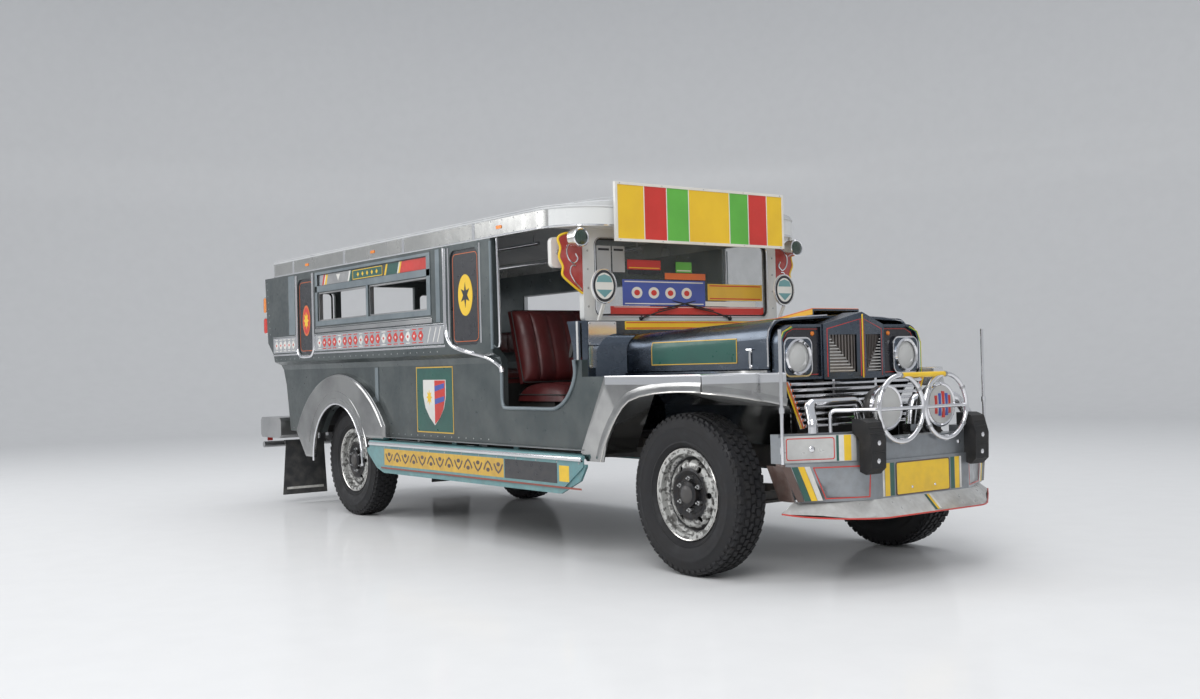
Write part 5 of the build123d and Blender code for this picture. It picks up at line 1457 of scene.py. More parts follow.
@dataclass
class Roof:
    """Roof skin, rail, beads, rivets and route board."""

    rear: float = -4.915
    front: float = -0.725
    corner: float = 0.3
    rail_low: float = 1.752
    rail_high: float = 1.853
    white_from: float = -0.93
    board_x: float = -0.689
    board_half: float = 0.62
    board_low: float = 1.668
    board_high: float = 1.985
    laps: tuple[float, ...] = (-4.3, -3.42, -2.55, -1.68)
    lap_z: Flat = (1.759, 1.847)
    reflectors: tuple[float, ...] = (-4.05, -2.98, -1.4)
    reflector_z: Flat = (1.792, 1.812)
    rivets: tuple[float, float, int] = (-4.58, 0.119, 31)
    rivet_z: Flat = (1.768, 1.84)
    ribs: tuple[float, float, int] = (-4.45, 0.56, 7)
    crown: float = 1.985
    fall: float = 0.145
    border: float = 0.015
    skin_half: float = 0.89

    def build(self) -> None:
        """Builds every piece of the roof."""
        # The roof shell takes the dimmed white, darker than its paint: painted shade against the strong top
        # light.
        dress("roof_shell", ROOF_WHITE_DIMMED)
        dress("roof_rail", TwoTone("rail_steel_and_white", along(self.white_from)))
        self.beads()
        self.rail_trim()
        self.route_board()

    def plan(self, grow: float, z: float) -> list[Vector]:
        """Line round the roof.

        Args:
            grow: how far it lies outside the sheet.
            z: its height.

        Returns:
            Its points.
        """
        outline = box_outline(self.rear - grow, self.front + grow, -HALF_WIDTH - grow, HALF_WIDTH + grow,
                              self.corner + grow, 10)
        return [Vector((along(x), y, z)) for x, y in outline]

    def beads(self) -> None:
        """Rolled beads along both edges of the rail."""
        top = Stock("roof_bead_top", ROOF_WHITE_DIMMED)
        top.tube(self.plan(-0.001, self.rail_high + 0.001), 0.0065, 8, closed=True)
        top.tube(self.plan(-0.01, self.rail_high + 0.014), 0.0045, 8, closed=True)
        top.done()
        Stock("roof_bead_low", MIRROR).tube(
            self.plan(-0.002, self.rail_low + 0.004), 0.0055, 8, closed=True).done()

    def rail_trim(self) -> None:
        """Lap joints, rivets and the small side reflectors of the rail."""
        laps = Stock("rail_laps", MIRROR, edge=0.0004)
        rivets = Stock("rail_rivets", DULL_STEEL)
        amber = Stock("rail_reflectors", AMBER_LENS, edge=0.001)
        start, pitch, count = self.rivets
        for side in Side:
            plane = side_plane(side, HALF_WIDTH)
            for x in self.laps:
                laps.slab(box_outline(x - 0.016, x + 0.016, *self.lap_z), plane, 0.0016, SEATED)
            rivets.studs([plane.at((start + index * pitch, z)) for index in range(count)
                          for z in self.rivet_z], plane.out, 0.004, 0.002)
            for x in self.reflectors:
                amber.slab(box_outline(x - 0.03, x + 0.03, *self.reflector_z, 0.008, 3), plane, 0.004,
                           -0.0004)
        for stock in (laps, rivets, amber):
            stock.done()
        ribs = Stock("roof_ribs", ROOF_WHITE_DIMMED, edge=0.001)
        start, pitch, count = self.ribs
        for index in range(count):
            ribs.tube([(along(start + index * pitch), y, self.roof_top(y) + 0.0015)
                       for y in (-0.6, -0.4, -0.2, 0.0, 0.2, 0.4, 0.6)], 0.0045, 6, flat=0.6)
        ribs.done()

    def roof_top(self, y: float) -> float:
        """Height of the roof's skin at a distance from the centre line."""
        return self.crown - self.fall * (y / self.skin_half) ** 2

    def route_board(self) -> None:
        """Blank route board in bright stripes, with a rim, dividers between the stripes and screws."""
        dress("sign_board", WHITE)
        face = cross_plane(self.board_x)
        half, low, high, border = self.board_half, self.board_low, self.board_high, self.border
        cuts = [(border - half) + share * 2 * (half - border)
                for share in (0.0, 0.15, 0.28, 0.41, 0.66, 0.78, 0.9, 1.0)]
        finishes = (YELLOW, RED, GREEN, YELLOW, GREEN, RED, YELLOW)
        bars("route_board", face, [(finish, a, b, low + border, high - border)
                                   for finish, a, b in zip(finishes, cuts, cuts[1:])], BEDDED)
        rim = Stock("route_board_rim", WHITE, edge=0.001)
        rim.rim((-half, half, low, high), border, (0.0, 0.0), 1, face, 0.004, BEDDED)
        for y in cuts[1:-1]:
            rim.slab(box_outline(y - 0.003, y + 0.003, low + 0.012, high - 0.012), face, 0.0014, 0.0)
        rim.done()
        Stock("route_board_screws", DULL_STEEL).studs(
            [face.at((y, z), 0.004) for y in (-half + 0.03, -0.3, 0.0, 0.3, half - 0.03)
             for z in (low + 0.008, high - 0.008)], face.out, 0.0035, 0.0016).done()


@dataclass(frozen=True)
class TwoTone(Finish):
    """Polished rail that turns to white paint ahead of one place."""

    edge_x: float
    bright: Colour = (0.62, 0.62, 0.6)
    white: Colour = (0.72, 0.73, 0.72)

    def wire(self, nodes: Nodes) -> None:
        """Wires the node tree.

        Args:
            nodes: the new material's nodes.
        """
        place = nodes.add("ShaderNodeSeparateXYZ")
        nodes.link(nodes.coords, "Object", place, "Vector")
        painted = nodes.span(place, "X", 0.0, 1.0, self.edge_x - 0.004, self.edge_x + 0.004)
        smudge = nodes.noise(4.0, 7.0)
        steel = nodes.ramp(smudge, "Fac", ((0.34, self.bright),
                                           (0.66, mixed(self.bright, (0.2, 0.2, 0.2), 0.4))))
        mix = nodes.add("ShaderNodeMix", data_type="RGBA")
        nodes.link(painted, "Result", mix, 0)
        nodes.link(steel, "Color", mix, 6)
        mix.inputs[7].default_value = (*self.white, 1.0)
        nodes.feed(mix, 2, "Base Color")
        metal = nodes.span(place, "X", 1.0, 0.0, self.edge_x - 0.004, self.edge_x + 0.004)
        nodes.feed(metal, "Result", "Metallic")
        nodes.feed(nodes.span(smudge, "Fac", 0.12, 0.32), "Result", "Roughness")
        nodes.bump(nodes.noise(9.0, 2.0), "Fac", 0.35, 0.003)


@dataclass
class SmallLamps:
    """Tail lamps at the rear corners and round lamps under the roof's front corners."""

    lamp_x: float = -0.762
    lamp_y: float = 0.795
    lamp_z: float = 1.688
    flank: float = 0.896
    back: float = -4.92
    across: float = 0.843
    rear: float = -4.908
    rows: tuple[Flat, ...] = ((1.318, -4.85), (1.478, -4.861))

    def build(self) -> None:
        """Builds the lenses and bezels."""
        dress("marker_lamps", WARM_CHROME)
        red = Stock("tail_lenses", RED_LENS, edge=0.002)
        amber = Stock("tail_amber_lenses", AMBER_LENS, edge=0.002)
        seals = Stock("tail_lamp_seals", PLASTIC, edge=0.001)
        round_lens = Stock("corner_lamp_lenses", DARK_LENS)
        rings = Stock("corner_lamp_rings", CHROME)
        back = cross_plane(self.back, -1)
        for side in Side:
            flank = side_plane(side, self.flank)
            y = side.value * self.across
            for (z, front), stock in zip(self.rows, (red, amber)):
                stock.slab(box_outline(self.rear, front, z + 0.012, z + 0.128, 0.018, 4), flank, 0.003,
                           -0.0008)
                stock.slab(box_outline(y - 0.038, y + 0.038, z + 0.014, z + 0.126, 0.018, 4), back, 0.004,
                           -0.0008)
                seals.frame(box_outline(y - 0.048, y + 0.048, z + 0.005, z + 0.135, 0.024, 4),
                            box_outline(y - 0.039, y + 0.039, z + 0.013, z + 0.127, 0.018, 4),
                            back, 0.003, -0.001)
            centre = (along(self.lamp_x), side.value * self.lamp_y, self.lamp_z)
            round_lens.turned([(0.0, 0.004), (0.041, 0.0), (0.041, 0.004), (0.032, 0.0095), (0.018, 0.0138),
                               (0.0, 0.0152)], centre, AHEAD, 32)
            rings.turned([(0.0405, 0.0), (0.0505, 0.0), (0.0505, 0.005), (0.046, 0.0085), (0.0405, 0.0055)],
                         centre, AHEAD, 36)
        for stock in (red, amber, seals, round_lens, rings):
            stock.done()


@dataclass
class CabFront:
    """Bulkhead plates, windshield with its blank stickers, wings, oval plates and mirrors."""

    bulkhead: float = -0.785
    glass: float = -0.877
    frame_x: float = -0.86
    plate_x: float = -0.74
    plates: tuple[Box, ...] = ((0.56, 0.745, 1.12, 1.246), (0.675, 0.745, 1.0, 1.114))
    plate_bolts: tuple[Flat, ...] = ((0.57, 1.236), (0.735, 1.236), (0.735, 1.13), (0.735, 1.01),
                                     (0.685, 1.01))
    top_panel: Box = (-0.5, 0.5, 1.202, 1.247)
    opening: Box = (-0.648, 0.648, 1.267, 1.713)
    seal: float = 0.022
    oval: Flat = (0.665, 1.432)
    mirror: Box = (0.78, 0.872, 1.54, 1.702)
    wave: tuple[Flat, ...] = ((0.716, 1.722), (0.82, 1.717), (0.868, 1.69), (0.854, 1.64), (0.863, 1.59),
                              (0.84, 1.54), (0.843, 1.495), (0.79, 1.45), (0.716, 1.4))
    curls: tuple[tuple[float, tuple[Flat, ...]], ...] = (
        (0.0045, ((0.724, 1.7), (0.78, 1.682), (0.815, 1.64), (0.808, 1.588), (0.774, 1.56),
                  (0.746, 1.585), (0.76, 1.612))),
        (0.004, ((0.724, 1.42), (0.768, 1.462), (0.796, 1.51), (0.786, 1.545), (0.76, 1.548))))
    wipers: tuple[Flat, ...] = ((-0.33, -0.06), (0.33, 0.06))
    wing_x: float = -0.869
    mirror_faces: Flat = (-0.958, -0.928)

    def build(self) -> None:
        """Builds every piece of the cab's front."""
        dress("cowl", STEEL_BLUE)
        dress("windshield_frame", POST_WHITE)
        dress("windshield_glass", WINDOW)
        dress("dashboard", PLASTIC)
        self.bulkhead_plates()
        self.windshield()
        self.stickers()
        self.wings()
        self.ovals()
        self.mirrors()

    def bulkhead_plates(self) -> None:
        """Polished plates and the blank panel across the bulkhead."""
        face = cross_plane(self.bulkhead)
        plates = Stock("bulkhead_plates", MIRROR, edge=0.0006)
        bolts = Stock("bulkhead_screws", DULL_STEEL)
        jamb = Stock("bulkhead_jambs", POST_WHITE)
        for way in (-1, 1):
            for y0, y1, z0, z1 in self.plates:
                plates.slab(box_outline(way * y0, way * y1, z0, z1, 0.006, 2), face, 0.0022, SEATED)
            bolts.studs([face.at((way * y, z), 0.0018) for y, z in self.plate_bolts], face.out, 0.0045,
                        0.0022)
            jamb.tube([face.at((way * y, z), -0.024) for y, z in ((0.8, 0.965), (0.8, 1.11), (0.801, 1.247))],
                      0.006, 8)
        plates.done()
        bolts.done()
        Stock("cowl_top_panel", YELLOW, edge=0.0006).slab(
            box_outline(*self.top_panel, 0.004, 2), face, 0.002, SEATED).done()
        strip = Stock("cowl_panel_strip", RED)
        for low, high in ((1.207, 1.213), (1.237, 1.242)):
            strip.slab(box_outline(-0.492, 0.492, low, high), face, 0.0028, SEATED)
        strip.done()
        jamb.done()

    def windshield(self) -> None:
        """Rubber seal round the glass, bright bead, screws and two wipers."""
        face = cross_plane(self.frame_x)
        y0, y1, z0, z1 = self.opening
        half, outer, inner = self.seal / 2, 0.052, 0.034
        Stock("windshield_seal", RUBBER, edge=0.001).rim(
            self.opening, self.seal, (outer, inner), 6, face, 0.005, -0.012).done()
        ring = box_outline(y0 + half, y1 - half, z0 + half, z1 - half, (outer + inner) / 2, 6)
        Stock("windshield_bead", CHROME).tube([face.at(flat, 0.004) for flat in ring], 0.003, 6,
                                              closed=True).done()
        Stock("windshield_screws", DULL_STEEL).studs(
            [face.at((way * 0.684, z)) for way in (-1, 1) for z in (1.33, 1.43, 1.53, 1.63)],
            face.out, 0.006, 0.003, 10).done()
        wiper = Stock("wipers", PLASTIC)
        off = Vector((-0.006, 0, 0.01))
        for y, tip in self.wipers:
            root = Vector((along(-0.846), y, 1.268))
            knee = Vector((along(-0.852), y + (tip - y) * 0.45, 1.302))
            far = Vector((along(-0.862), tip, 1.33))
            wiper.tube([root, knee, far], (0.005, 0.0038, 0.003), 8)
            reach = (far - knee).normalized() * 0.15
            wiper.tube([far - reach + off, far + off, far + reach + off], (0.003, 0.0045, 0.003), 8)
            wiper.dome(root + Vector((-0.014, 0, 0)), AHEAD, 0.013, 0.014, 16)
        wiper.done()

    def stickers(self) -> None:
        """Blank coloured strips, papers and dots on the glass."""
        face = cross_plane(self.glass)
        rows = ((RED, -0.526, 0.62, 1.29, 1.334), (BLUE, -0.44, 0.16, 1.338, 1.482),
                (WHITE, 0.16, 0.555, 1.338, 1.366), (DEEP_YELLOW, 0.18, 0.612, 1.372, 1.468),
                (ORANGE, -0.137, 0.165, 1.488, 1.524), (GREEN, -0.056, 0.062, 1.528, 1.588),
                (RED, -0.403, -0.166, 1.538, 1.592), (NAVY, -0.395, -0.176, 1.512, 1.534),
                (PAPER, -0.612, -0.515, 1.5, 1.662), (PAPER, -0.505, -0.42, 1.52, 1.662))
        bars("windshield_sticker", face, rows, 0.0002)
        inset = ((WHITE, -0.425, 0.145, 1.346, 1.352), (WHITE, -0.425, 0.145, 1.468, 1.474),
                 (WHITE, -0.5, 0.6, 1.328, 1.331), (RED, 0.195, 0.597, 1.38, 1.386),
                 (RED, 0.195, 0.597, 1.454, 1.46), (YELLOW, -0.392, -0.176, 1.545, 1.55),
                 (WHITE, -0.048, 0.054, 1.536, 1.542), (NAVY, -0.6, -0.527, 1.636, 1.648),
                 (NAVY, -0.495, -0.43, 1.636, 1.648))
        bars("windshield_sticker_line", face, inset, 0.0012)
        for what, finish, wide, tall, steps, lift in (("shapes", WHITE, 0.038, 0.032, 20, 0.0012),
                                                      ("dots", RED, 0.02, 0.016, 16, 0.0022)):
            marks = Stock("windshield_sticker_" + what, finish)
            for y in (-0.34, -0.22, -0.1, 0.02):
                marks.slab(oval_outline(y, 1.41, wide, tall, steps), face, FILM, lift)
            marks.done()

    def wings(self) -> None:
        """Tinted wings with a wavy yellow edge tube and bright curls."""
        dress("deflector_wings", RED_TINT)
        edge = Stock("wing_edge", YELLOW)
        curl = Stock("wing_curl", CHROME)
        x = along(self.wing_x)
        for side in Side:
            edge.tube(smooth_line([(x, side.value * y, z) for y, z in self.wave], 5), 0.0065, 8)
            for radius, curve in self.curls:
                curl.tube(smooth_line([(x + 0.004, side.value * y, z) for y, z in curve], 5), radius, 8)
        edge.done()
        curl.done()

    def ovals(self) -> None:
        """Oval plates: white rim, dark ring and blank pale middle."""
        dress("oval_plates", WHITE)
        face = cross_plane(self.plate_x)
        ring = Stock("oval_plate_rings", NAVY)
        middle = Stock("oval_plate_faces", WHITE)
        band = Stock("oval_plate_bands", TEAL)
        rim = Stock("oval_plate_rims", CHROME)
        z = self.oval[1]
        for way in (-1, 1):
            y = way * self.oval[0]
            ring.slab(oval_outline(y, z, 0.074, 0.085), face, FILM, BEDDED)
            middle.slab(oval_outline(y, z, 0.06, 0.07), face, FILM, 0.0004)
            band.slab([(y - 0.052, z + 0.02), (y + 0.052, z + 0.02), (y + 0.04, z + 0.05), (y, z + 0.062),
                       (y - 0.04, z + 0.05)], face, FILM, 0.001)
            band.slab([(y - 0.052, z - 0.02), (y, z - 0.062), (y + 0.052, z - 0.02)], face, FILM, 0.001)
            rim.tube([face.at(flat, 0.0002) for flat in oval_outline(y, z, 0.0795, 0.0905)], 0.0032, 8,
                     closed=True)
        for stock in (ring, middle, band, rim):
            stock.done()

    def mirrors(self) -> None:
        """Mirror backs with bright faces and clamps."""
        dress("mirrors", WHITE)
        glass = Stock("mirror_faces", MIRROR_GLASS, edge=0.0006)
        clamps = Stock("mirror_clamps", DULL_STEEL)
        back, front = cross_plane(self.mirror_faces[0], -1), cross_plane(self.mirror_faces[1])
        y0, y1, z0, z1 = self.mirror
        rim = 0.006
        for way in (-1, 1):
            inner = box_outline(way * (y0 + rim), way * (y1 - rim), z0 + rim, z1 - rim, 0.02, 4)
            glass.slab(inner, back, 0.0012, BEDDED)
            clamps.frame(box_outline(way * y0, way * y1, z0, z1, 0.026, 4), inner, back, 0.003, -0.0004)
            clamps.dome(front.at((way * (y0 + y1) / 2, 1.62)), front.out, 0.016, 0.008, 16)
        glass.done()
        clamps.done()


@dataclass
class Hood:
    """Painted panels, top scoop, latch and edge bead of the opening hood."""

    rear: float = -0.716
    front: float = 0.318
    half_rear: float = 0.54
    half_front: float = 0.506
    crest_rear: float = 1.192
    crest_front: float = 1.232
    ridge: float = 0.018
    shoulder: float = 0.108
    low: float = 0.975
    scoop_half: float = 0.165
    latch_x: float = 0.2
    shoulder_arc: tuple[float, float, float, float, float] = (0.01042, 0.09702, 0.09758, 0.6, 96.13)

    def build(self) -> None:
        """Builds every piece of the hood."""
        dress("hood", STEEL_BLUE)
        self.side_panels()
        self.top()
        self.latches()

    def section(self, x: float) -> list[Flat]:
        """Half section of the skin, from its lower edge to the crest.

        Args:
            x: distance from the front axle.

        Returns:
            Distances from the centre line with their heights.
        """
        share = (x - self.rear) / (self.front - self.rear)
        side = self.half_rear + (self.half_front - self.half_rear) * share
        crest = self.crest_rear + (self.crest_front - self.crest_rear) * share
        across, drop, radius, start, end = self.shoulder_arc
        bend = arc_points(side - self.shoulder + across, crest - self.ridge - drop, radius, start, end, 10)
        return [(side, self.low), *bend, (0.0, crest)]

    def skin_point(self, x: float, reach: float, way: int, lift: float) -> Vector:
        """Point off the skin.

        Args:
            x: distance from the front axle.
            reach: distance along the section from its lower edge.
            way: 1 on the left, -1 on the right.
            lift: distance off the skin.

        Returns:
            The point.
        """
        line = [Vector(point) for point in self.section(x)]
        for one, other in zip(line, line[1:]):
            run = (other - one).length
            if reach <= run or other is line[-1]:
                flat = one.lerp(other, min(reach / run, 1.0))
                ahead = (other - one).normalized()
                return Vector((along(x), way * (flat.x + ahead.y * lift), flat.y - ahead.x * lift))
            reach -= run
        raise ValueError("the section has no length")

    def patch(self, stock: Stock, x0: float, x1: float, s0: float, s1: float, way: int, thick: float,
              cells: tuple[int, int] = (12, 8)) -> None:
        """Adds a thin field that follows the skin.

        Args:
            stock: the piece that it joins.
            x0: rear end.
            x1: front end.
            s0: lower edge, along the section.
            s1: upper edge, along the section.
            way: 1 on the left, -1 on the right.
            thick: how far it stands off the skin.
            cells: pieces along and across it.
        """
        sheets = []
        for lift in (-0.0004, thick):
            sheets.append([[stock.mesh.verts.new(self.skin_point(
                x0 + (x1 - x0) * i / cells[0], s0 + (s1 - s0) * j / cells[1], way, lift))
                for j in range(cells[1] + 1)] for i in range(cells[0] + 1)])
        for sheet in sheets:
            for one, other in zip(sheet, sheet[1:]):
                for a, b, c, d in zip(one, one[1:], other[1:], other):
                    stock.mesh.faces.new((a, b, c, d))
        rings = [[*(row[0] for row in sheet), *sheet[-1][1:-1], *(row[-1] for row in reversed(sheet)),
                  *reversed(sheet[0][1:-1])] for sheet in sheets]
        stock.wrap(*rings)

    def side_panels(self) -> None:
        """Blank green name panels with a bright border on both sides."""
        green = Stock("hood_side_panels", DARK_GREEN, Body.HOOD)
        edge = Stock("hood_panel_borders", DEEP_YELLOW, Body.HOOD)
        x0, x1, s0, s1, rim = -0.52, 0.11, 0.03, 0.15, 0.0045
        for way in (-1, 1):
            self.patch(green, x0, x1, s0, s1, way, 0.001)
            self.patch(edge, x0, x1, s0, s0 + rim, way, 0.0018, (12, 2))
            self.patch(edge, x0, x1, s1 - rim, s1, way, 0.0018, (12, 2))
            self.patch(edge, x0, x0 + rim, s0, s1, way, 0.0018, (2, 8))
            self.patch(edge, x1 - rim, x1, s0, s1, way, 0.0018, (2, 8))
        green.done()
        edge.done()

    def top(self) -> None:
        """Yellow field with red edge lines, the front bead and the ridge scoop."""
        line = [Vector(point) for point in self.section(0.0)]
        length = sum((b - a).length for a, b in zip(line, line[1:]))
        inner = length - 0.43
        paint = Stock("hood_top_field", DEEP_YELLOW, Body.HOOD)
        lines = Stock("hood_top_lines", RED, Body.HOOD)
        lip = Stock("hood_front_bead", CHROME, Body.HOOD)
        for way in (-1, 1):
            self.patch(paint, self.rear + 0.03, self.front - 0.012, inner, length - 0.0005, way, 0.001,
                       (14, 6))
            self.patch(lines, self.rear + 0.04, self.front - 0.02, inner + 0.014, inner + 0.024, way, 0.0018,
                       (14, 1))
            lip.tube([self.skin_point(self.front - 0.004, s, way, 0.001)
                      for s in (0.01, 0.06, 0.1, 0.14, 0.18, 0.24, 0.4, 0.6)], 0.0045, 8)
        for stock in (paint, lines, lip):
            stock.done()
        self.scoop()

    def scoop(self) -> None:
        """Painted skin of the raised scoop, with a dark orange mouth edge."""
        slope = Vector((0.44, 0.0, 0.067)).normalized()
        top = Plane((along(-0.16), 0.0, 1.195), tuple(slope), (0, 1, 0), (-slope.z, 0.0, slope.x))
        half, inset = self.scoop_half, 0.002
        skin = Stock("scoop_skin", DEEP_YELLOW, Body.HOOD)
        skin.slab(box_outline(0.012, 0.444, -half + 0.0005, half - 0.0005), top, 0.0012, SEATED)
        rim = Stock("scoop_edges", ORANGE, Body.HOOD)
        for way in (-1, 1):
            flank = Plane((AXLE, way * half, 0.0), AHEAD, UPWARD, (0, way, 0))
            skin.slab([(-0.06, 1.2075), (0.279, 1.234), (0.279, 1.26), (-0.06, 1.2095)], flank, 0.0012,
                      SEATED)
            rim.tube([top.at((s, way * (half - inset)), 0.001) for s in (0.07, 0.25, 0.44)], 0.003, 6)
        rim.tube([top.at((0.442, y), 0.001) for y in (inset - half, 0.0, half - inset)], 0.003, 6)
        skin.done()
        rim.done()

    def latches(self) -> None:
        """Sprung latches near the front corners of the hood."""
        latch = Stock("hood_latches", CHROME, Body.HOOD)
        x = self.latch_x
        for way in (-1, 1):
            latch.studs([self.skin_point(x, s, way, 0.0) for s in (0.012, 0.088)], (0, way, 0), 0.012, 0.006,
                        14)
            latch.tube([self.skin_point(x, s, way, 0.006) for s in (0.01, 0.05, 0.092)],
                       (0.005, 0.0065, 0.005), 8)
            latch.tube([self.skin_point(x + a, 0.094, way, 0.008) for a in (-0.018, 0.0, 0.018)], 0.0055, 8)
        latch.done()


@dataclass
class Prow:
    """V-fronted radiator shell, louvres, lamp housings, grille and driving lamps."""

    tip: float = 0.448
    corner: float = 0.392
    half: float = 0.214
    housing_x: float = 0.386
    lamp: tuple[float, float, float] = (0.383, 1.028, 0.074)
    grille_x: float = 0.406
    drive: tuple[float, float, float] = (0.19, 0.788, 0.102)
    ridge_top: float = 1.23
    blades: tuple[float, float, int] = (0.95, 0.01517, 12)
    recess_x: float = 0.372
    drive_x: float = 0.75
    guard_x: float = 0.806
    hoop: Point = (0.158, 0.783, 0.15)
    panel: tuple[Flat, ...] = ((0.228, 0.936), (0.462, 0.936), (0.476, 0.968), (0.476, 1.1), (0.446, 1.148),
                               (0.4, 1.168), (0.228, 1.168))
    panel_line: tuple[Flat, ...] = ((0.236, 0.944), (0.458, 0.944), (0.468, 0.97), (0.468, 1.097),
                                    (0.44, 1.142), (0.398, 1.16), (0.236, 1.16))
    side_strip: Box = (0.4, 0.5, 0.692, 0.912)

    def build(self) -> None:
        """Builds every piece between the fenders."""
        dress("radiator_shell", STEEL_BLUE)
        dress("radiator_core", CHASSIS_BLACK)
        dress("grille_louvres", LOUVRE_STEEL)
        dress("headlight_nacelles", STEEL_BLUE)
        dress("headlamps", LAMP_GLASS)
        dress("grille_bars", CHROME)
        dress("grille_tubes", CHROME)
        dress("driving_lamps", CHASSIS_BLACK)
        dress("lamp_guard", CHROME)
        self.shell_trim()
        self.housings()
        self.grille()
        self.driving_lamps()
        self.guard()

    def face(self, way: int) -> Plane:
        """Plane of one half of the shell's front.

        Args:
            way: 1 on the left, -1 on the right.

        Returns:
            A plane whose numbers are the distance from the ridge and the height.
        """
        run = Vector((self.corner - self.tip, way * self.half, 0.0)).normalized()
        out = Vector((abs(run.y), -run.x * way, 0.0))
        return Plane((along(self.tip), 0.0, 0.0), tuple(run), UPWARD, tuple(out))

    def shell_trim(self) -> None:
        """Pinstripes on the gable, the prow strip and bright chrome strips on the level blades' fronts, a
        painted highlight of their lit edges.
        """
        red = Stock("shell_pinstripe", RED)
        strip = Stock("prow_strip", YELLOW, edge=0.001)
        # Chrome strips on the blade fronts stand in for the light that their edges catch: painted highlight.
        bright = Stock("louvre_edges", WARM_CHROME)
        foot, pitch, count = self.blades
        for way in (-1, 1):
            plane = self.face(way)
            red.slab(ribbon([(0.012, 0.93), (0.012, 1.206), (0.2, 1.16), (0.2, 0.93)], 0.0045), plane, FILM,
                     BEDDED)
            strip.slab([(0.0, 0.922), (0.0045, 0.922), (0.0045, self.ridge_top - 0.002),
                        (0.0, self.ridge_top)], plane, 0.0022, BEDDED)
            for index in range(count):
                rise = (index + 0.5) * pitch
                bright.slab(box_outline(0.0414 + rise * 0.834, 0.188, foot + rise - 0.0026,
                                        foot + rise + 0.0026), plane, 0.0016, -0.0026)
        for stock in (red, strip, bright):
            stock.done()

    def housings(self) -> None:
        """Dark inner panels, pinstripes, rims, lens ribs and corner markers round the headlamps."""
        face, recess = cross_plane(self.housing_x), cross_plane(self.recess_x)
        y, z, radius = self.lamp
        panel = Stock("housing_panels", NAVY)
        pin = Stock("housing_pinstripes", RED)
        rings = Stock("headlamp_rings", CHROME)
        amber = Stock("housing_markers", AMBER_LENS)
        stripe = Stock("nacelle_pinstripes", YELLOW)
        leaf = Stock("nacelle_green_lines", GREEN)
        bulb = Stock("headlamp_lens_ribs", LAMP_GLASS)
        for way in (-1, 1):
            panel.slab([(way * a, b) for a, b in self.panel], recess, FILM, BEDDED)
            pin.slab(ribbon([(way * a, b) for a, b in self.panel_line], 0.003), recess, FILM, 0.0006)
            rings.turned([(radius - 0.004, -0.004), (radius + 0.012, -0.004), (radius + 0.012, 0.004),
                          (radius + 0.004, 0.01), (radius - 0.004, 0.004)],
                         face.at((way * y, z), 0.006), AHEAD, 48)
            for reach in (0.024, 0.048):
                bulb.tube([face.at(flat, 0.0085 - reach * 0.1)
                           for flat in oval_outline(way * y, z, reach, reach, 28)], 0.0014, 6, closed=True)
            amber.dome(recess.at((way * 0.27, 1.138)), recess.out, 0.012, 0.01, 16)
            rings.frame(box_outline(way * y - 0.094, way * y + 0.094, z - 0.094, z + 0.094, 0.04, 6),
                        box_outline(way * y - 0.08, way * y + 0.08, z - 0.08, z + 0.08, 0.062, 6), face,
                        0.006, -0.002)
            for stock, grow in ((stripe, 0.0), (leaf, 0.005)):
                stock.slab(ribbon([(way * (0.505 - grow), 0.93), (way * (0.505 - grow), 1.09),
                                   (way * (0.478 - grow), 1.146), (way * (0.42 - grow), 1.172 - grow)],
                                  0.0035), cross_plane(self.housing_x + 0.0005), FILM, -0.0004)
        for stock in (panel, pin, rings, amber, bulb, stripe, leaf):
            stock.done()

    def grille(self) -> None:
        """Painted edges of the side strips and the centre pillar of the grille."""
        face = cross_plane(self.grille_x)
        orange = Stock("grille_side_orange", ORANGE)
        yellow = Stock("grille_side_yellow", YELLOW)
        green = Stock("grille_pillar", GREEN, edge=0.001)
        foot, head, low, high = self.side_strip
        for way in (-1, 1):
            for stock, near, far in ((orange, 0.026, 0.016), (yellow, 0.012, 0.003)):
                stock.slab([(way * (foot - near), low), (way * (foot - far), low),
                            (way * (head - far), high), (way * (head - near), high)], face, 0.0016, SEATED)
        green.slab(box_outline(-0.03, 0.03, 0.7, 0.795), cross_plane(0.42), 0.004, -0.001)
        for z in (0.712, 0.783):
            yellow.slab(box_outline(-0.022, 0.022, z - 0.004, z + 0.004), cross_plane(0.424), 0.0012, -0.0004)
        for stock in (orange, yellow, green):
            stock.done()

    def driving_lamps(self) -> None:
        """Rims with studs, pale domed lenses and one blank striped cover."""
        y, z, radius = self.drive
        inner, seat, bulge = radius - 0.012, radius - 0.004, 0.0165
        rims = Stock("driving_lamp_rims", CHROME)
        lenses = Stock("driving_lamp_lenses", LAMP_GLASS)
        dots = Stock("driving_lamp_studs", CHROME)
        face = cross_plane(self.drive_x)
        for way in (-1, 1):
            centre = face.at((way * y, z))
            rims.turned([(inner, -0.01), (radius + 0.003, -0.01), (radius + 0.004, 0.002), (seat, 0.0075),
                         (inner, 0.003)], centre, AHEAD, 56)
            front = [(r, bulge + 0.0003 - bulge * (r / radius) ** 2)
                     for r in (inner * share for share in (1.0, 0.85, 0.6, 0.3, 0.0))]
            lenses.turned([(0.0, -0.004), (inner, -0.004), *front], centre, AHEAD, 48)
            turns = (math.tau * step / 3 + math.pi / 2 for step in range(3))
            dots.studs([face.at((way * y + seat * math.cos(a), z + seat * math.sin(a)), 0.004)
                        for a in turns], AHEAD, 0.005, 0.004, 10)
        for stock in (rims, lenses, dots):
            stock.done()
        cover_face = cross_plane(self.drive_x + 0.0168)
        for name, finish, places in (("red", RED, (-0.048, 0.0, 0.048)), ("blue", BLUE, (-0.024, 0.024))):
            cover = Stock("lamp_cover_" + name, finish)
            for place in places:
                tall = 0.062 - abs(place) * 0.4
                near, far = (bulge * (reach / radius) ** 2 for reach in (abs(place), math.hypot(place, tall)))
                cover.slab(box_outline(y + place - 0.008, y + place + 0.008, z - tall, z + tall), cover_face,
                           far - near + 0.0012, -far - 0.0004)
            cover.done()

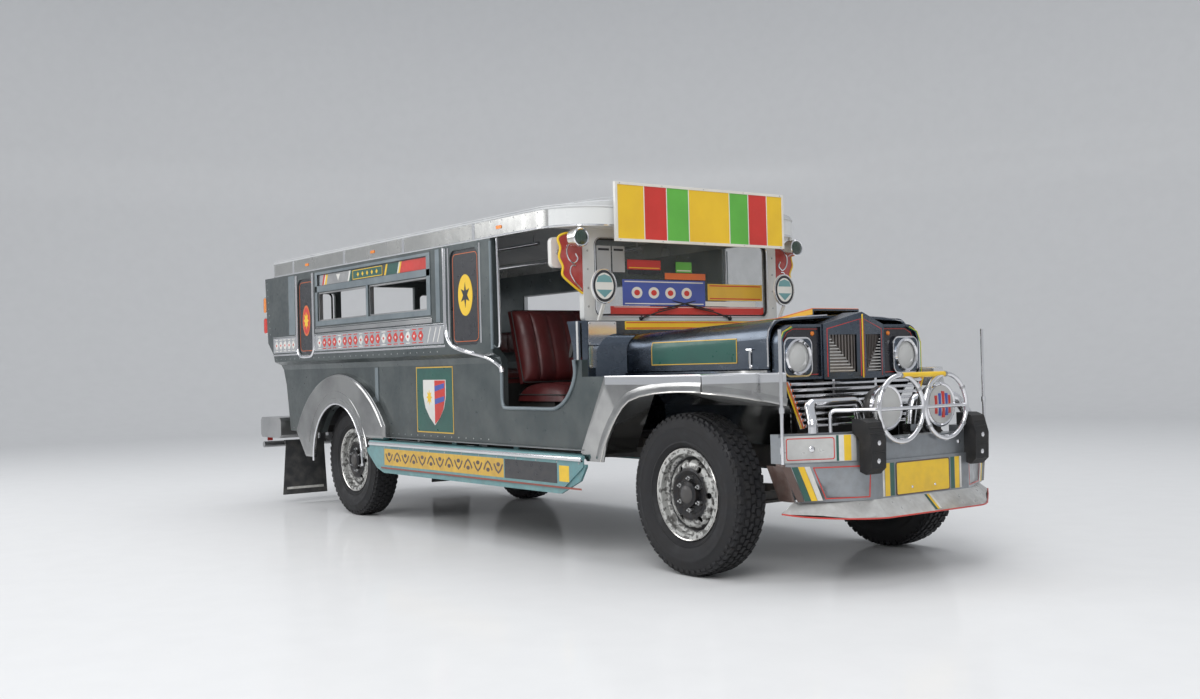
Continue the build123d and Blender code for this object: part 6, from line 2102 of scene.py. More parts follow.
    def guard(self) -> None:
        """Yellow sleeve along the guard's top tube and clamps on its hoops."""
        face = cross_plane(self.guard_x)
        across, level, radius = self.hoop
        Stock("guard_sleeve", YELLOW).tube(
            [face.at((y, level + radius)) for y in (-0.15, -0.05, 0.05, 0.15)], 0.0125, 12).done()
        clamps = Stock("guard_clamps", DULL_STEEL)
        for way in (-1, 1):
            for turn in (35, 90, 145, 215, 325):
                angle = math.radians(turn)
                middle = face.at((way * across + radius * math.cos(angle), level + radius * math.sin(angle)))
                half = Vector((0, -math.sin(angle), math.cos(angle))) * 0.006
                clamps.tube([middle - half, middle + half], 0.0135, 12)
        clamps.done()


@dataclass
class Bumper:
    """Bumper and drawn-out valance, with their stripes, painted fields, bolts and blank plate."""

    face: float = 0.78
    bend: float = 0.33
    end: tuple[float, float] = (0.6, 0.705)
    valance_face: float = 0.79
    valance_top: float = 0.545
    lip_top: float = 0.384
    lip_low: float = 0.309
    sweep_from: float = 0.4
    field: Flat = (0.392, 0.54)
    cheek_from: float = 0.55

    def build(self) -> None:
        """Builds every piece of the bumper and valance."""
        dress("front_bumper", HAMMERED)
        dress("overriders", RUBBER)
        self.valance_sheet()
        self.beam()
        self.rubber_bolts()
        self.valance()
        self.plate()

    def wing(self, way: int, grow: float) -> Plane:
        """Plane of one swept end.

        Args:
            way: 1 on the left, -1 on the right.
            grow: how far it lies ahead of the bumper's face.

        Returns:
            A plane whose numbers are the distance from the bend and the height.
        """
        run = Vector((self.end[0] - self.face, way * (self.end[1] - self.bend), 0.0)).normalized()
        out = Vector((abs(run.y), -run.x * way, 0.0))
        return Plane((along(self.face + grow), way * self.bend, 0.0), tuple(run), UPWARD, tuple(out))

    def swept(self, point: Vector) -> Vector:
        """Place of a point of the valance, drawn out along its wing and with the lip's corner swept back.

        Args:
            point: its place on the CAD valance.

        Returns:
            Its place on this one.
        """
        way, out = math.copysign(1.0, point.y), abs(point.y) - self.sweep_from
        low = share_of(self.valance_top - point.z, 0.163) * share_of(out, 0.19)
        lip = share_of(self.lip_top - point.z, 0.076) * share_of(out, 0.295)
        drawn, back = Vector((-0.034, way * 0.056, 0.0)), Vector((-0.106, -way * 0.023, 0.03 * lip))
        return point + drawn * low + back * lip

    def valance_sheet(self) -> None:
        """Valance with a white lip that sweeps back at its lower corners, in place of the plain one."""
        sheet = Stock("valance_sheet", HAMMERED)
        sheet.mesh.from_mesh(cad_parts["bumper_valance"].data)
        plain, lip, cheek = range(3)
        for face in sheet.mesh.faces:
            middle = face.calc_center_median()
            if middle.z < self.lip_top - 0.002:
                face.material_index = lip
            elif abs(face.normal.x) < 0.3 and abs(middle.y) > self.cheek_from:
                face.material_index = cheek
            else:
                face.material_index = plain
        piece = sheet.bend(self.swept).done()
        for finish in (BUMPER_WHITE, BROWN):
            piece.data.materials.append(finish.material())
        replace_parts(piece, "bumper_valance")

    def beam(self) -> None:
        """Pale end fields with red outlines, stripes and dome bolts."""
        face = cross_plane(self.face)
        bolts = Stock("bumper_bolts", CHROME)
        red = Stock("bumper_pinstripe", RED)
        bolts.studs([face.at((way * 0.275, 0.61)) for way in (-1, 1)], face.out, 0.011, 0.006, 16)
        for way in (-1, 1):
            wing, label = self.wing(way, 0.0), Side(way).label
            bolts.dome(wing.at((0.285, 0.618)), wing.out, 0.015, 0.008, 18)
            red.rim((0.178, 0.404, 0.57, 0.668), 0.004, (0.01, 0.008), 3, wing, FILM, 0.0008)
            bars(f"bumper_end_field_{label}", wing, ((BUMPER_WHITE, 0.076, 0.412, 0.56, 0.678),), BEDDED)
            rows = [(finish, a, b, 0.562, 0.676) for finish, a,
                    b in ((DARK_GREEN, 0.158, 0.17), (WHITE, 0.134, 0.158), (YELLOW, 0.1, 0.134))]
            bars(f"bumper_stripe_{label}", wing, rows, 0.0004)
        bolts.done()
        red.done()

    def rubber_bolts(self) -> None:
        """Bolts, washers and ribs of the overriders."""
        bolts = Stock("overrider_bolts", CHROME)
        ribs = Stock("overrider_ribs", RUBBER)
        for way in (-1, 1):
            y = way * 0.366
            for x, z in ((0.844, 0.56), (0.849, 0.64)):
                bolts.nut((along(x), y, z), AHEAD, 0.012, 0.005)
            for z, x in ((0.6, 0.848), (0.68, 0.84), (0.705, 0.833)):
                ribs.tube([(along(x) - 0.003, y - 0.044, z), (along(x), y - 0.036, z),
                           (along(x), y + 0.036, z), (along(x) - 0.003, y + 0.044, z)], 0.004, 8)
        bolts.done()
        ribs.done()

    def valance(self) -> None:
        """Stripes and bordered fields of the valance, with the lip's stripes and red bead."""
        face = cross_plane(self.valance_face)
        low, high = self.field
        rows = ((DARK_GREEN, 0.2, 0.226), (YELLOW, 0.23, 0.262), (WHITE, 0.266, 0.278))
        bars("valance_stripe", face, [(finish, way * a, way * b, low, high)
                                      for finish, a, b in rows for way in (-1, 1)], BEDDED)
        for way in (-1, 1):
            wing, label = self.wing(way, self.valance_face - self.face), Side(way).label
            rows = [(finish, a, b, low - 0.002, high + 0.002) for finish, a,
                    b in ((WHITE, 0.246, 0.27), (YELLOW, 0.272, 0.3), (DARK_GREEN, 0.302, 0.33))]
            bars(f"valance_end_stripe_{label}", wing, rows, BEDDED, lean=0.058)
            Stock(f"valance_border_{label}", RED).frame(
                [(0.024, 0.395), (0.234, 0.395), (0.29, 0.538), (0.016, 0.538)],
                [(0.029, 0.4), (0.231, 0.4), (0.283, 0.533), (0.021, 0.533)], wing, FILM, BEDDED).done()
            Stock(f"valance_end_{label}", BROWN).slab(
                [(0.334, 0.388), (0.364, 0.388), (0.432, 0.543), (0.392, 0.543)], wing, FILM, BEDDED).done()
        slope = Vector((0.075, 0.0, -0.074)).normalized()
        lip = Plane((along(self.valance_face), 0.0, self.lip_top), (0, 1, 0), tuple(slope),
                    (-slope.z, 0.0, slope.x))
        bars("lip_stripe", lip, [(finish, y, y + 0.014, 0.006, 0.096) for y,
                                 finish in ((-0.002, DARK_GREEN), (0.014, YELLOW), (0.03, WHITE))], 0.0006)
        steps = 8
        half = [self.swept(Vector((along(0.865 - 0.123 * step / steps), 0.33 + 0.365 * step / steps,
                                   self.lip_low))) for step in range(steps + 1)]
        Stock("lip_bead", RED).tube([(p.x, -p.y, p.z) for p in half[::-1]] + [tuple(p) for p in half],
                                    0.0035, 8).done()

    def plate(self) -> None:
        """Large blank plate in a dark frame on two screws."""
        face = cross_plane(self.valance_face)
        low, high = self.field
        Stock("blank_plate", YELLOW, edge=0.0008).slab(
            box_outline(-0.186, 0.186, low, high - 0.002, 0.01, 3), face, 0.002, BEDDED).done()
        Stock("blank_plate_frame", BROWN, edge=0.0004).rim(
            (-0.189, 0.189, low - 0.003, high + 0.001), 0.005, (0.012, 0.008), 3, face, 0.003, BEDDED).done()
        Stock("plate_screws", CHROME).studs([face.at((y, 0.422), 0.0022) for y in (-0.08, 0.08)],
                                            face.out, 0.0065, 0.003, 14).done()


@dataclass
class Flanks:
    """Fender sheets and trim, rear arches, and the step boards with their painted skirts."""

    fender: float = 0.86
    rear_wheel: float = -WHEELBASE
    radius: float = TYRE_RADIUS
    skirt: float = 0.888
    top: Box = (-0.495, 0.238, 0.914, 0.952)
    bead_z: float = 0.9545
    taper_low: tuple[Flat, ...] = ((0.1, 0.862), (0.21, 0.844), (0.33, 0.818))
    arch: tuple[Flat, ...] = ((-0.545, 0.524), (-0.52, 0.585), (-0.49, 0.64), (-0.445, 0.704),
                              (-0.394, 0.762), (-0.352, 0.802), (-0.3, 0.834), (-0.21, 0.857),
                              (-0.098, 0.871), (0.0, 0.877), (0.08, 0.879), (0.16, 0.879), (0.236, 0.877))
    lip_section: tuple[Flat, ...] = ((0.0, -0.001), (0.0, 0.005), (0.006, 0.0062), (0.03, 0.0034),
                                     (0.046, 0.001), (0.046, -0.001))
    rim_radius: float = 0.402
    scroll_z: float = 0.45
    scrolls: tuple[float, float, int] = (-2.83, 0.112, 13)
    skirt_fields: tuple[Bar, ...] = (
        (DEEP_YELLOW, -2.9, -1.43, 0.396, 0.503), (NAVY, -1.42, -0.9, 0.396, 0.503),
        (YELLOW, -0.88, -0.79, 0.408, 0.492), (RUST_RED, -2.95, -0.68, 0.372, 0.382))

    def build(self) -> None:
        """Builds the trim along both flanks."""
        self.fender_sheet()
        dress("rear_fenders", FENDER_STEEL)
        dress("step_boards", TEAL)
        dress("window_frames", BODY_BLUE)
        for side in Side:
            self.front_fender(side)
            self.rear_arch(side)
            self.step(side)

    def taper(self, side: Side) -> Plane:
        """Plane of a front fender's tapered front.

        Args:
            side: which side of the vehicle.

        Returns:
            A plane whose numbers are the distance in from the outer corner and the height.
        """
        way = side.value
        run = Vector((0.21, -way * 0.34, 0.0)).normalized()
        return Plane((along(0.24), way * self.fender, 0.0), tuple(run), UPWARD,
                     (abs(run.y), way * run.x, 0.0))

    def fender_sheet(self) -> None:
        """Front fenders whose fronts taper in plan, in place of the square ones."""
        sheet = Stock("fender_sheets", FENDER_STEEL)
        mesh = sheet.mesh
        mesh.from_mesh(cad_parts["front_fenders"].data)
        front = Stock("fender_fronts", FENDER_STEEL, edge=0.0008)
        for side in Side:
            plane = self.taper(side)
            bmesh.ops.bisect_plane(mesh, geom=[*mesh.verts, *mesh.edges, *mesh.faces], dist=1e-6,
                                   plane_co=plane.at((0.0, 0.0), -0.004), plane_no=plane.out,
                                   clear_outer=True)
            bmesh.ops.holes_fill(mesh, edges=[edge for edge in mesh.edges if edge.is_boundary], sides=0)
            front.slab([(0.002, 0.872), *self.taper_low, (0.396, 0.802), (0.396, self.bead_z),
                        (0.002, self.bead_z)], plane, 0.006, -0.006)
        front.done()
        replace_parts(sheet.done(), "front_fenders")

    def front_fender(self, side: Side) -> None:
        """Bright top strip, flared arch lip and beads of one front fender.

        Args:
            side: which side of the vehicle.
        """
        label = side.label
        plane, taper = side_plane(side, self.fender), self.taper(side)
        x0, x1, low, high = self.top
        strip = Stock(f"fender_top_strip_{label}", MIRROR, edge=0.0006)
        strip.slab(box_outline(x0, x1, low, high), plane, 0.0016, SEATED)
        strip.slab(box_outline(0.002, 0.394, low, high), taper, 0.0016, SEATED)
        strip.done()
        foot = [(0.004, 0.872), *self.taper_low, (0.392, 0.803)]
        lip = Stock(f"fender_arch_lip_{label}", FENDER_STEEL)
        lip.moulding(self.arch, plane, self.lip_section)
        lip.moulding(foot, taper, [(reach * 0.8, lift) for reach, lift in self.lip_section])
        lip.done()
        line = [*(plane.at(flat, 0.003) for flat in self.arch), *(taper.at(flat, 0.003) for flat in foot)]
        Stock(f"fender_arch_roll_{label}", WARM_CHROME).tube(line, 0.004, 8).done()
        ends = [on.at((x, self.bead_z), -0.002) for on,
                x in ((plane, x0), (plane, x1 - 0.002), (taper, 0.394))]
        Stock(f"fender_top_bead_{label}", CHROME).tube(ends, 0.005, 8).done()

    def rear_arch(self, side: Side) -> None:
        """Rolled rim, bands and level trim of one rear fender.

        Args:
            side: which side of the vehicle.
        """
        label = side.label
        wheel, reach = self.rear_wheel, self.rim_radius
        turns = (math.radians(-2 + 184 * step / 32) for step in range(33))
        rolled = side_plane(side, 0.8925)
        Stock(f"rear_arch_rim_{label}", CHROME).tube(
            [rolled.at((wheel + reach * math.cos(a), self.radius + reach * math.sin(a))) for a in turns],
            0.0075, 10).done()
        band = Stock(f"rear_arch_bands_{label}", FENDER_STEEL)
        for reach, wide, start, end in ((0.432, 0.012, 6, 174), (0.486, 0.006, 14, 166)):
            band.moulding(arc_points(wheel, self.radius, reach, start, end, 32), side_plane(side, 0.896),
                          [(-wide, -0.002), (wide, -0.002), (wide * 0.6, 0.003), (-wide * 0.6, 0.003)])
        band.done()
        trim = Stock(f"rear_arch_trim_{label}", WARM_CHROME, edge=0.0006)
        for a, b in ((-0.5, -0.405), (0.405, 0.5)):
            trim.slab(box_outline(wheel + a, wheel + b, 0.64, 0.654), side_plane(side, 0.8955), 0.002, -0.002)
        trim.done()

    def step(self, side: Side) -> None:
        """Bright nosing, tread ribs, painted skirt fields and bolts of one step board.

        Args:
            side: which side of the vehicle.
        """
        label = side.label
        skirt = side_plane(side, self.skirt)
        bars(f"skirt_{label}", skirt, self.skirt_fields, BEDDED)
        scroll = Stock(f"skirt_scroll_{label}", BROWN)
        start, pitch, count = self.scrolls
        for index in range(count):
            x, z = start + index * pitch, self.scroll_z
            way = 1 if index % 2 else -1
            curl = [(x + a, z + way * b) for a, b in ((-0.046, -0.02), (-0.023, 0.014), (0.0, 0.03),
                                                      (0.023, 0.014), (0.046, -0.02))]
            scroll.slab(ribbon(curl, 0.012), skirt, FILM, 0.0006)
            scroll.slab(oval_outline(x, z - way * 0.018, 0.019, 0.012, 14), skirt, FILM, 0.0006)
        scroll.done()
        Stock(f"step_nosing_{label}", CHROME).tube(
            [(along(x), side.value * 0.8945, 0.532) for x in (-3.105, -2.4, -1.5, -0.665)], 0.0095, 10,
            flat=1.4).done()
        Stock(f"step_bolts_{label}", DULL_STEEL).studs(
            [skirt.at((-2.9 + index * 0.2, 0.5095)) for index in range(12)], skirt.out, 0.0055, 0.0025).done()
        ribs = Stock(f"step_tread_{label}", DULL_STEEL)
        for row in range(4):
            y = side.value * (0.822 + row * 0.018)
            ribs.tube([(along(x), y, 0.5755) for x in (-3.08, -2.3, -1.5, -0.7)], 0.0028, 6, flat=0.7)
        ribs.done()


@dataclass
class Rear:
    """Entrance edging, painted bands and window seals of the back, with its step tread and flaps."""

    face_x: float = -4.75
    entrance: Flat = (0.338, 1.703)
    band: Flat = (0.39, 0.82)
    mark: Flat = (0.68, 0.83)
    window: Box = (0.385, 0.65, 1.32, 1.65)
    tread: Flat = (-5.052, -0.395)
    tread_z: float = 0.5018
    flap_faces: Flat = (-4.752, -4.744)
    flap_bolts: tuple[float, ...] = (0.52, 0.6, 0.68, 0.76)

    def build(self) -> None:
        """Builds every piece of the rear end."""
        dress("rear_frame", BODY_BLUE)
        dress("rear_step", DULL_STEEL)
        dress("mud_flaps", FLAP)
        dress("handrails", CHROME)
        self.panels()
        self.step()
        self.flaps()

    def panels(self) -> None:
        """Bright edging round the entrance, painted bands and window seals at the back."""
        face = cross_plane(self.face_x, -1)
        side, head = self.entrance
        edge = Stock("entrance_edging", CHROME)
        for way in (-1, 1):
            edge.tube([face.at((way * side, z), -0.006) for z in (1.19, 1.45, head - 0.011)], 0.0085, 10)
        edge.tube([face.at((y, head), -0.006) for y in (-0.33, 0.0, 0.33)], 0.0075, 10)
        edge.done()
        rows = ((DARK_GREEN, self.band, 1.215, 1.3), (YELLOW, self.band, 1.205, 1.213),
                (YELLOW, self.band, 1.302, 1.31), (RED, self.mark, 1.33, 1.35),
                (WHITE, self.mark, 1.352, 1.362))
        bars("rear_band", face, [(finish, *sorted((way * a, way * b)), low, high)
                                 for way in (-1, 1) for finish, (a, b), low, high in rows], BEDDED)
        seal = Stock("rear_window_seals", RUBBER, edge=0.001)
        y0, y1, z0, z1 = self.window
        width = 0.014
        for way in (-1, 1):
            seal.frame(box_outline(way * y0, way * y1, z0, z1, 0.04, 4),
                       box_outline(way * (y0 + width), way * (y1 - width), z0 + width, z1 - width, 0.03, 4),
                       face, 0.004, -0.0006)
        seal.done()

    def step(self) -> None:
        """Chequer tread and coloured corner squares of the rear step."""
        chequer = Stock("rear_step_treads", DULL_STEEL)
        length, sink = 0.008, 0.0013
        for row in range(5):
            for column in range(20):
                x, y = self.tread[0] + row * 0.026, self.tread[1] + column * 0.0415
                turn = 0.009 if (row + column) % 2 else -0.009
                chequer.tube([(along(x - length), y - turn, self.tread_z - sink),
                              (along(x), y, self.tread_z),
                              (along(x + length), y + turn, self.tread_z - sink)], (0.0018, 0.0028, 0.0018),
                             6, flat=0.8)
        chequer.done()
        rows = [(RED, way * 0.8 - 0.022, way * 0.8 + 0.022, 0.48, 0.524) for way in (-1, 1)]
        bars("rear_corner_square", cross_plane(-5.08, -1), rows, -0.0004)

    def flaps(self) -> None:
        """Bolts and a plain white stripe on each mud flap."""
        bolts = Stock("flap_bolts", DULL_STEEL)
        stripe = Stock("flap_stripes", WHITE)
        back, front = self.flap_faces
        faces = cross_plane(back, -1), cross_plane(front)
        for way in (-1, 1):
            bolts.studs([(along(-4.765), way * y, 0.482) for y in self.flap_bolts], (-1, 0, 0), 0.008,
                        0.004, 10)
            outline = [(way * 0.5, 0.11), (way * 0.806, 0.11), (way * 0.804, 0.128), (way * 0.501, 0.128)]
            for face in faces:
                stripe.slab(outline, face, FILM, BEDDED)
        bolts.done()
        stripe.done()


@dataclass
class Cushion:
    """Stuffed vinyl cushion with a crowned, pleated face, rounded sides and piping."""

    name: str
    centre: Point
    length: Point
    width: Point
    height: Point
    crown: float
    pleats: int
    cells: tuple[int, int]
    fill: float = 0.6

    def level(self, u: float, v: float) -> float:
        """Height of the face as a share of full height.

        Args:
            u: place along it, from -1 to 1.
            v: place across it, from -1 to 1.

        Returns:
            The share, 1 at the crown.
        """
        edge = (1 - abs(u) ** 10) ** 0.35 * (1 - abs(v) ** 6) ** 0.42
        pleat = abs(math.sin(math.pi * self.pleats * (u + 1) / 2)) ** 0.35
        sag = 0.5 + 0.5 * math.cos(math.pi * v)
        return edge * (1.0 - self.crown + self.crown * pleat * (0.62 + 0.38 * sag))

    def build(self) -> bpy.types.Object:
        """Builds the cushion.

        Returns:
            The cushion, without its piping.
        """
        middle, along_it = Vector(self.centre), Vector(self.length)
        across, up = Vector(self.width), Vector(self.height)
        pad = Stock(self.name, OXBLOOD, slot="vinyl")
        rows, columns = self.cells
        top, under = [], []
        for i in range(rows + 1):
            u = math.sin(math.pi / 2 * (2 * i / rows - 1)) * 0.12 + (2 * i / rows - 1) * 0.88
            upper, lower = [], []
            for j in range(columns + 1):
                v = math.sin(math.pi / 2 * (2 * j / columns - 1))
                base = middle + along_it * u + across * v
                upper.append(pad.mesh.verts.new(base + up * (2 * self.level(u, v) - 1)))
                lower.append(pad.mesh.verts.new(base - up))
            top.append(upper)
            under.append(lower)
        for sheet in (top, under):
            for one, other in zip(sheet, sheet[1:]):
                for a, b, c, d in zip(one, one[1:], other[1:], other):
                    pad.mesh.faces.new((a, b, c, d))
        rings = [[*(row[0] for row in sheet), *sheet[-1][1:-1], *(row[-1] for row in reversed(sheet)),
                  *reversed(sheet[0][1:-1])] for sheet in (top, under)]
        pad.wrap(*rings)
        piece = pad.done()
        return piece

    def piping(self) -> None:
        """Piping round the foot of the cushion's face."""
        middle, along_it = Vector(self.centre), Vector(self.length)
        across, up = Vector(self.width), Vector(self.height)
        cord = Stock(self.name + "_piping", PLASTIC)
        ring = [middle + along_it * x * 0.995 + across * y * 0.985 - up * 0.3
                for x, y in box_outline(-1.0, 1.0, -1.0, 1.0, 0.06, 4)]
        cord.tube(ring, 0.0035, 6, closed=True)
        cord.done()


@dataclass
class Cabin:
    """Cushions, dash instruments, controls and aisle strips."""

    bench: Box = (-4.445, -1.765, 0.415, 0.796)
    bench_z: tuple[float, float] = (0.9203, 1.005)
    back: Box = (-4.41, -1.765, 0.805, 0.8597)
    back_z: tuple[float, float] = (1.135, 1.3)
    seat: Box = (-1.59, -1.13, 0.14, 0.68)
    seat_z: Flat = (0.8173, 0.9233)
    dials: tuple[Flat, ...] = ((0.29, 0.042), (0.4, 0.042), (0.49, 0.024), (0.2, 0.024))
    dial_z: float = 1.205
    wheel: Point = (-1.23, 0.37, 1.12)
    wheel_tilt: float = 50.0
    pedal_places: tuple[float, ...] = (0.5, 0.4, 0.265)
    dash_x: float = -1.01
    pedal: Flat = (-0.955, 0.79)
    rim_radius: float = 0.2
    laces: int = 30
    strips: tuple[float, float, int] = (-0.3, 0.06, 11)

    def build(self) -> None:
        """Builds every piece of the cabin."""
        dress("floor_pan", FLOOR_GREY)
        dress("wheel_housings", FLOOR_GREY)
        dress("seat_frames", CHASSIS_BLACK)
        dress("steering_wheel", PLASTIC)
        self.cushions()
        self.instruments()
        self.controls()
        self.floor_strips()

    def cushions(self) -> None:
        """Replaces the bench and seat cushions by stuffed, pleated ones."""
        pads: dict[str, list[Cushion]] = {"bench_cushions": [], "front_seats": []}
        y0, y1 = self.seat[2:]
        lean = Vector((-0.1225, 0.0, 0.44)).normalized()
        face = Vector((lean.z, 0.0, -lean.x))
        for side in Side:
            label, way = side.label, side.value
            middle, (x, y, z) = self.block(side, self.bench, self.bench_z)
            pads["bench_cushions"].append(Cushion(
                f"bench_cushion_{label}", middle, (x, 0, 0), (0, y, 0), (0, 0, z + 0.003), 0.24, 22,
                cells=(264, 18)))
            middle, (x, y, z) = self.block(side, self.back, self.back_z)
            pads["bench_cushions"].append(Cushion(
                f"bench_back_{label}", middle, (x, 0, 0), (0, 0, z), (0, -way * y, 0), 0.26, 22,
                cells=(264, 14)))
            middle, (x, y, z) = self.block(side, self.seat, self.seat_z)
            pads["front_seats"].append(Cushion(
                f"cab_cushion_{label}", middle, (0, y, 0), (x, 0, 0), (0, 0, z), 0.22, 5, cells=(80, 40)))
            middle = (along(-1.5705), way * (y0 + y1) / 2, 1.1405)
            pads["front_seats"].append(Cushion(
                f"cab_back_{label}", middle, (0, y, 0), tuple(lean * 0.222), tuple(face * 0.049), 0.22, 5,
                cells=(80, 36)))
        made = []
        for node, cushions in pads.items():
            for cushion in cushions:
                made.append((cushion.build(), node))
                cushion.piping()
        for piece, node in made:
            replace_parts(piece, node)

    def block(self, side: Side, box: Box, level: Flat) -> tuple[Point, Point]:
        """Middle and half sizes of one cushion's block.

        Args:
            side: which side of the vehicle.
            box: its ends along the vehicle and across it.
            level: its bottom and top.

        Returns:
            The middle, and half of each size.
        """
        x0, x1, y0, y1 = box
        z0, z1 = level
        return ((along((x0 + x1) / 2), side.value * (y0 + y1) / 2, (z0 + z1) / 2),
                ((x1 - x0) / 2, (y1 - y0) / 2, (z1 - z0) / 2))

    def instruments(self) -> None:
        """Round gauges and switches on the dash panel."""
        face = cross_plane(self.dash_x, -1)
        rims = Stock("gauge_rims", CHROME)
        faces = Stock("gauge_faces", WHITE)
        hands = Stock("gauge_hands", RED)
        z = self.dial_z
        for y, radius in self.dials:
            inner = radius - 0.004
            rims.turned([(inner, 0.0), (radius, 0.0), (radius, 0.008), (inner, 0.01)], face.at((y, z)),
                        face.out, 32)
            faces.turned([(0.0, 0.0), (inner, 0.0), (inner, 0.003), (0.0, 0.003)], face.at((y, z)), face.out,
                         32)
            hands.tube([face.at((y, z), 0.005), face.at((y + radius * 0.5, z + radius * 0.5), 0.005)],
                       (0.0022, 0.001), 6)
        for stock in (rims, faces, hands):
            stock.done()
        Stock("dash_switches", WARM_CHROME).studs(
            [face.at((-0.3 + index * 0.055, 1.2)) for index in range(6)], face.out, 0.009, 0.016, 12).done()

    def controls(self) -> None:
        """Gear lever, pedals, and the horn button and lacing of the steering wheel."""
        self.gear_lever()
        self.pedals()
        self.steering()

    def gear_lever(self) -> None:
        """Bent gear lever with its knob and boot."""
        Stock("gear_lever", WARM_CHROME).tube(
            smooth_line([(along(-1.06), 0.03, 0.66), (along(-1.075), 0.045, 0.78), (along(-1.11), 0.06, 0.9),
                         (along(-1.13), 0.07, 0.985)], 5), 0.007, 8).done()
        knob = Stock("gear_knob", PLASTIC)
        knob.turned([(0.0, -0.02), (0.012, -0.018), (0.021, -0.006), (0.022, 0.006), (0.015, 0.018),
                     (0.0, 0.022)], (along(-1.13), 0.07, 0.995), UPWARD, 20)
        knob.turned([(0.01, 0.0), (0.05, 0.0), (0.044, 0.012), (0.022, 0.03), (0.01, 0.032)],
                    (along(-1.06), 0.03, 0.656), UPWARD, 24)
        knob.done()

    def pedals(self) -> None:
        """Ribbed pedals on bent arms."""
        pads = Stock("pedals", RUBBER, edge=0.002)
        arms = Stock("pedal_arms", DULL_STEEL)
        x, z = self.pedal
        for y in self.pedal_places:
            plane = Plane((along(x), y, z), (0, 1, 0), (-0.5, 0.0, 0.866), (-0.866, 0.0, -0.5))
            pads.slab(box_outline(-0.028, 0.028, -0.034, 0.034, 0.008, 3), plane, 0.008)
            for row in (-0.02, 0.0, 0.02):
                pads.slab(box_outline(-0.024, 0.024, row - 0.004, row + 0.004), plane, 0.012, 0.002)
            arms.tube([(along(-0.953), y, 0.792), (along(-0.9), y, 0.83), (along(-0.85), y, 0.96)], 0.006, 8)
        pads.done()
        arms.done()

    def steering(self) -> None:
        """Horn button and laced grips of the steering wheel."""
        tilt = math.radians(self.wheel_tilt)
        axis = Vector((-math.cos(tilt), 0.0, math.sin(tilt)))
        x, y, z = self.wheel
        middle = Vector((along(x), y, z))
        Stock("horn_button", RED, Body.STEERING_WHEEL).turned(
            [(0.0, -0.002), (0.022, -0.002), (0.022, 0.004), (0.014, 0.008), (0.0, 0.01)],
            middle + axis * 0.009, tuple(axis), 28).done()
        grips = Stock("steering_rim_lacing", RUBBER, Body.STEERING_WHEEL)
        across = Vector((0, 1, 0))
        upward = axis.cross(across)
        for index in range(self.laces):
            angle = math.tau * index / self.laces
            point = middle + (across * math.cos(angle) + upward * math.sin(angle)) * self.rim_radius
            half = (upward * math.cos(angle) - across * math.sin(angle)) * 0.003
            grips.tube([point - half, point + half], 0.0132, 12)
        grips.done()

    def floor_strips(self) -> None:
        """Bright wear strips along the aisle."""
        strips = Stock("aisle_strips", DULL_STEEL)
        start, pitch, count = self.strips
        for index in range(count):
            y = start + index * pitch
            strips.tube([(along(x), y, 0.6555) for x in (-4.5, -3.6, -2.7, -1.75)], 0.0035, 6, flat=0.6)
        strips.done()


@dataclass
class Underbody:
    """Finishes and fastenings below the floor."""

    rivets: tuple[float, float, int] = (-4.6, 0.2, 26)
    rail: Flat = (0.3505, 0.555)

    def build(self) -> None:
        """Builds the underbody's fastenings."""
        for name in ("chassis_frame", "propshaft", "front_axle", "rear_axle", "leaf_springs"):
            dress(name, CHASSIS_BLACK)
        for name in ("fuel_tank", "exhaust"):
            dress(name, DULL_STEEL)
        for name in ("engine_block", "knuckle_left", "knuckle_right", "tie_rod"):
            dress(name, CAST)
        rivets = Stock("chassis_rivets", CHASSIS_BLACK)
        start, pitch, count = self.rivets
        half, z = self.rail
        for way in (-1, 1):
            rivets.studs([(along(start + index * pitch), way * half, z) for index in range(count)],
                         (0, way, 0), 0.009, 0.004)
        rivets.done()


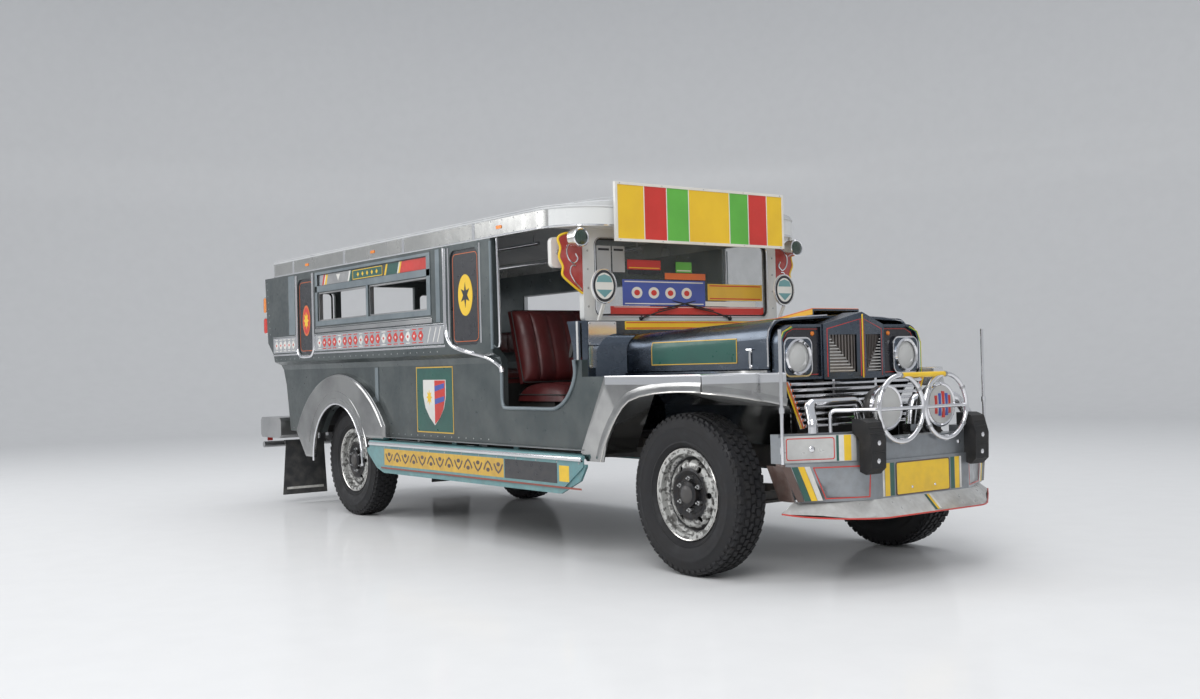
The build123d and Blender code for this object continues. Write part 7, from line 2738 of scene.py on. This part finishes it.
@dataclass
class Studio:
    """Pale floor and backdrop, soft lamps and the photograph's camera."""

    radius: float = 19.0
    height: float = 11.0
    bend: float = 5.0
    eye: Point = (6.6725, -4.626, 1.01)
    yaw: float = 53.528
    pitch: float = 0.747
    roll: float = -1.438
    focal: float = 37.57
    sky: Colour = (0.9, 0.94, 1.0)
    sky_strength: float = 0.55
    aim: Point = (0.0, 0.0, 0.9)
    lamps: tuple[tuple[str, Point, float, float], ...] = (
        ("key_light", (8.5, -8.5, 8.5), 8.0, 880.0), ("fill_light", (-6.5, -8.5, 5.5), 6.0, 340.0),
        ("top_light", (0.0, 1.0, 9.5), 9.0, 380.0))

    def build(self) -> None:
        """Builds the studio."""
        self.backdrop()
        self.world()
        for name, place, size, power in self.lamps:
            self.lamp(name, place, size, power)
        self.camera()

    def backdrop(self) -> None:
        """Round floor that curves up into a wall."""
        profile = [(0.0, -0.05), (0.0, 0.0), (self.radius - self.bend, 0.0)]
        profile += [(self.radius - self.bend + self.bend * math.sin(a), self.bend - self.bend * math.cos(a))
                    for a in (math.radians(step) for step in range(6, 91, 6))]
        profile += [(self.radius, self.height), (self.radius + 0.2, self.height), (self.radius + 0.2, -0.05)]
        stock = Stock("studio_floor", Paint("studio_paper", (0.78, 0.78, 0.78), (0.765, 0.765, 0.765), 0.85,
                                           grime_amount=0.0, grain=0.0002))
        stock.turned(profile, (0.0, 0.0, 0.0), UPWARD, 96)
        mesh = stock.mesh
        bmesh.ops.recalc_face_normals(mesh, faces=mesh.faces)
        data = bpy.data.meshes.new(stock.name)
        mesh.to_mesh(data)
        mesh.free()
        data.shade_smooth()
        data.materials.append(stock.finish.material())
        paper = bpy.data.objects.new(stock.name, data)
        bpy.context.scene.collection.objects.link(paper)

    def world(self) -> None:
        """Even pale light from above."""
        world = bpy.data.worlds.new("studio_world")
        world.use_nodes = True
        ground = world.node_tree.nodes["Background"]
        ground.inputs["Color"].default_value = (*self.sky, 1.0)
        ground.inputs["Strength"].default_value = self.sky_strength
        bpy.context.scene.world = world

    def lamp(self, name: str, place: Point, size: float, power: float) -> None:
        """Adds a soft square lamp aimed at the vehicle.

        Args:
            name: the lamp's name.
            place: where it hangs.
            size: length of its side.
            power: in watts.
        """
        data = bpy.data.lights.new(name, "AREA")
        data.size = size
        data.energy = power
        lamp = bpy.data.objects.new(name, data)
        lamp.location = place
        way = Vector(self.aim) - Vector(place)
        lamp.rotation_euler = way.to_track_quat("-Z", "Y").to_euler()
        bpy.context.scene.collection.objects.link(lamp)

    def camera(self) -> None:
        """Camera fitted to the photograph."""
        yaw, pitch, roll = (math.radians(angle) for angle in (self.yaw, self.pitch, self.roll))
        ahead = Vector((-math.sin(yaw) * math.cos(pitch), math.cos(yaw) * math.cos(pitch), math.sin(pitch)))
        right = ahead.cross(Vector(UPWARD)).normalized()
        up = right.cross(ahead)
        right, up = right * math.cos(roll) + up * math.sin(roll), up * math.cos(roll) - right * math.sin(roll)
        data = bpy.data.cameras.new("photo_camera")
        data.sensor_width = 36.0
        data.lens = self.focal
        data.clip_end = 200.0
        data.dof.use_dof = False
        camera = bpy.data.objects.new("photo_camera", data)
        camera.matrix_world = Matrix((
            (right.x, up.x, -ahead.x, self.eye[0]), (right.y, up.y, -ahead.y, self.eye[1]),
            (right.z, up.z, -ahead.z, self.eye[2]), (0, 0, 0, 1)))
        bpy.context.scene.collection.objects.link(camera)
        bpy.context.scene.camera = camera


def wheels() -> list[Wheel]:
    """The four wheels.

    Returns:
        One sub-assembly for each wheel.
    """
    rows = (("front_left", Body.WHEEL_FRONT_LEFT, 0.0, Side.LEFT),
            ("front_right", Body.WHEEL_FRONT_RIGHT, 0.0, Side.RIGHT),
            ("rear_left", Body.WHEEL_REAR_LEFT, -WHEELBASE, Side.LEFT),
            ("rear_right", Body.WHEEL_REAR_RIGHT, -WHEELBASE, Side.RIGHT))
    return [Wheel(name, body, x, side) for name, body, x, side in rows]


def main() -> None:
    logging.basicConfig(level=logging.INFO, format="%(message)s")
    scene = bpy.context.scene
    scene.view_settings.view_transform = "Standard"
    parts = (*wheels(), BodySide(Side.LEFT), BodySide(Side.RIGHT), Roof(), SmallLamps(), CabFront(), Hood(),
             Prow(), Bumper(), Flanks(), Rear(), Cabin(), Underbody(), Studio())
    for part in parts:
        LOG.info("sub-assembly %s", type(part).__name__)
        part.build()


if __name__ == "__main__":
    main()
